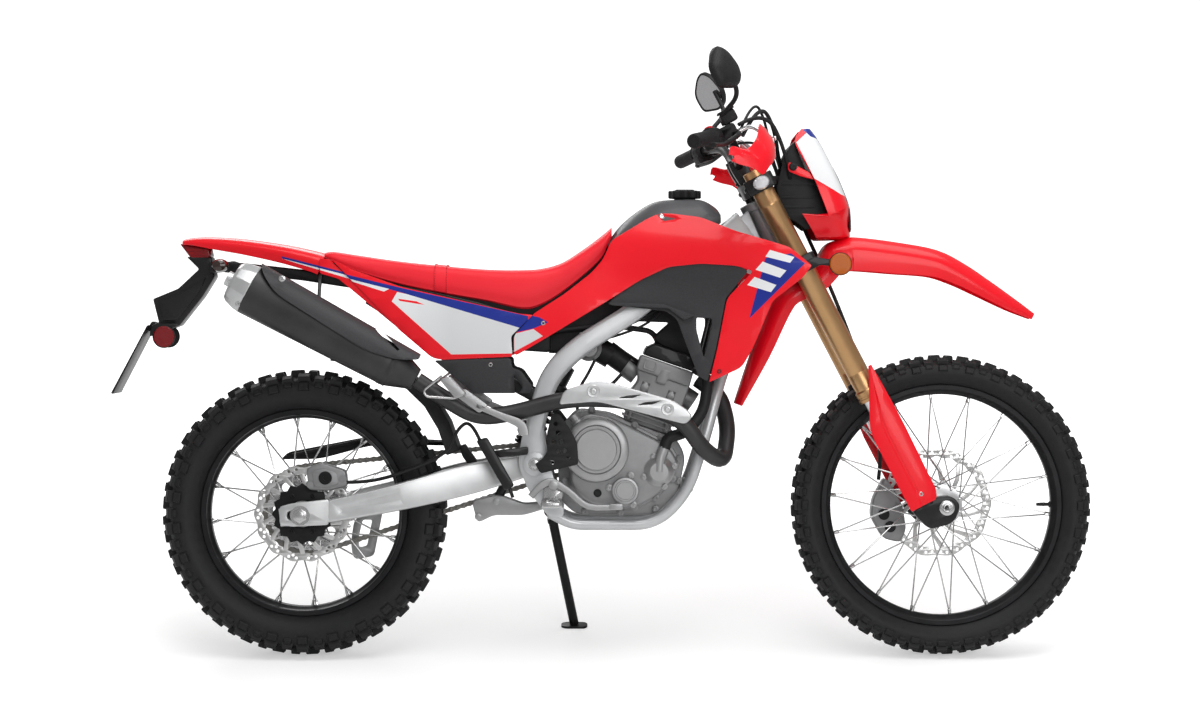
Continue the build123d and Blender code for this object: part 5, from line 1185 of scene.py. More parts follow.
#        x     top    bottom half  crown half
SEAT = [(50, 918, 906, 72, 44),
        (70, 919.5, 897, 81, 56),
        (120, 912, 875, 86, 64),
        (216, 898, 846, 91, 72),
        (320, 887, 824, 95, 76),
        (420, 879, 806, 96, 77),
        (500, 878, 789, 94, 74),
        (545, 882, 800, 89, 68),
        (590, 896, 828, 83, 60),
        (640, 928, 868, 77, 50),
        (676, 955, 903, 72, 42),
        (690, 966.5, 930, 66, 36),
        (700.5, 975.5, 950, 56, 30)]


def saddle_ring(x, top, bottom, half, crown, swell=0.0):
    """One slice of the saddle, swollen outwards by so many millimetres."""
    high = top - bottom
    points = [(0, top + swell), (0.6 * crown, top - 0.5 + swell),
        (crown, top - 0.05 * high + 0.7 * swell),
        (0.5 * (crown + half) + 2.5, top - 0.16 * high + 0.7 * swell),
        (half - 2 + swell, bottom + 0.60 * high), (half + 0.8 + swell, bottom + 0.34 * high),
        (half + swell, bottom + 0.12 * high), (half - 3, bottom), (0.6 * half, bottom), (0, bottom)]
    half_ring = eased(points, 2)
    return [(x, y, z) for y, z in half_ring] + [(x, -y, z) for y, z in half_ring[-2:0:-1]]


saddle = skin("saddle_cover", [saddle_ring(*row) for row in eased(SEAT, 5)], 0, closed=True, ends=True,
    degrees=60)
painted(edged(saddle, 3.0, 3, 60), seat_vinyl)
saddle.data.transform(LEANED)
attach(saddle, "chassis")
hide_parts("seat")

strap_rows = [saddle_ring(*row, swell=2.2) for row in eased(SEAT, 24) if 296 <= row[0] <= 331]
over = [row[-16:] + row[:17] for row in strap_rows]
strap = edged(skin("saddle_strap", over, 3.0, degrees=60), 0.8, 2, 60)
park(painted(strap, seat_vinyl), "chassis", "saddle")
thread_red = Paint("thread_red", (0.42, 0.010, 0.020), 0.6).wear(0.05, 300, 0.3)
stitches = []
for edge_x in (300.5, 326.5):
    row = min(eased(SEAT, 60), key=lambda station: abs(station[0] - edge_x))
    slice_ring = saddle_ring(*row, swell=2.9)
    path = [Vector(point) for point in eased(slice_ring[-15:] + slice_ring[:16], 3)]
    for a, b in zip(path[::2], path[1::2]):
        stitches.append(round_bar("stitch", a, b, 0.7, 5))
fit("strap_stitches", stitches, thread_red, "chassis", "saddle")

# Seat base: the moulded black pan under the foam, which fills the gap down to the panels.
base_rows = []
for x, top, bottom, half, crown in eased(SEAT[1:], 3):
    base_rows.append([(x, y, z) for y, z in ((-half + 5, bottom + 3), (half - 5, bottom + 3),
        (half - 7, bottom - 18), (-half + 7, bottom - 18))])
pan = skin("seat_base_pan", base_rows, 0, closed=True, ends=True)
park(painted(pan, black_moulding), "chassis", "black_plastic")

# ---- Exhaust: header, silencer and its guard ------------------------------------------------------
# A bent steel header in heat-proof black sweeps under the head and back along the right side into an
# oval can with a cast end cap; a moulded guard with two slits shields the leg from it.
header_black = Paint("header_black", (0.045, 0.045, 0.047), 0.42, 0.65)
header_black.two_tone(12, 4.0, (0.032, 0.032, 0.034), (0.075, 0.074, 0.074), 0.32, 0.2)
PIPE = [(898, 0, 628), (948, -12, 592), (966, -40, 520), (952, -100, 440), (900, -148, 478),
    (860, -158, 540), (740, -162, 586), (600, -160, 590), (480, -152, 556), (400, -152, 545),
    (330, -160, 586), (264.5, -164, 630.2)]
header = pipe("header_pipe", PIPE, 18.8, 60, 8, 5)
park(painted(header, header_black), "chassis", "black_metal", "exhaust_pipe")

CAN_FRONT, CAN_REAR = Vector((262, -165, 632)), Vector((-112, -165, 834))
CAN_UP = Vector((202, 0, 374)).normalized()


def oval_ring(share, wide, high, sides=40, start=0.0, turn=360, power=1.0):
    """Points round the silencer at a share of its length, counted from its outer side upwards."""
    centre = CAN_FRONT + (CAN_REAR - CAN_FRONT) * share
    ring_points = []
    count = sides if turn >= 360 else sides + 1
    for i in range(count):
        angle = math.radians(start + turn * i / sides)
        c, s = math.cos(angle), math.sin(angle)
        c, s = math.copysign(abs(c) ** power, c), math.copysign(abs(s) ** power, s)
        ring_points.append(tuple(centre + Vector((0, -wide, 0)) * c + CAN_UP * (high * s)))
    return ring_points


#      share   wide  high
CAN = [(0.0, 25, 25), (0.03, 30, 30), (0.14, 47, 47), (0.17, 48.6, 47.8), (0.6, 52.5, 52.5),
    (0.985, 55.6, 56.4)]
can = skin("silencer_can", [oval_ring(*row, power=0.9) for row in eased(CAN, 4)], 0, closed=True,
    ends=True, degrees=50)
ribs = [skin("band", [oval_ring(0.155, 49, 48.4, power=0.9), oval_ring(0.18, 49.6, 48.8, power=0.9)],
    1.0, closed=True)]
HANGER_PROFILE = [(-75, 868), (-75, 850), (-92, 838), (-118, 786), (-130, 792), (-102, 852), (-88, 868)]
tab = slab("tab", HANGER_PROFILE, 4, 38, 45, 1.2)
tab.data.transform(Matrix.Rotation(math.pi / 2, 4, "Z"))
moved([tab], (83, 0, 0))
fit("silencer_can", [can, tab] + ribs, header_black, "chassis", "alloy", "silencer")
CAP = [(0.985, 57, 57.4), (0.99, 57.4, 57.8), (1.03, 54.5, 55), (1.075, 47, 48), (1.09, 41, 42),
    (1.088, 22, 22), (1.075, 19, 19)]
cap = skin("silencer_cap", [oval_ring(*row, sides=12, start=15) for row in CAP], 0, closed=True,
    ends=True, degrees=20)
cap = edged(cap, 1.6, 2, 15, 30)
tip = lathe("tail_pipe", [(15, 0), (17, 0), (17, 30), (15, 30), (13.5, 28), (13.5, 0)], 32)
axis = (CAN_REAR - CAN_FRONT).normalized()
tip.data.transform(Matrix.Translation(CAN_FRONT + (CAN_REAR - CAN_FRONT) * 1.05 + Vector((0, -10, 0)))
                   @ axis.to_track_quat("Y", "Z").to_matrix().to_4x4())
cap_bolt = bolt("cap_bolt", -129, 800, -204, -210.5, 5)
fit("silencer_cap", [cap, tip, cap_bolt], brushed_alloy, "chassis", "alloy", "silencer")

GUARD = [(-84, 911), (-62, 909, 12), (54, 861, 30), (108, 832, 30), (176, 773), (273, 698), (273, 676),
    (221, 677, 20), (153, 697, 30), (-46, 824, 30), (-76, 872, 20)]
SLITS = [[(92, 806), (100, 809), (158, 761), (153, 757)],
    [(172, 744), (180, 747), (229, 699), (224, 696)]]
guard = skin("silencer_shield", [oval_ring(share, 52.6 + 9 * share, 51.2 + 10.6 * share, 40, -80, 200,
    0.9) for share in (-0.1, 0.1, 0.3, 0.5, 0.7, 0.9, 1.1)], -3.2, degrees=50)
guard = carve(guard, slab("outline", GUARD, 8, -262, -159.5, 0.01), "INTERSECT")
for slit in SLITS:
    guard = carve(guard, slab("slit", slit, 1.5, -262, -150, 0.01))
guard = edged(guard, 1.1, 2, 45)
park(painted(guard, grey_moulding), "chassis", "black_plastic", "silencer_guard")
guard_screw = bolt("guard_screw", -30, 856, -221, -224.5, 5.5)
park(painted(guard_screw, screw_steel), "chassis", "steel")

SHIELD = [(581, 576, 8), (592, 608, 14), (670, 633, 30), (836, 586, 30), (868, 564, 12), (879, 550, 8),
    (864, 532, 12), (820, 543, 30), (714, 571, 40), (668, 583, 30)]
SHIELD_SLOTS = [[(716, 591), (732, 595.5), (763, 598), (745, 591)],
    [(757, 575), (772, 581), (807, 584), (789, 577)]]
shield = plate("header_shield", [rounded(SHIELD, 14, 5)]
    + [rounded(slot, 1.5) for slot in SHIELD_SLOTS], -187.8, -180.5, 3.4, 3)
dishes = []
for px, pz in ((658, 606), (823, 566)):
    dishes.append(turned_at("dish", [(0.01, -188), (7, -188), (8.5, -189.6), (13, -189.9),
        (14.5, -188.5), (14.5, -186), (0.01, -186)], px, pz, 24))
    dishes.append(bolt("shield_bolt", px, pz, -187.5, -191.5, 4.6))
    dishes.append(round_bar("clip", (px, -183, pz), (px, -176, pz), 6, 12))
fit("header_shield", [shield] + dishes, brushed_alloy, "chassis", "alloy", "heat_shield")

# ---- Engine ---------------------------------------------------------------------------------------
# A liquid-cooled single: two die-cast case halves, a clutch cover with its round lid, oil filter lid
# and water pump on the right, the generator cover on the left, and a leaning finned barrel and head.
cast_grey = Paint("cast_grey", (0.27, 0.27, 0.275), 0.44, 0.7)
cast_grey.two_tone(35, 4.0, (0.22, 0.22, 0.225), (0.33, 0.33, 0.335), 0.36, 0.16)
cast_grey.grain(520, 0.0004, 0.5)
cast_light = Paint("cast_light", (0.40, 0.40, 0.405), 0.36, 0.7).wear(0.06, 50, 0.12)
cast_light.grain(520, 0.0003, 0.4)

CASE = [(578, 420), (584, 520), (622, 562), (700, 552), (737, 534), (846, 496), (868, 455), (852, 375),
        (800, 322), (622, 322), (586, 352)]
case = [plate("case", [rounded(CASE, 18, 4)], -61.5, 61.5, 3.0, 2),
    plate("seam", [rounded([(x * 1.006 - 4, z * 1.012 - 5) for x, z in CASE], 18, 4)], -2, 2, 0.8),
    across(577, 372, -85, 85, 15, 24), across(870, 385, -64, 64, 16, 24),
    across(597, 449, 57, 82, 12, 24)]
for px, pz in ((640, 330), (720, 328), (800, 336), (852, 400), (592, 400), (590, 500)):
    case.append(across(px, pz, -72, 72, 8, 16))
    case.append(bolt("case_bolt", px, pz, -72, -77, 5))
fit("crank_cases", case, cast_grey, "chassis", "engine_grey", "crankcase")

COVER = [(614, 544), (642, 563), (690, 556), (743, 531), (815, 494), (840, 475), (856, 443), (846, 418),
         (812, 368), (759, 337), (696, 334), (642, 346), (602, 390)]
drawn_in = [(620 + (x - 620) * 0.96 + 3, 440 + (z - 440) * 0.93) for x, z in COVER]
right = [plate("cover_flange", [rounded(COVER, 14, 4)], -62.3, -76, 2.0, 2),
         plate("cover_body", [rounded(drawn_in, 20, 4)], -70, -114, 7.0, 3)]
COVER_BOLTS = [(612, 392), (606, 470), (618, 545), (655, 560), (752, 526), (812, 497), (852, 450),
    (838, 405), (800, 362), (752, 341), (690, 339), (640, 351)]
for px, pz in COVER_BOLTS:
    right.append(across(px, pz, -63, -80, 8.5, 16))
    right.append(bolt("cover_bolt", px, pz, -80, -85.5, 5))
fit("clutch_side_cover", right, cast_grey, "chassis", "engine_grey", "engine_covers")

FILTER, PUMP = (730, 381), (806, 424)
lids = [turned_at("clutch_ring", [(0.01, -108), (73, -108), (73.5, -120), (71.5, -126), (66, -129.5),
    (56, -129.8), (53, -126), (46.5, -126), (46, -134.2), (44.5, -136), (0.01, -136)], 665, 473, 72)]
lids.append(turned_at("filter_lid", [(0.01, -108), (31, -108), (31, -128), (29, -131.5), (24.5, -132),
    (23, -130.4), (20, -130.4), (19, -132), (0.01, -132)], *FILTER, 48))
for angle in (70, 170, 300):
    px, pz = about(36, angle, *FILTER)
    lids += [across(px, pz, -110, -121, 8, 16), bolt("lid_bolt", px, pz, -121, -127, 5.2)]
lids.append(turned_at("pump", [(0.01, -108), (34, -108), (34, -117), (30, -120), (24, -130),
    (20, -133), (0.01, -133.5)], *PUMP, 40))
lids.append(pipe("pump_neck", [(806, -124, 424), (808, -124, 452), (818, -122, 478)], 12.5, 14))
for angle in (20, 110, 200, 290):
    px, pz = about(36, angle, *PUMP)
    lids += [across(px, pz, -108, -117, 7.5, 16), bolt("pump_bolt", px, pz, -117, -123, 4.8)]
lids += [pipe("filler_neck", [(632, -104, 524), (621, -107, 540)], 15, 6),
    pipe("filler_cap", [(622, -107, 538), (612, -110, 552)], 11.5, 4)]
fit("clutch_lids", lids, cast_light, "chassis", "engine_grey", "engine_covers")
sight = turned_at("oil_sight", [(0.01, -113.5), (9, -113.5), (9, -116.5), (7.4, -117), (6.6, -115.4),
    (0.01, -115.2)], 668, 375, 24)
park(painted(sight, tyre_rubber), "chassis", "rubber")

GENERATOR = [(706, 470), (730, 513), (790, 519), (837, 480), (845, 430), (819, 381), (768, 361),
    (716, 386)]
left = [plate("generator_cover", [rounded(GENERATOR, 26, 4)], 62.3, 111.5, 9.0, 3),
        turned_at("generator_lid", [(0.01, 105), (47, 105), (47.5, 113), (45, 117), (30, 119),
            (0.01, 119.6)], 775, 440, 48)]
left += [bolt("generator_bolt", *about(70, angle, 773, 440), 62, 84, 5)
    for angle in (15, 70, 130, 190, 250, 310)]
fit("generator_side", left, cast_grey, "chassis", "engine_grey", "engine_covers")

# The barrel, head and cam cover lean forward together.
BARREL = Matrix.Translation((778, 0, 520)) @ Matrix.Rotation(math.radians(18.9), 4, "Y")


def block(name, centre, size, ease=3.0, corner=8.0):
    """A cast block standing on the leaning barrel's own axes."""
    half = Vector(size) / 2
    outline = [(centre[0] - half.x, centre[2] - half.z), (centre[0] + half.x, centre[2] - half.z),
               (centre[0] + half.x, centre[2] + half.z), (centre[0] - half.x, centre[2] + half.z)]
    return plate(name, [rounded(outline, corner, 3)], centre[1] - half.y, centre[1] + half.y, ease, 2)


barrel = [block("barrel", (0, 0, 31), (110, 110, 61.4))]
barrel += [block("fin", (0, 0, 11 + 12 * i), (121, 121, 3.6), 1.2, 3) for i in range(5)]
for side in (-1, 1):
    barrel += [round_bar("stud", (x, side * 55, 4), (x, side * 55, 62), 6, 12) for x in (-44, 44)]
moved(barrel, BARREL)
fit("barrel", barrel, cast_grey, "chassis", "engine_grey", "cylinder")
HEAD_SIDE = [(-62, 63, 6), (62, 63, 6), (64, 110, 10), (62, 153, 4), (-62, 153, 4), (-64, 120, 10),
    (-50, 96, 10)]
top = [plate("head_body", [rounded(HEAD_SIDE, 6, 3)], -56, 56, 4.0, 2),
    plate("head_deck", [rounded([(-64, 118), (62, 118), (62, 153), (-64, 153)], 8, 3)], -62.5, 62.5,
    3.0, 2)]
for side in (-1, 1):
    top.append(slab("head_pad", [(-14, 104), (10, 104), (14, 140), (-10, 140)], 6, side * 55,
        side * 62.8, 1.5))
    for px in (-32, 30):
        top.append(round_bar("lug", (px, side * 52, 74), (px, side * 52, 98), 10, 16))
        top.append(round_bar("lug", (px, side * 55, 86), (px, side * 62, 86), 9, 16))
    top.append(plate("recess_rim", [rounded([(-52, 124), (-22, 124), (-22, 148), (-52, 148)], 8),
        rounded([(-48, 128), (-26, 128), (-26, 148), (-48, 148)], 6)], side * 61, side * 64, 1.0))
top.append(round_bar("exhaust_port", (56, 0, 96), (86, 0, 88), 24, 32))
top.append(round_bar("inlet_port", (-56, 0, 108), (-88, 0, 118), 26, 32))
moved(top, BARREL)
fit("cylinder_head", top, cast_grey, "chassis", "engine_grey", "cylinder")
LID = [(-59, 154.5, 3), (59, 154.5, 3), (59, 168, 4), (44, 187, 8), (-44, 187, 8), (-59, 170, 4)]
lid = [plate("cam_cover", [rounded(LID, 5, 3)], -59.5, 59.5, 4.0, 2)]
lid += [slab("cam_rib", [(-40, 186), (40, 186), (40, 188), (-40, 188)], 1, y - 2, y + 2, 0.5)
    for y in (-30, 0, 30)]
for px, py in ((-50, -50), (50, -50), (-50, 50), (50, 50)):
    lid.append(round_bar("cover_screw", (px, py, 160), (px, py, 176), 7, 12))
moved(lid, BARREL)
fit("cam_cover", lid, satin_black, "chassis", "black_metal", "head_cover")

# Radiators, hoses, air box and throttle body behind the shrouds.
radiator_black = Paint("radiator_black", (0.022, 0.022, 0.024), 0.55, 0.4)
rx, rz = side_position(radiator_black)
fin_wave = radiator_black.node("Math", {"operation": "SINE"}, (rx * 0.23 + rz) * 1400)
radiator_black.set("Normal", radiator_black.node("Bump", None, Strength=0.8, Distance=0.001,
    Height=fin_wave))
radiator_black.wear(0.08, 60, 0.3)
core = [slab("core", [(901, 652), (933, 642), (984, 848), (952, 858)], 3, 52, 118, 1.0),
        slab("tank_out", [(900, 650), (934, 640), (985, 850), (951, 860)], 8, 116, 128, 3.0, 2),
        slab("tank_in", [(900, 650), (934, 640), (985, 850), (951, 860)], 8, 42, 54, 3.0, 2),
        slab("lug", [(962, 806), (1017, 813), (1017, 801), (966, 791)], 3, 17.5, 44, 1.0)]
halves("radiator", core, radiator_black, "chassis", "black_metal", "radiators")

hose_rubber = Paint("hose_rubber", (0.015, 0.015, 0.016), 0.5).wear(0.08, 50, 0.3)
hose_rubber.grain(800, 0.0003, 0.4)
#         radius bend  points
HOSES = [(13, 30, [(818, -122, 476), (826, -121, 500), (870, -112, 512), (908, -98, 560),
                   (918, -92, 640)]),                                                  # pump
         (13, 20, [(800, 60, 700), (850, 84, 690), (905, 90, 660)]),                   # head
         (6.5, 30, [(812, -14, 698), (796, -22, 738), (700, -36, 752), (560, -40, 738)]),  # breather
         (3.0, 30, [(640, -60, 720), (700, -60, 738), (766, -52, 764), (822, -46, 800)]),  # throttle
         (3.0, 30, [(642, -60, 712), (706, -60, 726), (778, -52, 752), (826, -46, 796)]),
         (3.6, 30, [(662, -34, 672), (646, -40, 640), (628, -44, 612), (622, -48, 560)]),  # sensor
         (4.0, 20, [(722, -34, 640), (700, -40, 616), (672, -46, 606), (640, -48, 596)]),  # drain
         (25, 30, [(690, 0, 694), (716, 0, 674), (752, 0, 650)])]                      # inlet boot
hoses = [pipe("hose", points, radius, bend) for radius, bend, points in HOSES]
boot = [pipe("boot", [(558, 0, 716), (640, 0, 714), (700, 0, 680)], 28, 60)]
boot += [lathe("boot_ring", [(27, -3), (31, -3), (31, 3), (27, 3)], 32) for _ in range(2)]
for piece, (px, pz, lean) in zip(boot[1:], ((596, 716, 90), (672, 700, 118))):
    piece.data.transform(Matrix.Translation((px, 0, pz)) @ Matrix.Rotation(math.radians(lean), 4, "Y")
        @ Matrix.Rotation(math.pi / 2, 4, "X"))
duct_outline = rounded([(517, 700), (574, 740), (646, 792), (704, 834), (804, 832), (852, 795),
    (883, 723), (886, 677), (811, 706), (794, 723), (814, 742), (833, 758), (746, 761), (687, 730),
    (633, 704), (588, 691), (559, 691)], 8)
box = [slab("air_box", [(330, 772), (520, 752), (562, 735), (562, 690), (330, 706)], 10, -72, 72, 5.0,
    2), plate("air_duct", [duct_outline], -34, 34, 4.0, 2),
    slab("box_lug", [(440, 775), (460, 772), (460, 740), (440, 740)], 3, -78.3, 78.3, 1.0)]
fit("air_box", boot + box, black_moulding, "chassis", "black_plastic", "intake")
fit("water_hoses", hoses, hose_rubber, "chassis", "rubber")
body = [lathe("throttle", [(0.01, -46), (20, -46), (23, -42), (23, -34), (30, -30), (30, 30),
    (0.01, 30)], 32), lathe("throttle_drum", [(0.01, -66), (19, -66), (23, -62), (23, -50), (19, -48),
    (0.01, -48)], 32)]
moved(body, (648, 0, 700))
fit("throttle_body", body, cast_grey, "chassis", "engine_grey")

# ---- Fork -----------------------------------------------------------------------------------------
# Upside-down fork drawn about the steering axis (X ahead of it, Z up along it): gold anodised outer
# tubes with turned rings at their feet, hard-chromed legs and black cast blocks that hold the spindle.
AXLE_F, AXLE_S = 61.2, -830.14
FORK_F, FORK_Y = 25.2, 97.5
SEAL_S = AXLE_S + 299


def upright_lathe(name, profile, f=0.0, y=0.0, steps=48):
    """Spins a (radius, height) profile about a line along the steering axis."""
    piece = lathe(name, profile, steps, closed=True)
    piece.data.transform(Matrix.Translation((f, y, 0)) @ Matrix.Rotation(math.pi / 2, 4, "X"))
    return piece


def plan_plate(name, outlines, s_from, s_to, ease=1.0, rounds=1):
    """A flat part cut to (x, y) outlines, from one height to another."""
    piece = plate(name, outlines, -s_to, -s_from, ease, rounds)
    piece.data.transform(Matrix.Rotation(-math.pi / 2, 4, "X"))
    return piece


def at_axle(points):
    """Points counted from the front spindle."""
    return [(AXLE_F + point[0], AXLE_S + point[1], *point[2:]) for point in points]


gold = Paint("gold_anodised", (0.50, 0.29, 0.13), 0.3, 0.85)
gold.two_tone(10, 3.0, (0.44, 0.25, 0.11), (0.58, 0.35, 0.17), 0.24, 0.12)
hard_chrome = Paint("hard_chrome", (0.75, 0.75, 0.75), 0.1, 1.0).wear(0.04, 60, 0.08)
OUTER = [(21.9, SEAL_S - 5.5), (27.4, SEAL_S - 5.5), (28, SEAL_S - 4), (28, SEAL_S + 2),
    (26.4, SEAL_S + 3), (26.4, SEAL_S + 7), (28, SEAL_S + 8), (28, SEAL_S + 18), (26.5, SEAL_S + 20),
    (25, SEAL_S + 22), (25, SEAL_S + 60), (24.6, SEAL_S + 61), (24.6, SEAL_S + 63), (25, SEAL_S + 64),
    (25, -46), (25.5, -45), (25.5, -40), (25, -39), (25, 42.5), (23.5, 44), (21.9, 44)]
tubes, caps, legs, blocks = [], [], [], []
BLOCK = [(-73, 28, 10), (-57, -26, 14), (1, -38, 20), (31, -8, 14), (23, 18, 12), (-9, 32, 10)]
for side in (1, -1):
    y = side * FORK_Y
    tubes.append(upright_lathe("tube", OUTER, FORK_F, y))
    caps.append(upright_lathe("cap", [(0.01, 30), (21.7, 30), (21.7, 43), (19, 43.8), (9, 43.8),
        (9, 40), (0.01, 40)], FORK_F, y, 32))
    legs.append(upright_lathe("leg", [(0.01, AXLE_S + 26), (21.4, AXLE_S + 26), (21.4, -360),
        (0.01, -360)], FORK_F, y))
    blocks.append(plate("block", [rounded(at_axle(BLOCK), 12, 4), ring(10.4, 24, AXLE_F, AXLE_S)],
        y - 20.8, y + 20.8, 3.0, 2))
    blocks.append(upright_lathe("clamp_collar",
        [(21.6, AXLE_S + 24), (25.5, AXLE_S + 24), (25.5, AXLE_S + 36), (21.6, AXLE_S + 38)], FORK_F, y,
        32))
fit("fork_outer_tubes", tubes, gold, "steering", "gold_anodised", "fork_tubes", place=STEERED)
fit("fork_caps", caps, black_anodised, "steering", "black_metal", place=STEERED)
fit("fork_legs_chromed", legs, hard_chrome, "steering", "chrome", "fork_legs", place=STEERED)
fit("axle_blocks", blocks, satin_black, "steering", "black_metal", "fork_legs", place=STEERED)

# The bore is cut from each bar by itself: a cut through parts that overlap can lose one of them.
bars = [round_bar("shaft", (0, -128, 0), (0, 128, 0), 9.8, 32),
        round_bar("hex", (0, 121, 0), (0, 127.4, 0), 14.5, 6)]
spindle = [carve(bar, round_bar("bore", (0, -140, 0), (0, 140, 0), 6.2, 24)) for bar in bars]
for side in (1, -1):
    spindle.append(lathe("spacer", [(9.9, side * 62.3), (15, side * 62.3), (15, side * 76.2),
        (9.9, side * 76.2)], 32))
    spindle.append(lathe("ring", [(9.9, side * 118.9), (17, side * 118.9), (17, side * 121),
        (15.5, side * 122), (9.9, side * 122)], 32))
moved(spindle, (AXLE_F, 0, AXLE_S))
fit("front_spindle", spindle, spoke_steel, "steering", "steel", "front_axle", place=STEERED)

#        from the spindle  s   front f  rear f
GUARD_ROWS = [(365, -5, -8), (340, -4, -20), (300, -2, -41), (262, -1, -60), (236, 0, -72),
    (205, 0, -75), (150, -1.5, -75), (95, -3, -75), (51, -4, -75), (36, -10, -75), (30.5, -15, -74)]
rows = []
for s, front, rear in GUARD_ROWS:
    wide = front - rear
    section = ((rear, 126.2), (rear + 0.10 * wide, 127.8), (rear + 0.36 * wide, 128.4),
        (rear + 0.40 * wide, 126.6), (rear + 0.46 * wide, 126.6), (rear + 0.50 * wide, 128.6),
        (rear + 0.86 * wide, 127.4), (front, 122.5))
    rows.append([(AXLE_F + f, y, AXLE_S + s) for f, y in section])
guard = edged(skin("fork_guard", rows, -2.6, degrees=30), 0.7, 2, 40)
boss = turned_at("boss", [(5, 119.5), (9, 119.5), (9, 128), (12, 128.4), (12, 130.6), (5, 130.6)],
    AXLE_F - 38, AXLE_S + 56, 24)
halves("fork_guard", [guard, boss], red_gloss, "steering", "red_gloss", "fork_guards", place=STEERED)
halves("fork_guard_screw", bolt("fork_guard_screw", AXLE_F - 38, AXLE_S + 56, 128.5, 132, 5),
    screw_steel, "steering", "steel", place=STEERED)

CALIPER = [(-81, 108, 10), (-127, 78, 14), (-151, 44, 14), (-149, -16, 14), (-117, -42, 10),
    (-91, -20, 10), (-74, 30, 10), (-75, 90, 10)]
caliper = [slab("caliper", at_axle(CALIPER), 12, 47.5, 92, 4.0, 2),
    slab("bridge", at_axle([(-140, 58), (-150, 10), (-138, -12), (-104, 6), (-92, 60), (-108, 76)]), 10,
    46, 94, 2.0)]
room = round_bar("disc_room", (AXLE_F, 58.8, AXLE_S), (AXLE_F, 70.2, AXLE_S), 133, 64)
caliper = carve(joined("caliper", caliper), room)
park(painted(caliper, cast_grey), "steering", "engine_grey", "front_caliper", place=STEERED)
#               outer side                                                 inner side
PISTON_CAPS = ([(0.01, 90), (13, 90), (13, 96), (11, 97.5), (0.01, 97.5)], [(0.01, 42), (13, 42),
    (13, 48), (0.01, 48)])
pistons = [turned_at("piston_cap", profile, AXLE_F - 122, AXLE_S + s, 24)
    for s in (34, 2) for profile in PISTON_CAPS]
fit("piston_caps", pistons, black_anodised, "steering", "black_metal", place=STEERED)

# ---- Clamps, handlebar and what it carries --------------------------------------------------------
# Black cast clamps with pinch bolts, two bar clamps, a black tapered bar with ribbed rubber grips,
# switch housings, levers on their perches and a small meter.
CLAMP = [(-15, -25), (-15, 25), (0, 66), (-12, 125), (61, 125), (56, 66), (38, 30), (38, -30),
    (56, -66), (61, -125), (-12, -125), (0, -66)]
sockets = [ring(25.4, 40, FORK_F, side * FORK_Y) for side in (1, -1)]
clamps = [plan_plate("lower_clamp", [rounded(CLAMP, 12, 4)] + sockets, -214.5, -177.5, 3.0, 2),
    plan_plate("upper_clamp", [rounded(CLAMP, 12, 4)] + sockets, -7.5, 27.5, 3.0, 2),
    upright_lathe("stem", [(0.01, -215), (14.8, -215), (14.8, 30), (18, 31), (18, 36), (0.01, 36)], 0,
    0, 32)]
RISER = [(-11, 27), (-14, 60, 8), (-13, 83.5, 6), (25, 83.5, 6), (26, 60, 8), (23, 27)]
for side in (1, -1):
    clamps.append(slab("bar_clamp", RISER, 3, side * 26, side * 56, 2.0, 2))
    for s in (-205, -187, 10):
        clamps.append(round_bar("pinch_boss", (-7.5, side * 92, s), (-7.5, side * 118, s), 6.5, 16))
    clamps += [round_bar("clamp_bolt", (f, side * y, 82), (f, side * y, 88), 4.6, 12) for f in (-8, 20)
        for y in (33, 49)]
fit("steering_clamps", clamps, satin_black, "steering", "black_metal", "triple_clamps", place=STEERED)

BAR_RUN = [(6.0, 76, 67), (12, 168, 128), (-25, 255, 146), (-82, 405, 153)]
bar = pipe("bar_tube", [(f, -y, s) for f, y, s in reversed(BAR_RUN)] + BAR_RUN, 10.8, 55, 8)
park(painted(bar, satin_black), "steering", "black_metal", "handlebar", place=STEERED)

BAR_END = Vector(BAR_RUN[3]) - Vector(BAR_RUN[2])
ALONG_BAR = Matrix.Translation(BAR_RUN[2]) @ BAR_END.to_track_quat("Y", "Z").to_matrix().to_4x4()
grip_rubber = Paint("grip_rubber", (0.013, 0.013, 0.014), 0.6).wear(0.08, 60, 0.3)
grip_rubber.grain(900, 0.0003, 0.5)
profile = [(11.2, 38.6), (20, 38.6), (22, 40), (22, 42), (17.5, 45)]
for i in range(14):
    start = 47 + 7.6 * i
    profile += [(15.4, start), (15.4, start + 2), (16.5, start + 2.6), (16.5, start + 7)]
profile += [(16.2, 158), (14.5, 160.2), (11.2, 160.2)]
grip = lathe("grip", profile, 32)
grip = joined("grip", [grip, lathe("bar_end", [(0.01, 158), (11, 158), (11, 160), (0.01, 160)], 24)])
grip.data.transform(ALONG_BAR)
halves("bar_grip", grip, grip_rubber, "steering", "rubber", "grips", place=STEERED)

switch = [lathe("housing", [(11.2, 3.4), (19.5, 3.4), (20.8, 6), (20.8, 20), (20.2, 20.6), (20.2, 22),
    (20.8, 22.6), (20.8, 35), (19.5, 37.5), (11.2, 37.5)], 32)]
for f, s, size in ((-10, -17, 13), (8, -20, 10)):
    switch.append(slab("pod", [(f - size, s - 7), (f + size, s - 9), (f + size, s + 14),
        (f - size, s + 12)], 4, 5, 36, 2.5, 2))
moved(switch, ALONG_BAR)
perch = slab("perch", [(-17, 122), (25.5, 122), (25.5, 157), (-17, 157)], 9, 226.5, 251.5, 3.0, 2)
switch.append(carve(perch, round_bar("bar_room", BAR_RUN[1], BAR_RUN[2], 11.3, 32)))
switch.append(round_bar("pivot", (17, 234, 128), (17, 258, 128), 7, 16))
halves("switch_housing", switch, black_moulding, "steering", "black_plastic", "controls", place=STEERED)
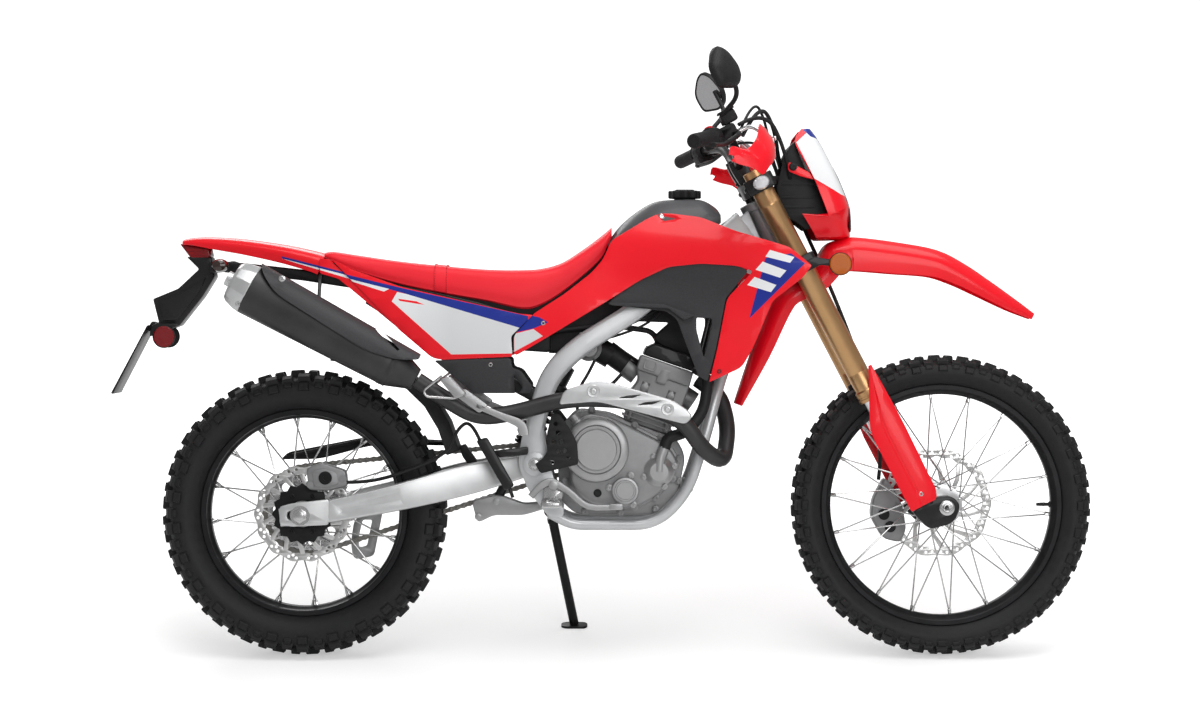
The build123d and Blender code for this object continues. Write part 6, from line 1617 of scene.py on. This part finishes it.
lever = [beam("lever", [(14, 130, 254, 13, 9), (22, 126, 290, 12, 8), (0, 121, 318, 12, 8),
    (-22, 118.5, 345, 11, 8), (-46, 125, 402, 11, 8)], 3.5, 4),
    round_bar("knob", (-44, 396, 124.5), (-49, 408, 126.5), 6.2, 16)]
halves("hand_lever", lever, satin_black, "steering", "black_metal", "controls", place=STEERED)
kill = slab("kill_switch", [(-9, 17), (9, 17), (6, 25), (-6, 25)], 3, 10, 30, 1.5, 2)
kill.data.transform(ALONG_BAR)
park(painted(mirrored(kill, "stop_switch"), red_gloss), "steering", "red_gloss", place=STEERED)
bpy.data.objects.remove(kill)
reservoir = [slab("reservoir", [(4, 158), (40, 158), (40, 184), (4, 184)], 6, -246, -212, 3.0, 2),
             slab("reservoir_lid", [(2, 184), (42, 184), (42, 189), (2, 189)], 2, -248, -210, 1.2)]
fit("brake_reservoir", reservoir, black_moulding, "steering", "black_plastic", place=STEERED)
meter = [slab("meter", [(66, 70), (84, 62), (104, 96), (92, 112)], 7, -58, 58, 5.0, 2),
         slab("bracket", [(70, 78), (86, 66), (36, 28.5), (25, 28.5)], 3, -16, 16, 1.0)]
fit("meter_case", meter, black_moulding, "steering", "black_plastic", "controls", place=STEERED)

#        f     y    s low s high
HAND_GUARD = [(60, 206, 52, 80), (74, 240, 52, 98), (80, 275, 56, 116), (79, 305, 50, 123),
    (72, 345, 42, 121), (60, 372, 35, 106), (46, 390, 29, 95), (26, 402, 21, 86), (14, 409, 42, 88),
    (-8, 417, 62, 106), (-22, 421, 78, 92)]
rows = []
for f, y, low, high in eased(HAND_GUARD, 3):
    tall = high - low
    rows.append([(f - 9, y, low), (f - 1, y, low + 0.22 * tall), (f + 1.4, y, low + 0.5 * tall),
        (f - 0.5, y, low + 0.56 * tall), (f - 2, y, low + 0.8 * tall), (f - 8, y, high)])
shell = edged(skin("hand_guard", rows, 3.0, degrees=28), 0.9, 2, 45)
halves("hand_guard", shell, red_gloss, "steering", "red_gloss", "hand_guards", place=STEERED)
stay = [pipe("stay", [(82, 268, 84), (56, 247, 132), (27, 247, 132)], 5, 14),
    round_bar("stay_bolt", (86, 268, 82), (90.5, 268, 81), 5.5, 12)]
halves("guard_stay", stay, screw_steel, "steering", "steel", place=STEERED)

# ---- Mirrors --------------------------------------------------------------------------------------
# Black moulded shells with a grey glass set in the rear face, each on a bent black stalk.
FACE = [(-50, -12, 16), (-38, -41, 12), (-11, -52, 14), (47, -38, 14), (50, 9, 18), (12, 42, 20),
    (-12, 50, 10), (-36, 31, 20)]
MIRROR_SPOT = Matrix.Translation((58, 330, 269)) @ Matrix.Rotation(math.radians(36), 4, "Z")


def face_rows(depths):
    """The face's outline at several depths, each with a size."""
    outline = rounded(FACE, 14, 4)
    return [[(f, y * size, z * size) for y, z in outline] for f, size in depths]


rows = face_rows(((-9, 0.90), (-12, 0.92), (-12, 0.98), (-9, 1.0), (0, 0.98), (7, 0.86), (11.5, 0.62),
    (13.2, 0.3), (13.5, 0.02)))
shell = skin("mirror_shell", rows, 0, closed=True, ends=True, degrees=50)
rows = face_rows(((-9.2, 0.89), (-10.2, 0.885)))
glass = skin("mirror_glass", rows, 0, closed=True, ends=True)
moved((shell, glass), MIRROR_SPOT)
stalk = pipe("stalk", [(8, 240, 158.5), (8, 240, 180), (62, 276, 202), (64, 302, 262)], 5.4, 26)
foot = round_bar("stalk_nut", (8, 240, 158.5), (8, 240, 170), 9, 6)
halves("mirror", [shell, stalk, foot], black_moulding, "steering", "black_plastic", "mirrors",
    place=STEERED)
mirror_glass = Paint("mirror_glass", (0.42, 0.42, 0.43), 0.06, 0.85).wear(0.02, 20, 0.06)
halves("mirror_glass", glass, mirror_glass, "steering", "clear", place=STEERED)

# ---- Lamps and reflectors -------------------------------------------------------------------------
# Headlamp behind the mask, clear front signals, amber side reflectors on bent brackets; at the tail a
# red lamp, smoked signals and red round reflectors.
lamp = [slab("lamp_body", [(102, -20), (180, -16), (182, -116), (158, -146), (112, -118)], 10, -56, 56,
    6.0, 2), round_bar("lamp_pin", (150, -94.5, -100), (150, 94.5, -100), 8, 20)]
for side in (1, -1):
    lamp.append(slab("lamp_arm", [(44, 18), (60, 18), (112, -16), (104, -30), (56, 2), (44, 2)], 3,
                      side * 30, side * 38, 1.2))
fit("headlamp_body", lamp, black_moulding, "steering", "black_plastic", "front_lamps", place=STEERED)
clear_lens = Paint("clear_lens", (0.75, 0.77, 0.80), 0.07, 0.0, coat_weight=0.6).wear(0.03, 30, 0.10)
amber_lens = Paint("amber_lens", (0.62, 0.15, 0.0), 0.3, coat_weight=0.2)
red_lens = Paint("red_lens", (0.34, 0.004, 0.008), 0.25, coat_weight=0.2)
smoked_lens = Paint("smoked_lens", (0.030, 0.014, 0.010), 0.12, coat_weight=0.8).wear(0.04, 40, 0.3)
for paint, deep in ((amber_lens, (0.40, 0.08, 0.0)), (red_lens, (0.14, 0.002, 0.004))):
    cells = paint.node("TexVoronoi", None, Scale=320)
    paint.set("Base Color", paint.blend(cells * 1.4, paint.colour, deep))
    paint.set("Normal", paint.node("Bump", None, Strength=0.5, Distance=0.0006, Height=cells))


def lens_shell(name, grow, ahead, thick):
    """The bulged face of the headlamp, grown all round and set ahead of the mask."""
    rows = []
    for x, z, half in ((1203 - 0.4 * grow, 1111 + grow, 24), (1213, 1090, 34), (1224, 1064, 41),
            (1235, 1036, 45), (1241, 1015, 46), (1243, 990, 43), (1243.5, 968 - grow, 34)):
        rows.append([(x + ahead - 0.0012 * y * y, y, z)
            for y in [(half + grow) * k / 8 for k in range(-8, 9)]])
    return edged(skin(name, rows, thick, degrees=50), 0.8, 2, 60)


park(painted(lens_shell("headlamp_rim", 3.5, 3.0, 4.0), black_moulding), "steering", "black_plastic")
lamp_glass = Paint("lamp_glass", (0.50, 0.52, 0.55), 0.06, 0.0, coat_weight=0.7)
ribs = lamp_glass.node("TexWave", {"wave_type": "BANDS", "bands_direction": "Y"}, None, Scale=26)
lamp_glass.set("Base Color", lamp_glass.blend(ribs, (0.60, 0.62, 0.65), (0.40, 0.42, 0.45)))
park(painted(lens_shell("headlamp_lens", 0.0, 4.6, 5.0), lamp_glass), "steering", "clear")
BACK = [(1124, 1178), (1108, 1160), (1090, 1130), (1074, 1062), (1090, 1000), (1120, 985), (1142, 968),
    (1190, 990), (1180, 1030), (1150, 1078), (1118, 1158)]
back = slab("lamp_backing", BACK, 5, 60, 64, 1.2)
rim = slab("meter_hood", [(1126, 1180), (1104, 1158), (1086, 1124), (1090, 1118), (1112, 1150),
    (1128, 1170)], 3, -62, 62, 1.0)
vents = [slab("lamp_rib", [(1088, z + 5), (1160, z + 5), (1160, z), (1086, z)], 2, 56, 66, 0.6)
    for z in (1018, 1040, 1070)]
halves("lamp_backing", [back] + vents, black_moulding, "steering", "black_plastic")
park(painted(rim, black_moulding), "steering", "black_plastic")

SIGNAL = [(0.01, 0), (7.5, 0), (8, 20), (12, 24), (18, 30), (19, 36), (19, 39), (0.01, 39)]
SIGNAL_LENS = [(0.01, 39), (18.4, 39), (18.6, 55), (15, 65), (7, 69), (0.01, 69.6)]
DISC = [(0.01, 0), (26, 0), (26, 3), (24.5, 3.4), (24.5, 2.6), (0.01, 2.6)]
DISC_LENS = [(0.01, 2.6), (24.2, 2.6), (24.2, 4.6), (22, 6.4), (0.01, 7.2)]


def side_fitting(name, profile, x, z, y, paint, body, slot, *nodes, place=LEANED, squash=1.0):
    """A round fitting that looks outwards on both sides."""
    piece = lathe(name, [(r, y + out) for r, out in profile], 40)
    piece.data.transform(Matrix.Translation((x, 0, z)) @ Matrix.Diagonal((1, 1, squash, 1)))
    halves(name, piece, paint, body, slot, *nodes, place=place)


side_fitting("front_signal", SIGNAL, 24, 10, 126.5, black_moulding, "steering", "black_plastic",
    "front_lamps", place=STEERED, squash=0.8)
side_fitting("front_signal_lens", SIGNAL_LENS, 24, 10, 126.5, clear_lens, "steering", "clear",
    place=STEERED, squash=0.8)
side_fitting("side_reflector", DISC, 101, -233, 128.4, black_moulding, "steering", "black_plastic",
    "front_lamps", place=STEERED)
side_fitting("side_reflector_lens", DISC_LENS, 101, -233, 128.4, amber_lens, "steering", "clear",
    place=STEERED)
side_fitting("rear_signal", [(r, y * 1.3) for r, y in SIGNAL], -180, 886, 64, black_moulding, "chassis",
    "black_plastic", "rear_lamps", squash=0.8)
side_fitting("rear_signal_lens", [(r, y + 12.2) for r, y in SIGNAL_LENS], -180, 886, 64, smoked_lens,
    "chassis", "clear", squash=0.8)
side_fitting("rear_reflector", DISC, -319, 726, 34.5, black_moulding, "chassis", "black_plastic",
    "rear_lamps")
side_fitting("rear_reflector_lens", DISC_LENS, -319, 726, 34.5, red_lens, "chassis", "red_lens")
BRACKET = [(20, -192), (20, -213), (60, -214), (99, -240), (99, -224), (56, -191)]
halves("reflector_bracket", slab("reflector_bracket", BRACKET, 5, 126.3, 128.6, 0.6), satin_black,
    "steering", "black_metal", place=STEERED)
tail_lamp = slab("tail_lamp", [(-284, 938), (-217, 929), (-213, 910), (-232, 880), (-262, 909)], 4,
    -32.5, 32.5, 4.0, 2)
park(painted(tail_lamp, red_lens), "chassis", "red_lens", "rear_lamps")

# ---- Hoses and cables -----------------------------------------------------------------------------
# The brake hose and the control cables loop ahead of the bar, all held at both ends.


def cable(name, points, radius):
    """A smooth round line held at both ends."""
    curve = round_line(name, "NURBS", points, radius, 3)
    spline = curve.splines[0]
    spline.order_u, spline.use_endpoint_u, spline.resolution_u = 3, True, 8
    return soften(tidy_mesh(from_curve(name, curve)), 60)


#          radius  points
ROUTES = [(4.5, [(34, -236, 146), (104, -190, 150), (112, -120, 60), (84, -20, -60), (82, 70, -120),
                 (78, 80, -240), (60, 70, SEAL_S + 111), (24, 62, SEAL_S - 109),
                 (AXLE_F - 95, 64, AXLE_S + 108.4)]),                                  # brake
          (4.5, [(34, 236, 146), (100, 190, 160), (112, 110, 70), (86, 50, -20), (78, 30, -130)]),
          (4.5, [(30, -246, 120), (104, -160, 172), (118, -70, 110), (86, 6, 10), (78, 14, -130)]),
          (3.2, [(30, -238, 132), (96, -168, 186), (104, -90, 130), (76, -20, 30), (70, -8, -120)]),
          (3.2, [(20, 236, 128), (84, 196, 120), (96, 120, 50), (76, 60, -20), (70, 42, -120)])]
lines = [cable("line", points, radius) for radius, points in ROUTES]
fit("control_cables", lines, hose_rubber, "steering", "rubber", "cables", place=STEERED)

# ---- Shock absorber and linkage -------------------------------------------------------------------
# A single damper under the seat with a black coil spring, standing on a forged rising-rate link.
SHOCK_TOP, SHOCK_FOOT = Vector((600, 0, 665)), Vector((437, 0, 350))
REACH = (SHOCK_TOP - SHOCK_FOOT).length
ALONG_SHOCK = (SHOCK_TOP - SHOCK_FOOT).to_track_quat("Z", "Y").to_matrix().to_4x4()
ON_SHOCK = Matrix.Translation(SHOCK_FOOT) @ ALONG_SHOCK
spring_black = Paint("spring_black", (0.016, 0.016, 0.017), 0.34).wear(0.06, 40, 0.3)
coil, around, ACROSS = [], 8, 26
for i in range(8 * ACROSS + 1):
    turn, rise = 2 * math.pi * i / ACROSS, REACH * (0.42 + 0.40 * i / (8 * ACROSS))
    for k in range(around):
        swing = 2 * math.pi * k / around
        radius = 24.5 + 4.4 * math.cos(swing)
        coil.append((radius * math.cos(turn), radius * math.sin(turn), rise + 4.4 * math.sin(swing)))
faces = [(i * around + k, i * around + (k + 1) % around, (i + 1) * around + (k + 1) % around,
    (i + 1) * around + k) for i in range(8 * ACROSS) for k in range(around)]
spring = soften(drawn("coil", coil, [], faces), 60)
shock = [spring, upright_lathe("body", [(0.01, REACH * 0.80), (20, REACH * 0.80), (29, REACH * 0.815),
    (29, REACH * 0.85), (22, REACH * 0.86), (22, REACH * 0.98), (0.01, REACH)], 0, 0, 36),
    upright_lathe("rod", [(0.01, 0), (10.8, 0), (10.8, REACH * 0.8), (0.01, REACH * 0.8)], 0, 0, 24),
    upright_lathe("seat_ring", [(10.9, REACH * 0.40), (27, REACH * 0.40), (29, REACH * 0.415),
    (10.9, REACH * 0.415)], 0, 0, 36)]
moved(shock, ON_SHOCK)
shock.append(across(600, 665, -26, 26, 14, 24))
LINK = [(381, 351), (394, 300, 12), (431, 318), (500, 318, 14), (556, 335, 8), (556, 350, 8),
    (500, 345, 10), (442, 366, 14)]
link = slab("rising_link", LINK, 10, -17.5, 17.5, 3.0, 2)
fit("shock_absorber", shock, spring_black, "chassis", "black_metal", "shock")
link_pins = [across(x, z, -20, 20, 8, 16) for x, z in ((396, 315), (437, 350), (548, 342))]
fit("rising_link", [link] + link_pins, cast_light, "chassis", "alloy")

# ---- Rear brake -----------------------------------------------------------------------------------
# Single-piston caliper on the swingarm, its master cylinder inside the pivot plate and a black hose.
REAR_CALIPER = [(16, 380), (10, 430, 14), (47, 442), (100, 424), (104, 389, 8), (60, 378)]
caliper = [slab("caliper", REAR_CALIPER, 8, -93.5, -54.5, 4.0, 2),
    slab("face", [(28, 388), (24, 424), (50, 430), (80, 420), (84, 394), (58, 386)], 7, -96, -90, 1.6)]
caliper = carve(joined("rear_caliper", caliper),
    round_bar("disc_room", (0, -75.3, 325), (0, -65.7, 325), 118, 64))
caliper = joined("rear_caliper", [caliper, bolt("pin", 20, 392, -96, -90, 6),
    bolt("pin", 94, 406, -96, -90, 6)])
park(painted(caliper, cast_grey), "chassis", "engine_grey", "rear_brake")
cap = turned_at("piston_cap", [(0.01, -96), (15, -96), (15, -99), (12.5, -101), (5, -101),
    (5, -99.5), (0.01, -99.5)], 54, 408, 28)
park(painted(cap, black_anodised), "chassis", "black_metal")
master = [slab("master_lug", [(430, 470), (512, 480), (512, 462), (448, 455)], 5, -126, -110.5, 1.5),
    slab("master_cylinder", [(395, 494), (420, 502), (482, 392), (460, 382)], 7, -139.5, -124.5, 3.0,
    2), round_bar("master_rod", (470, -132, 388), (478, -132, 366), 4, 12)]
fit("rear_master_cylinder", master, satin_black, "chassis", "black_metal")
brake_line = cable("rear_brake_hose", [(404, -132, 494), (384, -126, 540), (352, -112, 520),
    (330, -100, 460), (200, -92, 408), (120, -88, 396), (84, -82, 398)], 4)
park(painted(brake_line, hose_rubber), "chassis", "rubber")

# ---- Foot controls --------------------------------------------------------------------------------
# Serrated steel pegs on welded brackets, forged pedal and gear lever, folded passenger pegs and the
# perforated heel guard.
peg = [slab("peg_bracket", [(545, 395), (592, 385), (585, 340), (550, 345)], 7, 110.4, 128, 2.0),
    plan_plate("peg_tread", [rounded([(541, 119), (541, 198), (550, 205), (582, 205), (591, 198),
    (591, 119)], 4), rounded([(551, 128), (551, 158), (581, 158), (581, 128)], 4),
    rounded([(551, 166), (551, 194), (581, 194), (581, 166)], 4)], 347, 359, 1.2)]
for k in range(8):
    for x in (546, 586):
        peg.append(round_bar("tooth", (x, 124 + 10.4 * k, 357), (x, 124 + 10.4 * k, 363.5), 4.2, 4,
            1.6))
peg.append(round_bar("peg_pin", (548, 116, 352), (584, 116, 352), 5.5, 16))
halves("foot_peg", peg, spoke_steel, "chassis", "steel", "foot_controls")
pillion = [beam("hanger_arm", [(398, 574, 178, 14, 7), (450, 552, 178, 15, 7), (496, 532, 178, 20, 7),
    (503, 508, 178, 24, 7)], 3, 4), across(500, 520, 110.5, 176, 11.5, 24),
    slab("folded_peg", [(316, 633), (340, 640), (378, 600), (353, 588)], 7, 176.5, 202, 4.0, 2),
    slab("peg_link", [(345, 600), (372, 612), (425, 574), (405, 556)], 7, 174.5, 181.5, 1.6)]
halves("passenger_peg", pillion, cast_light, "chassis", "alloy", "foot_controls")
halves("strap_loop", pipe("strap_loop", [(372, 192, 603), (352, 192, 590), (287, 192, 594),
    (281, 192, 608), (322, 192, 640)], 3, 12), spoke_steel, "chassis", "steel")
PEDAL = [(716, 346, 143, 12, 12), (648, 347, 143, 14, 12), (604, 380, 143, 15, 12),
    (569, 400, 143, 18, 12), (545, 396, 143, 16, 12), (518, 369, 143, 15, 12)]
pedal = beam("pedal", PEDAL, 3.5, 4)
pedal.data.transform(Matrix.Diagonal((1, -1, 1, 1)))
tread = slab("pedal_tread", [(694, 339), (724, 339), (724, 353), (694, 353)], 4, -151, -131, 1.5)
fit("brake_pedal", [tidy_mesh(pedal), tread, across(569, 395, -152, -128.5, 10.5, 20)], cast_light,
    "chassis", "alloy", "foot_controls")
lever = [beam("gear_lever", [(648, 372, 127, 20, 10), (670, 380, 127, 13, 10), (712, 397, 127, 12, 10),
    (738, 408, 127, 14, 10)], 3, 4), across(648, 372, 62.5, 131, 6.8, 20),
    round_bar("gear_toe", (735, 118, 407), (735, 152, 407), 8.5, 20)]
fit("gear_lever", lever, cast_light, "chassis", "alloy", "foot_controls")
HEEL = [(565, 555), (582, 554), (604, 524, 14), (622, 490), (625, 441), (540, 421), (528, 441),
    (545, 455, 10), (556, 470, 8), (554, 509)]
holes = [ring(5.2, 12, x, z) for x, z in ((574, 532), (579, 512), (586, 492), (594, 472), (602, 455),
    (570, 492), (580, 470), (566, 446))]
heel = plate("heel_guard", [rounded(HEEL, 6)] + holes, 142, 146, 0.8)
foot = [round_bar("heel_post", (x, 112, z), (x, 142, z), 6, 16) for x, z in ((572, 500), (602, 462))]
halves("heel_guard", [heel] + foot, black_moulding, "chassis", "black_plastic")

# ---- Chain drive ----------------------------------------------------------------------------------
# Roller chain of waisted side plates on pins, a small sprocket behind its cover and the black guards.
PITCH, CHAIN_Y = 15.875, 74  # from pin to pin, and how far left the chain runs
BIG, SMALL = (0.0, 325, 101.17), (597, 449, 35.67)  # x, z and pitch radius of each sprocket


def chain_path():
    """Where every chain pin sits, round both sprockets."""
    span = math.hypot(SMALL[0] - BIG[0], SMALL[1] - BIG[1])
    lie = math.atan2(SMALL[1] - BIG[1], SMALL[0] - BIG[0])
    lean = math.acos((BIG[2] - SMALL[2]) / span)
    points = []
    for x, z, r, start, stop in ((*SMALL, lie + lean, lie - lean),
            (*BIG, lie - lean, lie + lean - 2 * math.pi)):
        for k in range(33):
            angle = start + (stop - start) * k / 32
            points.append(Vector((x + r * math.cos(angle), CHAIN_Y, z + r * math.sin(angle))))
    points.append(points[0])
    lengths = [(b - a).length for a, b in zip(points, points[1:])]
    total = sum(lengths)
    links = round(total / PITCH / 2) * 2
    pins, walked, at = [], 0.0, 0
    for k in range(links):
        goal = total * k / links
        while walked + lengths[at] < goal:
            walked += lengths[at]
            at += 1
        pins.append(points[at].lerp(points[at + 1], (goal - walked) / lengths[at]))
    return pins


pins = chain_path()
chain = []
for k, (start, stop) in enumerate(zip(pins, pins[1:] + pins[:1])):
    run = stop - start
    lie, middle = math.atan2(run.z, run.x), (start + stop) / 2
    half, inner = run.length / 2, k % 2
    waist = [(-half, 6.4), (-half - 4.6, 4.2), (-half - 6.2, 0), (-half - 4.6, -4.2), (-half, -6.4),
        (0, -4.6), (half, -6.4), (half + 4.6, -4.2), (half + 6.2, 0), (half + 4.6, 4.2), (half, 6.4),
        (0, 4.6)]
    if k % 2:
        waist = [(x, 0.96 * z) for x, z in waist]
    for side in (1, -1):
        offset = side * (3.9 if inner else 5.6)
        link = drawn("plate", [(x, offset + y, z) for y in (-0.8, 0.8) for x, z in waist], [],
            [tuple(range(12)), tuple(range(12, 24))]
            + [(i, (i + 1) % 12, 12 + (i + 1) % 12, 12 + i) for i in range(12)])
        link.data.transform(Matrix.Translation(middle) @ Matrix.Rotation(-lie, 4, "Y"))
        chain.append(link)
    chain.append(round_bar("roller", (start.x, CHAIN_Y - 6.8, start.z),
        (start.x, CHAIN_Y + 6.8, start.z), 3.4, 10))
chain = tidy_mesh(joined("drive_chain", chain))
chain_steel = Paint("chain_steel", (0.30, 0.29, 0.27), 0.36, 0.9).wear(0.12, 120, 0.35)
park(painted(chain, chain_steel), "chassis", "steel", "chain")


def sprocket(name, teeth, x, z, pitch_radius, bore, y_from, y_to, windows):
    """Toothed wheel with round windows cut through its web."""
    outline = []
    for k in range(teeth * 8):
        reach = (-3.6, -2.6, 0.6, 3.6, 4.4, 3.6, 0.6, -2.6)[k % 8]
        angle = 2 * math.pi * k / (teeth * 8)
        outline.append((x + (pitch_radius + reach) * math.cos(angle),
            z + (pitch_radius + reach) * math.sin(angle)))
    return plate(name, [outline, ring(bore, 48, x, z)] + windows, y_from, y_to, 0.5)


TOOTH_Y = (71.2, 76.8)
holes = [ring(11, 20, *about(72, degrees, *BIG[:2])) for degrees in range(0, 360, 45)]
big = sprocket("rear_sprocket", 40, *BIG, 50.2, *TOOTH_Y, holes)
bolts = [bolt("sprocket_bolt", *about(58, degrees, *BIG[:2]), 76, 80.5, 6)
    for degrees in range(30, 360, 60)]
fit("rear_sprocket_toothed", [big] + bolts, spoke_steel, "rear_wheel", "steel", "rear_sprocket")
small = sprocket("front_sprocket", 14, *SMALL, 13, *TOOTH_Y, [])
park(painted(small, spoke_steel), "chassis", "steel", "front_sprocket")

GUARD = [(-66, 440, 6), (-50, 457, 10), (139, 494, 30), (330, 484, 6), (330, 472, 6), (148, 474, 30),
    (24, 441, 20)]
guard = [slab("chain_guard", GUARD, 8, 86.3, 91.7, 1.4, 2),
    slab("lip", [(-40, 454), (136, 491), (322, 482), (322, 479), (138, 486), (-30, 450)], 2, 66, 88,
    0.5), slab("guard_foot", [(205, 486), (232, 486), (232, 400), (205, 400)], 3, 91, 95, 0.8)]
fit("chain_guard_moulding", guard, black_moulding, "chassis", "black_plastic", "chain_guard")
guide = plate("chain_guide", [rounded([(171, 322), (150, 216, 10), (103, 207, 14), (96, 245, 16),
    (104, 300, 12), (140, 322)], 6), rounded([(146, 300), (134, 240), (116, 236), (114, 258),
    (124, 300)], 5)], 86.3, 91, 1.0)
guide_tab = slab("guide_tab", [(140, 340), (165, 340), (165, 305), (140, 305)], 3, 90.2, 102, 0.8)
fit("chain_guide", [guide, guide_tab], cast_light, "chassis", "alloy")
COVER = [(572, 500), (620, 512), (660, 470), (650, 400), (606, 390), (582, 430)]
cover = [slab("sprocket_cover", COVER, 12, 87, 117, 5.0, 2),
    slab("cover_face", [(592, 482), (618, 490), (642, 464), (636, 418), (608, 410), (596, 440)], 9, 116,
    119.5, 1.2)]
cover += [bolt("cover_bolt", x, z, 117, 121, 5) for x, z in ((584, 492), (650, 466), (612, 402))]
fit("sprocket_cover", cover, black_moulding, "chassis", "black_plastic")

# ---- Rear hanger, lamp plate and splash guards ----------------------------------------------------
# Creased black hanger under the tail with the lamp seat and plate bracket, and the guard that
# rides with the swingarm close to the tyre.
HANGER = [(-212, 908), (-204, 862), (-232, 817), (-285, 750), (-330, 752), (-345, 812), (-287, 836),
    (-240, 880), (-268, 908)]
hanger = [slab("hanger", HANGER, 4, -33.5, 33.5, 4.0, 2),
    slab("crease", [(-222, 862), (-240, 826), (-288, 764), (-322, 764), (-332, 806), (-282, 826)], 5,
    -36, 36, 2.0), slab("lamp_seat", [(-215, 895), (-171, 897), (-171, 877), (-215, 871)], 3, -42, 42,
    2.0), slab("plate_block", [(-350, 750), (-300, 775), (-285, 751), (-352, 726)], 4, -33.5, 33.5,
    2.0)]
board = slab("number_board", [(-350, 753), (-354.5, 751), (-436, 598), (-431.5, 596)], 1, -60, 60, 0.8)
fit("rear_hanger", hanger + [board], satin_black, "chassis", "black_plastic", "rear_fender")
plate_lamp = slab("plate_lamp", [(-362, 742), (-348, 762), (-336, 756), (-344, 734)], 4, -24, 24, 3.0,
    2)
park(painted(plate_lamp, black_moulding), "chassis", "black_plastic")

HUGGER = []
for degrees, lift, half in ((80, 0, 56), (72, 5, 58), (59.8, 12, 60), (50, 15, 60), (41.5, 15, 60),
        (32, 9, 59), (22, 0, 57)):
    angle = math.radians(degrees)
    row, r = [], 386 + lift
    for y, drop in ((-1.0, 34), (-0.98, 20), (-0.86, 5), (-0.5, 0.6), (0, 0), (0.5, 0.6), (0.86, 5),
            (0.98, 20), (1.0, 34)):
        row.append(((r - drop) * math.cos(angle), y * half, 325 + (r - drop) * math.sin(angle)))
    HUGGER.append(row)
hugger = edged(skin("hugger", HUGGER, 3.0, degrees=40), 0.9, 2, 45)
foot = slab("hugger_foot", [(352, 476), (366, 480), (394, 440), (394, 433), (374, 433), (360, 452)], 3,
    -22, 22, 1.5)
fit("hugger", [hugger, foot], black_moulding, "chassis", "black_plastic", "hugger")

# ---- Side stand -----------------------------------------------------------------------------------
# Black steel leg on a bolted pivot, swung out to carry the machine, with a stamped foot.
low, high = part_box("side_stand")
FOOT_X, FOOT_Y = high.x - 0.0312, high.y - 0.0208
STAND_PIVOT, STAND_FOOT = Vector((560, 127, 318)), LEANED.inverted() @ Vector((FOOT_X, FOOT_Y, 0.006))
DOWN = (STAND_FOOT - STAND_PIVOT).normalized()
HINGE = DOWN.cross(Vector((-1.0, 0.22, 0.06))).normalized()
stand = [round_bar("eye", STAND_PIVOT - HINGE * 7, STAND_PIVOT + HINGE * 7, 15, 32),
         round_bar("neck", STAND_PIVOT + DOWN * 8, STAND_PIVOT + DOWN * 30, 6.5, 16),
         round_bar("leg", STAND_PIVOT + DOWN * 20, STAND_FOOT, 10.8, 20),
         round_bar("collar", STAND_PIVOT + DOWN * 18, STAND_PIVOT + DOWN * 30, 12.6, 20)]
pad = plan_plate("foot", [rounded([(-31, -12), (-20, -20.5), (24, -20.5), (31, -10), (31, 10),
    (24, 20.5), (-20, 20.5), (-31, 12)], 5)], 0.2, 5.8, 1.4)
pad.data.transform(LEANED.inverted() @ Matrix.Translation((FOOT_X, FOOT_Y, 0)) @ Matrix.Scale(MM, 4))
fit("side_stand_leg", stand + [pad], black_steel, "side_stand", "black_metal", "side_stand")
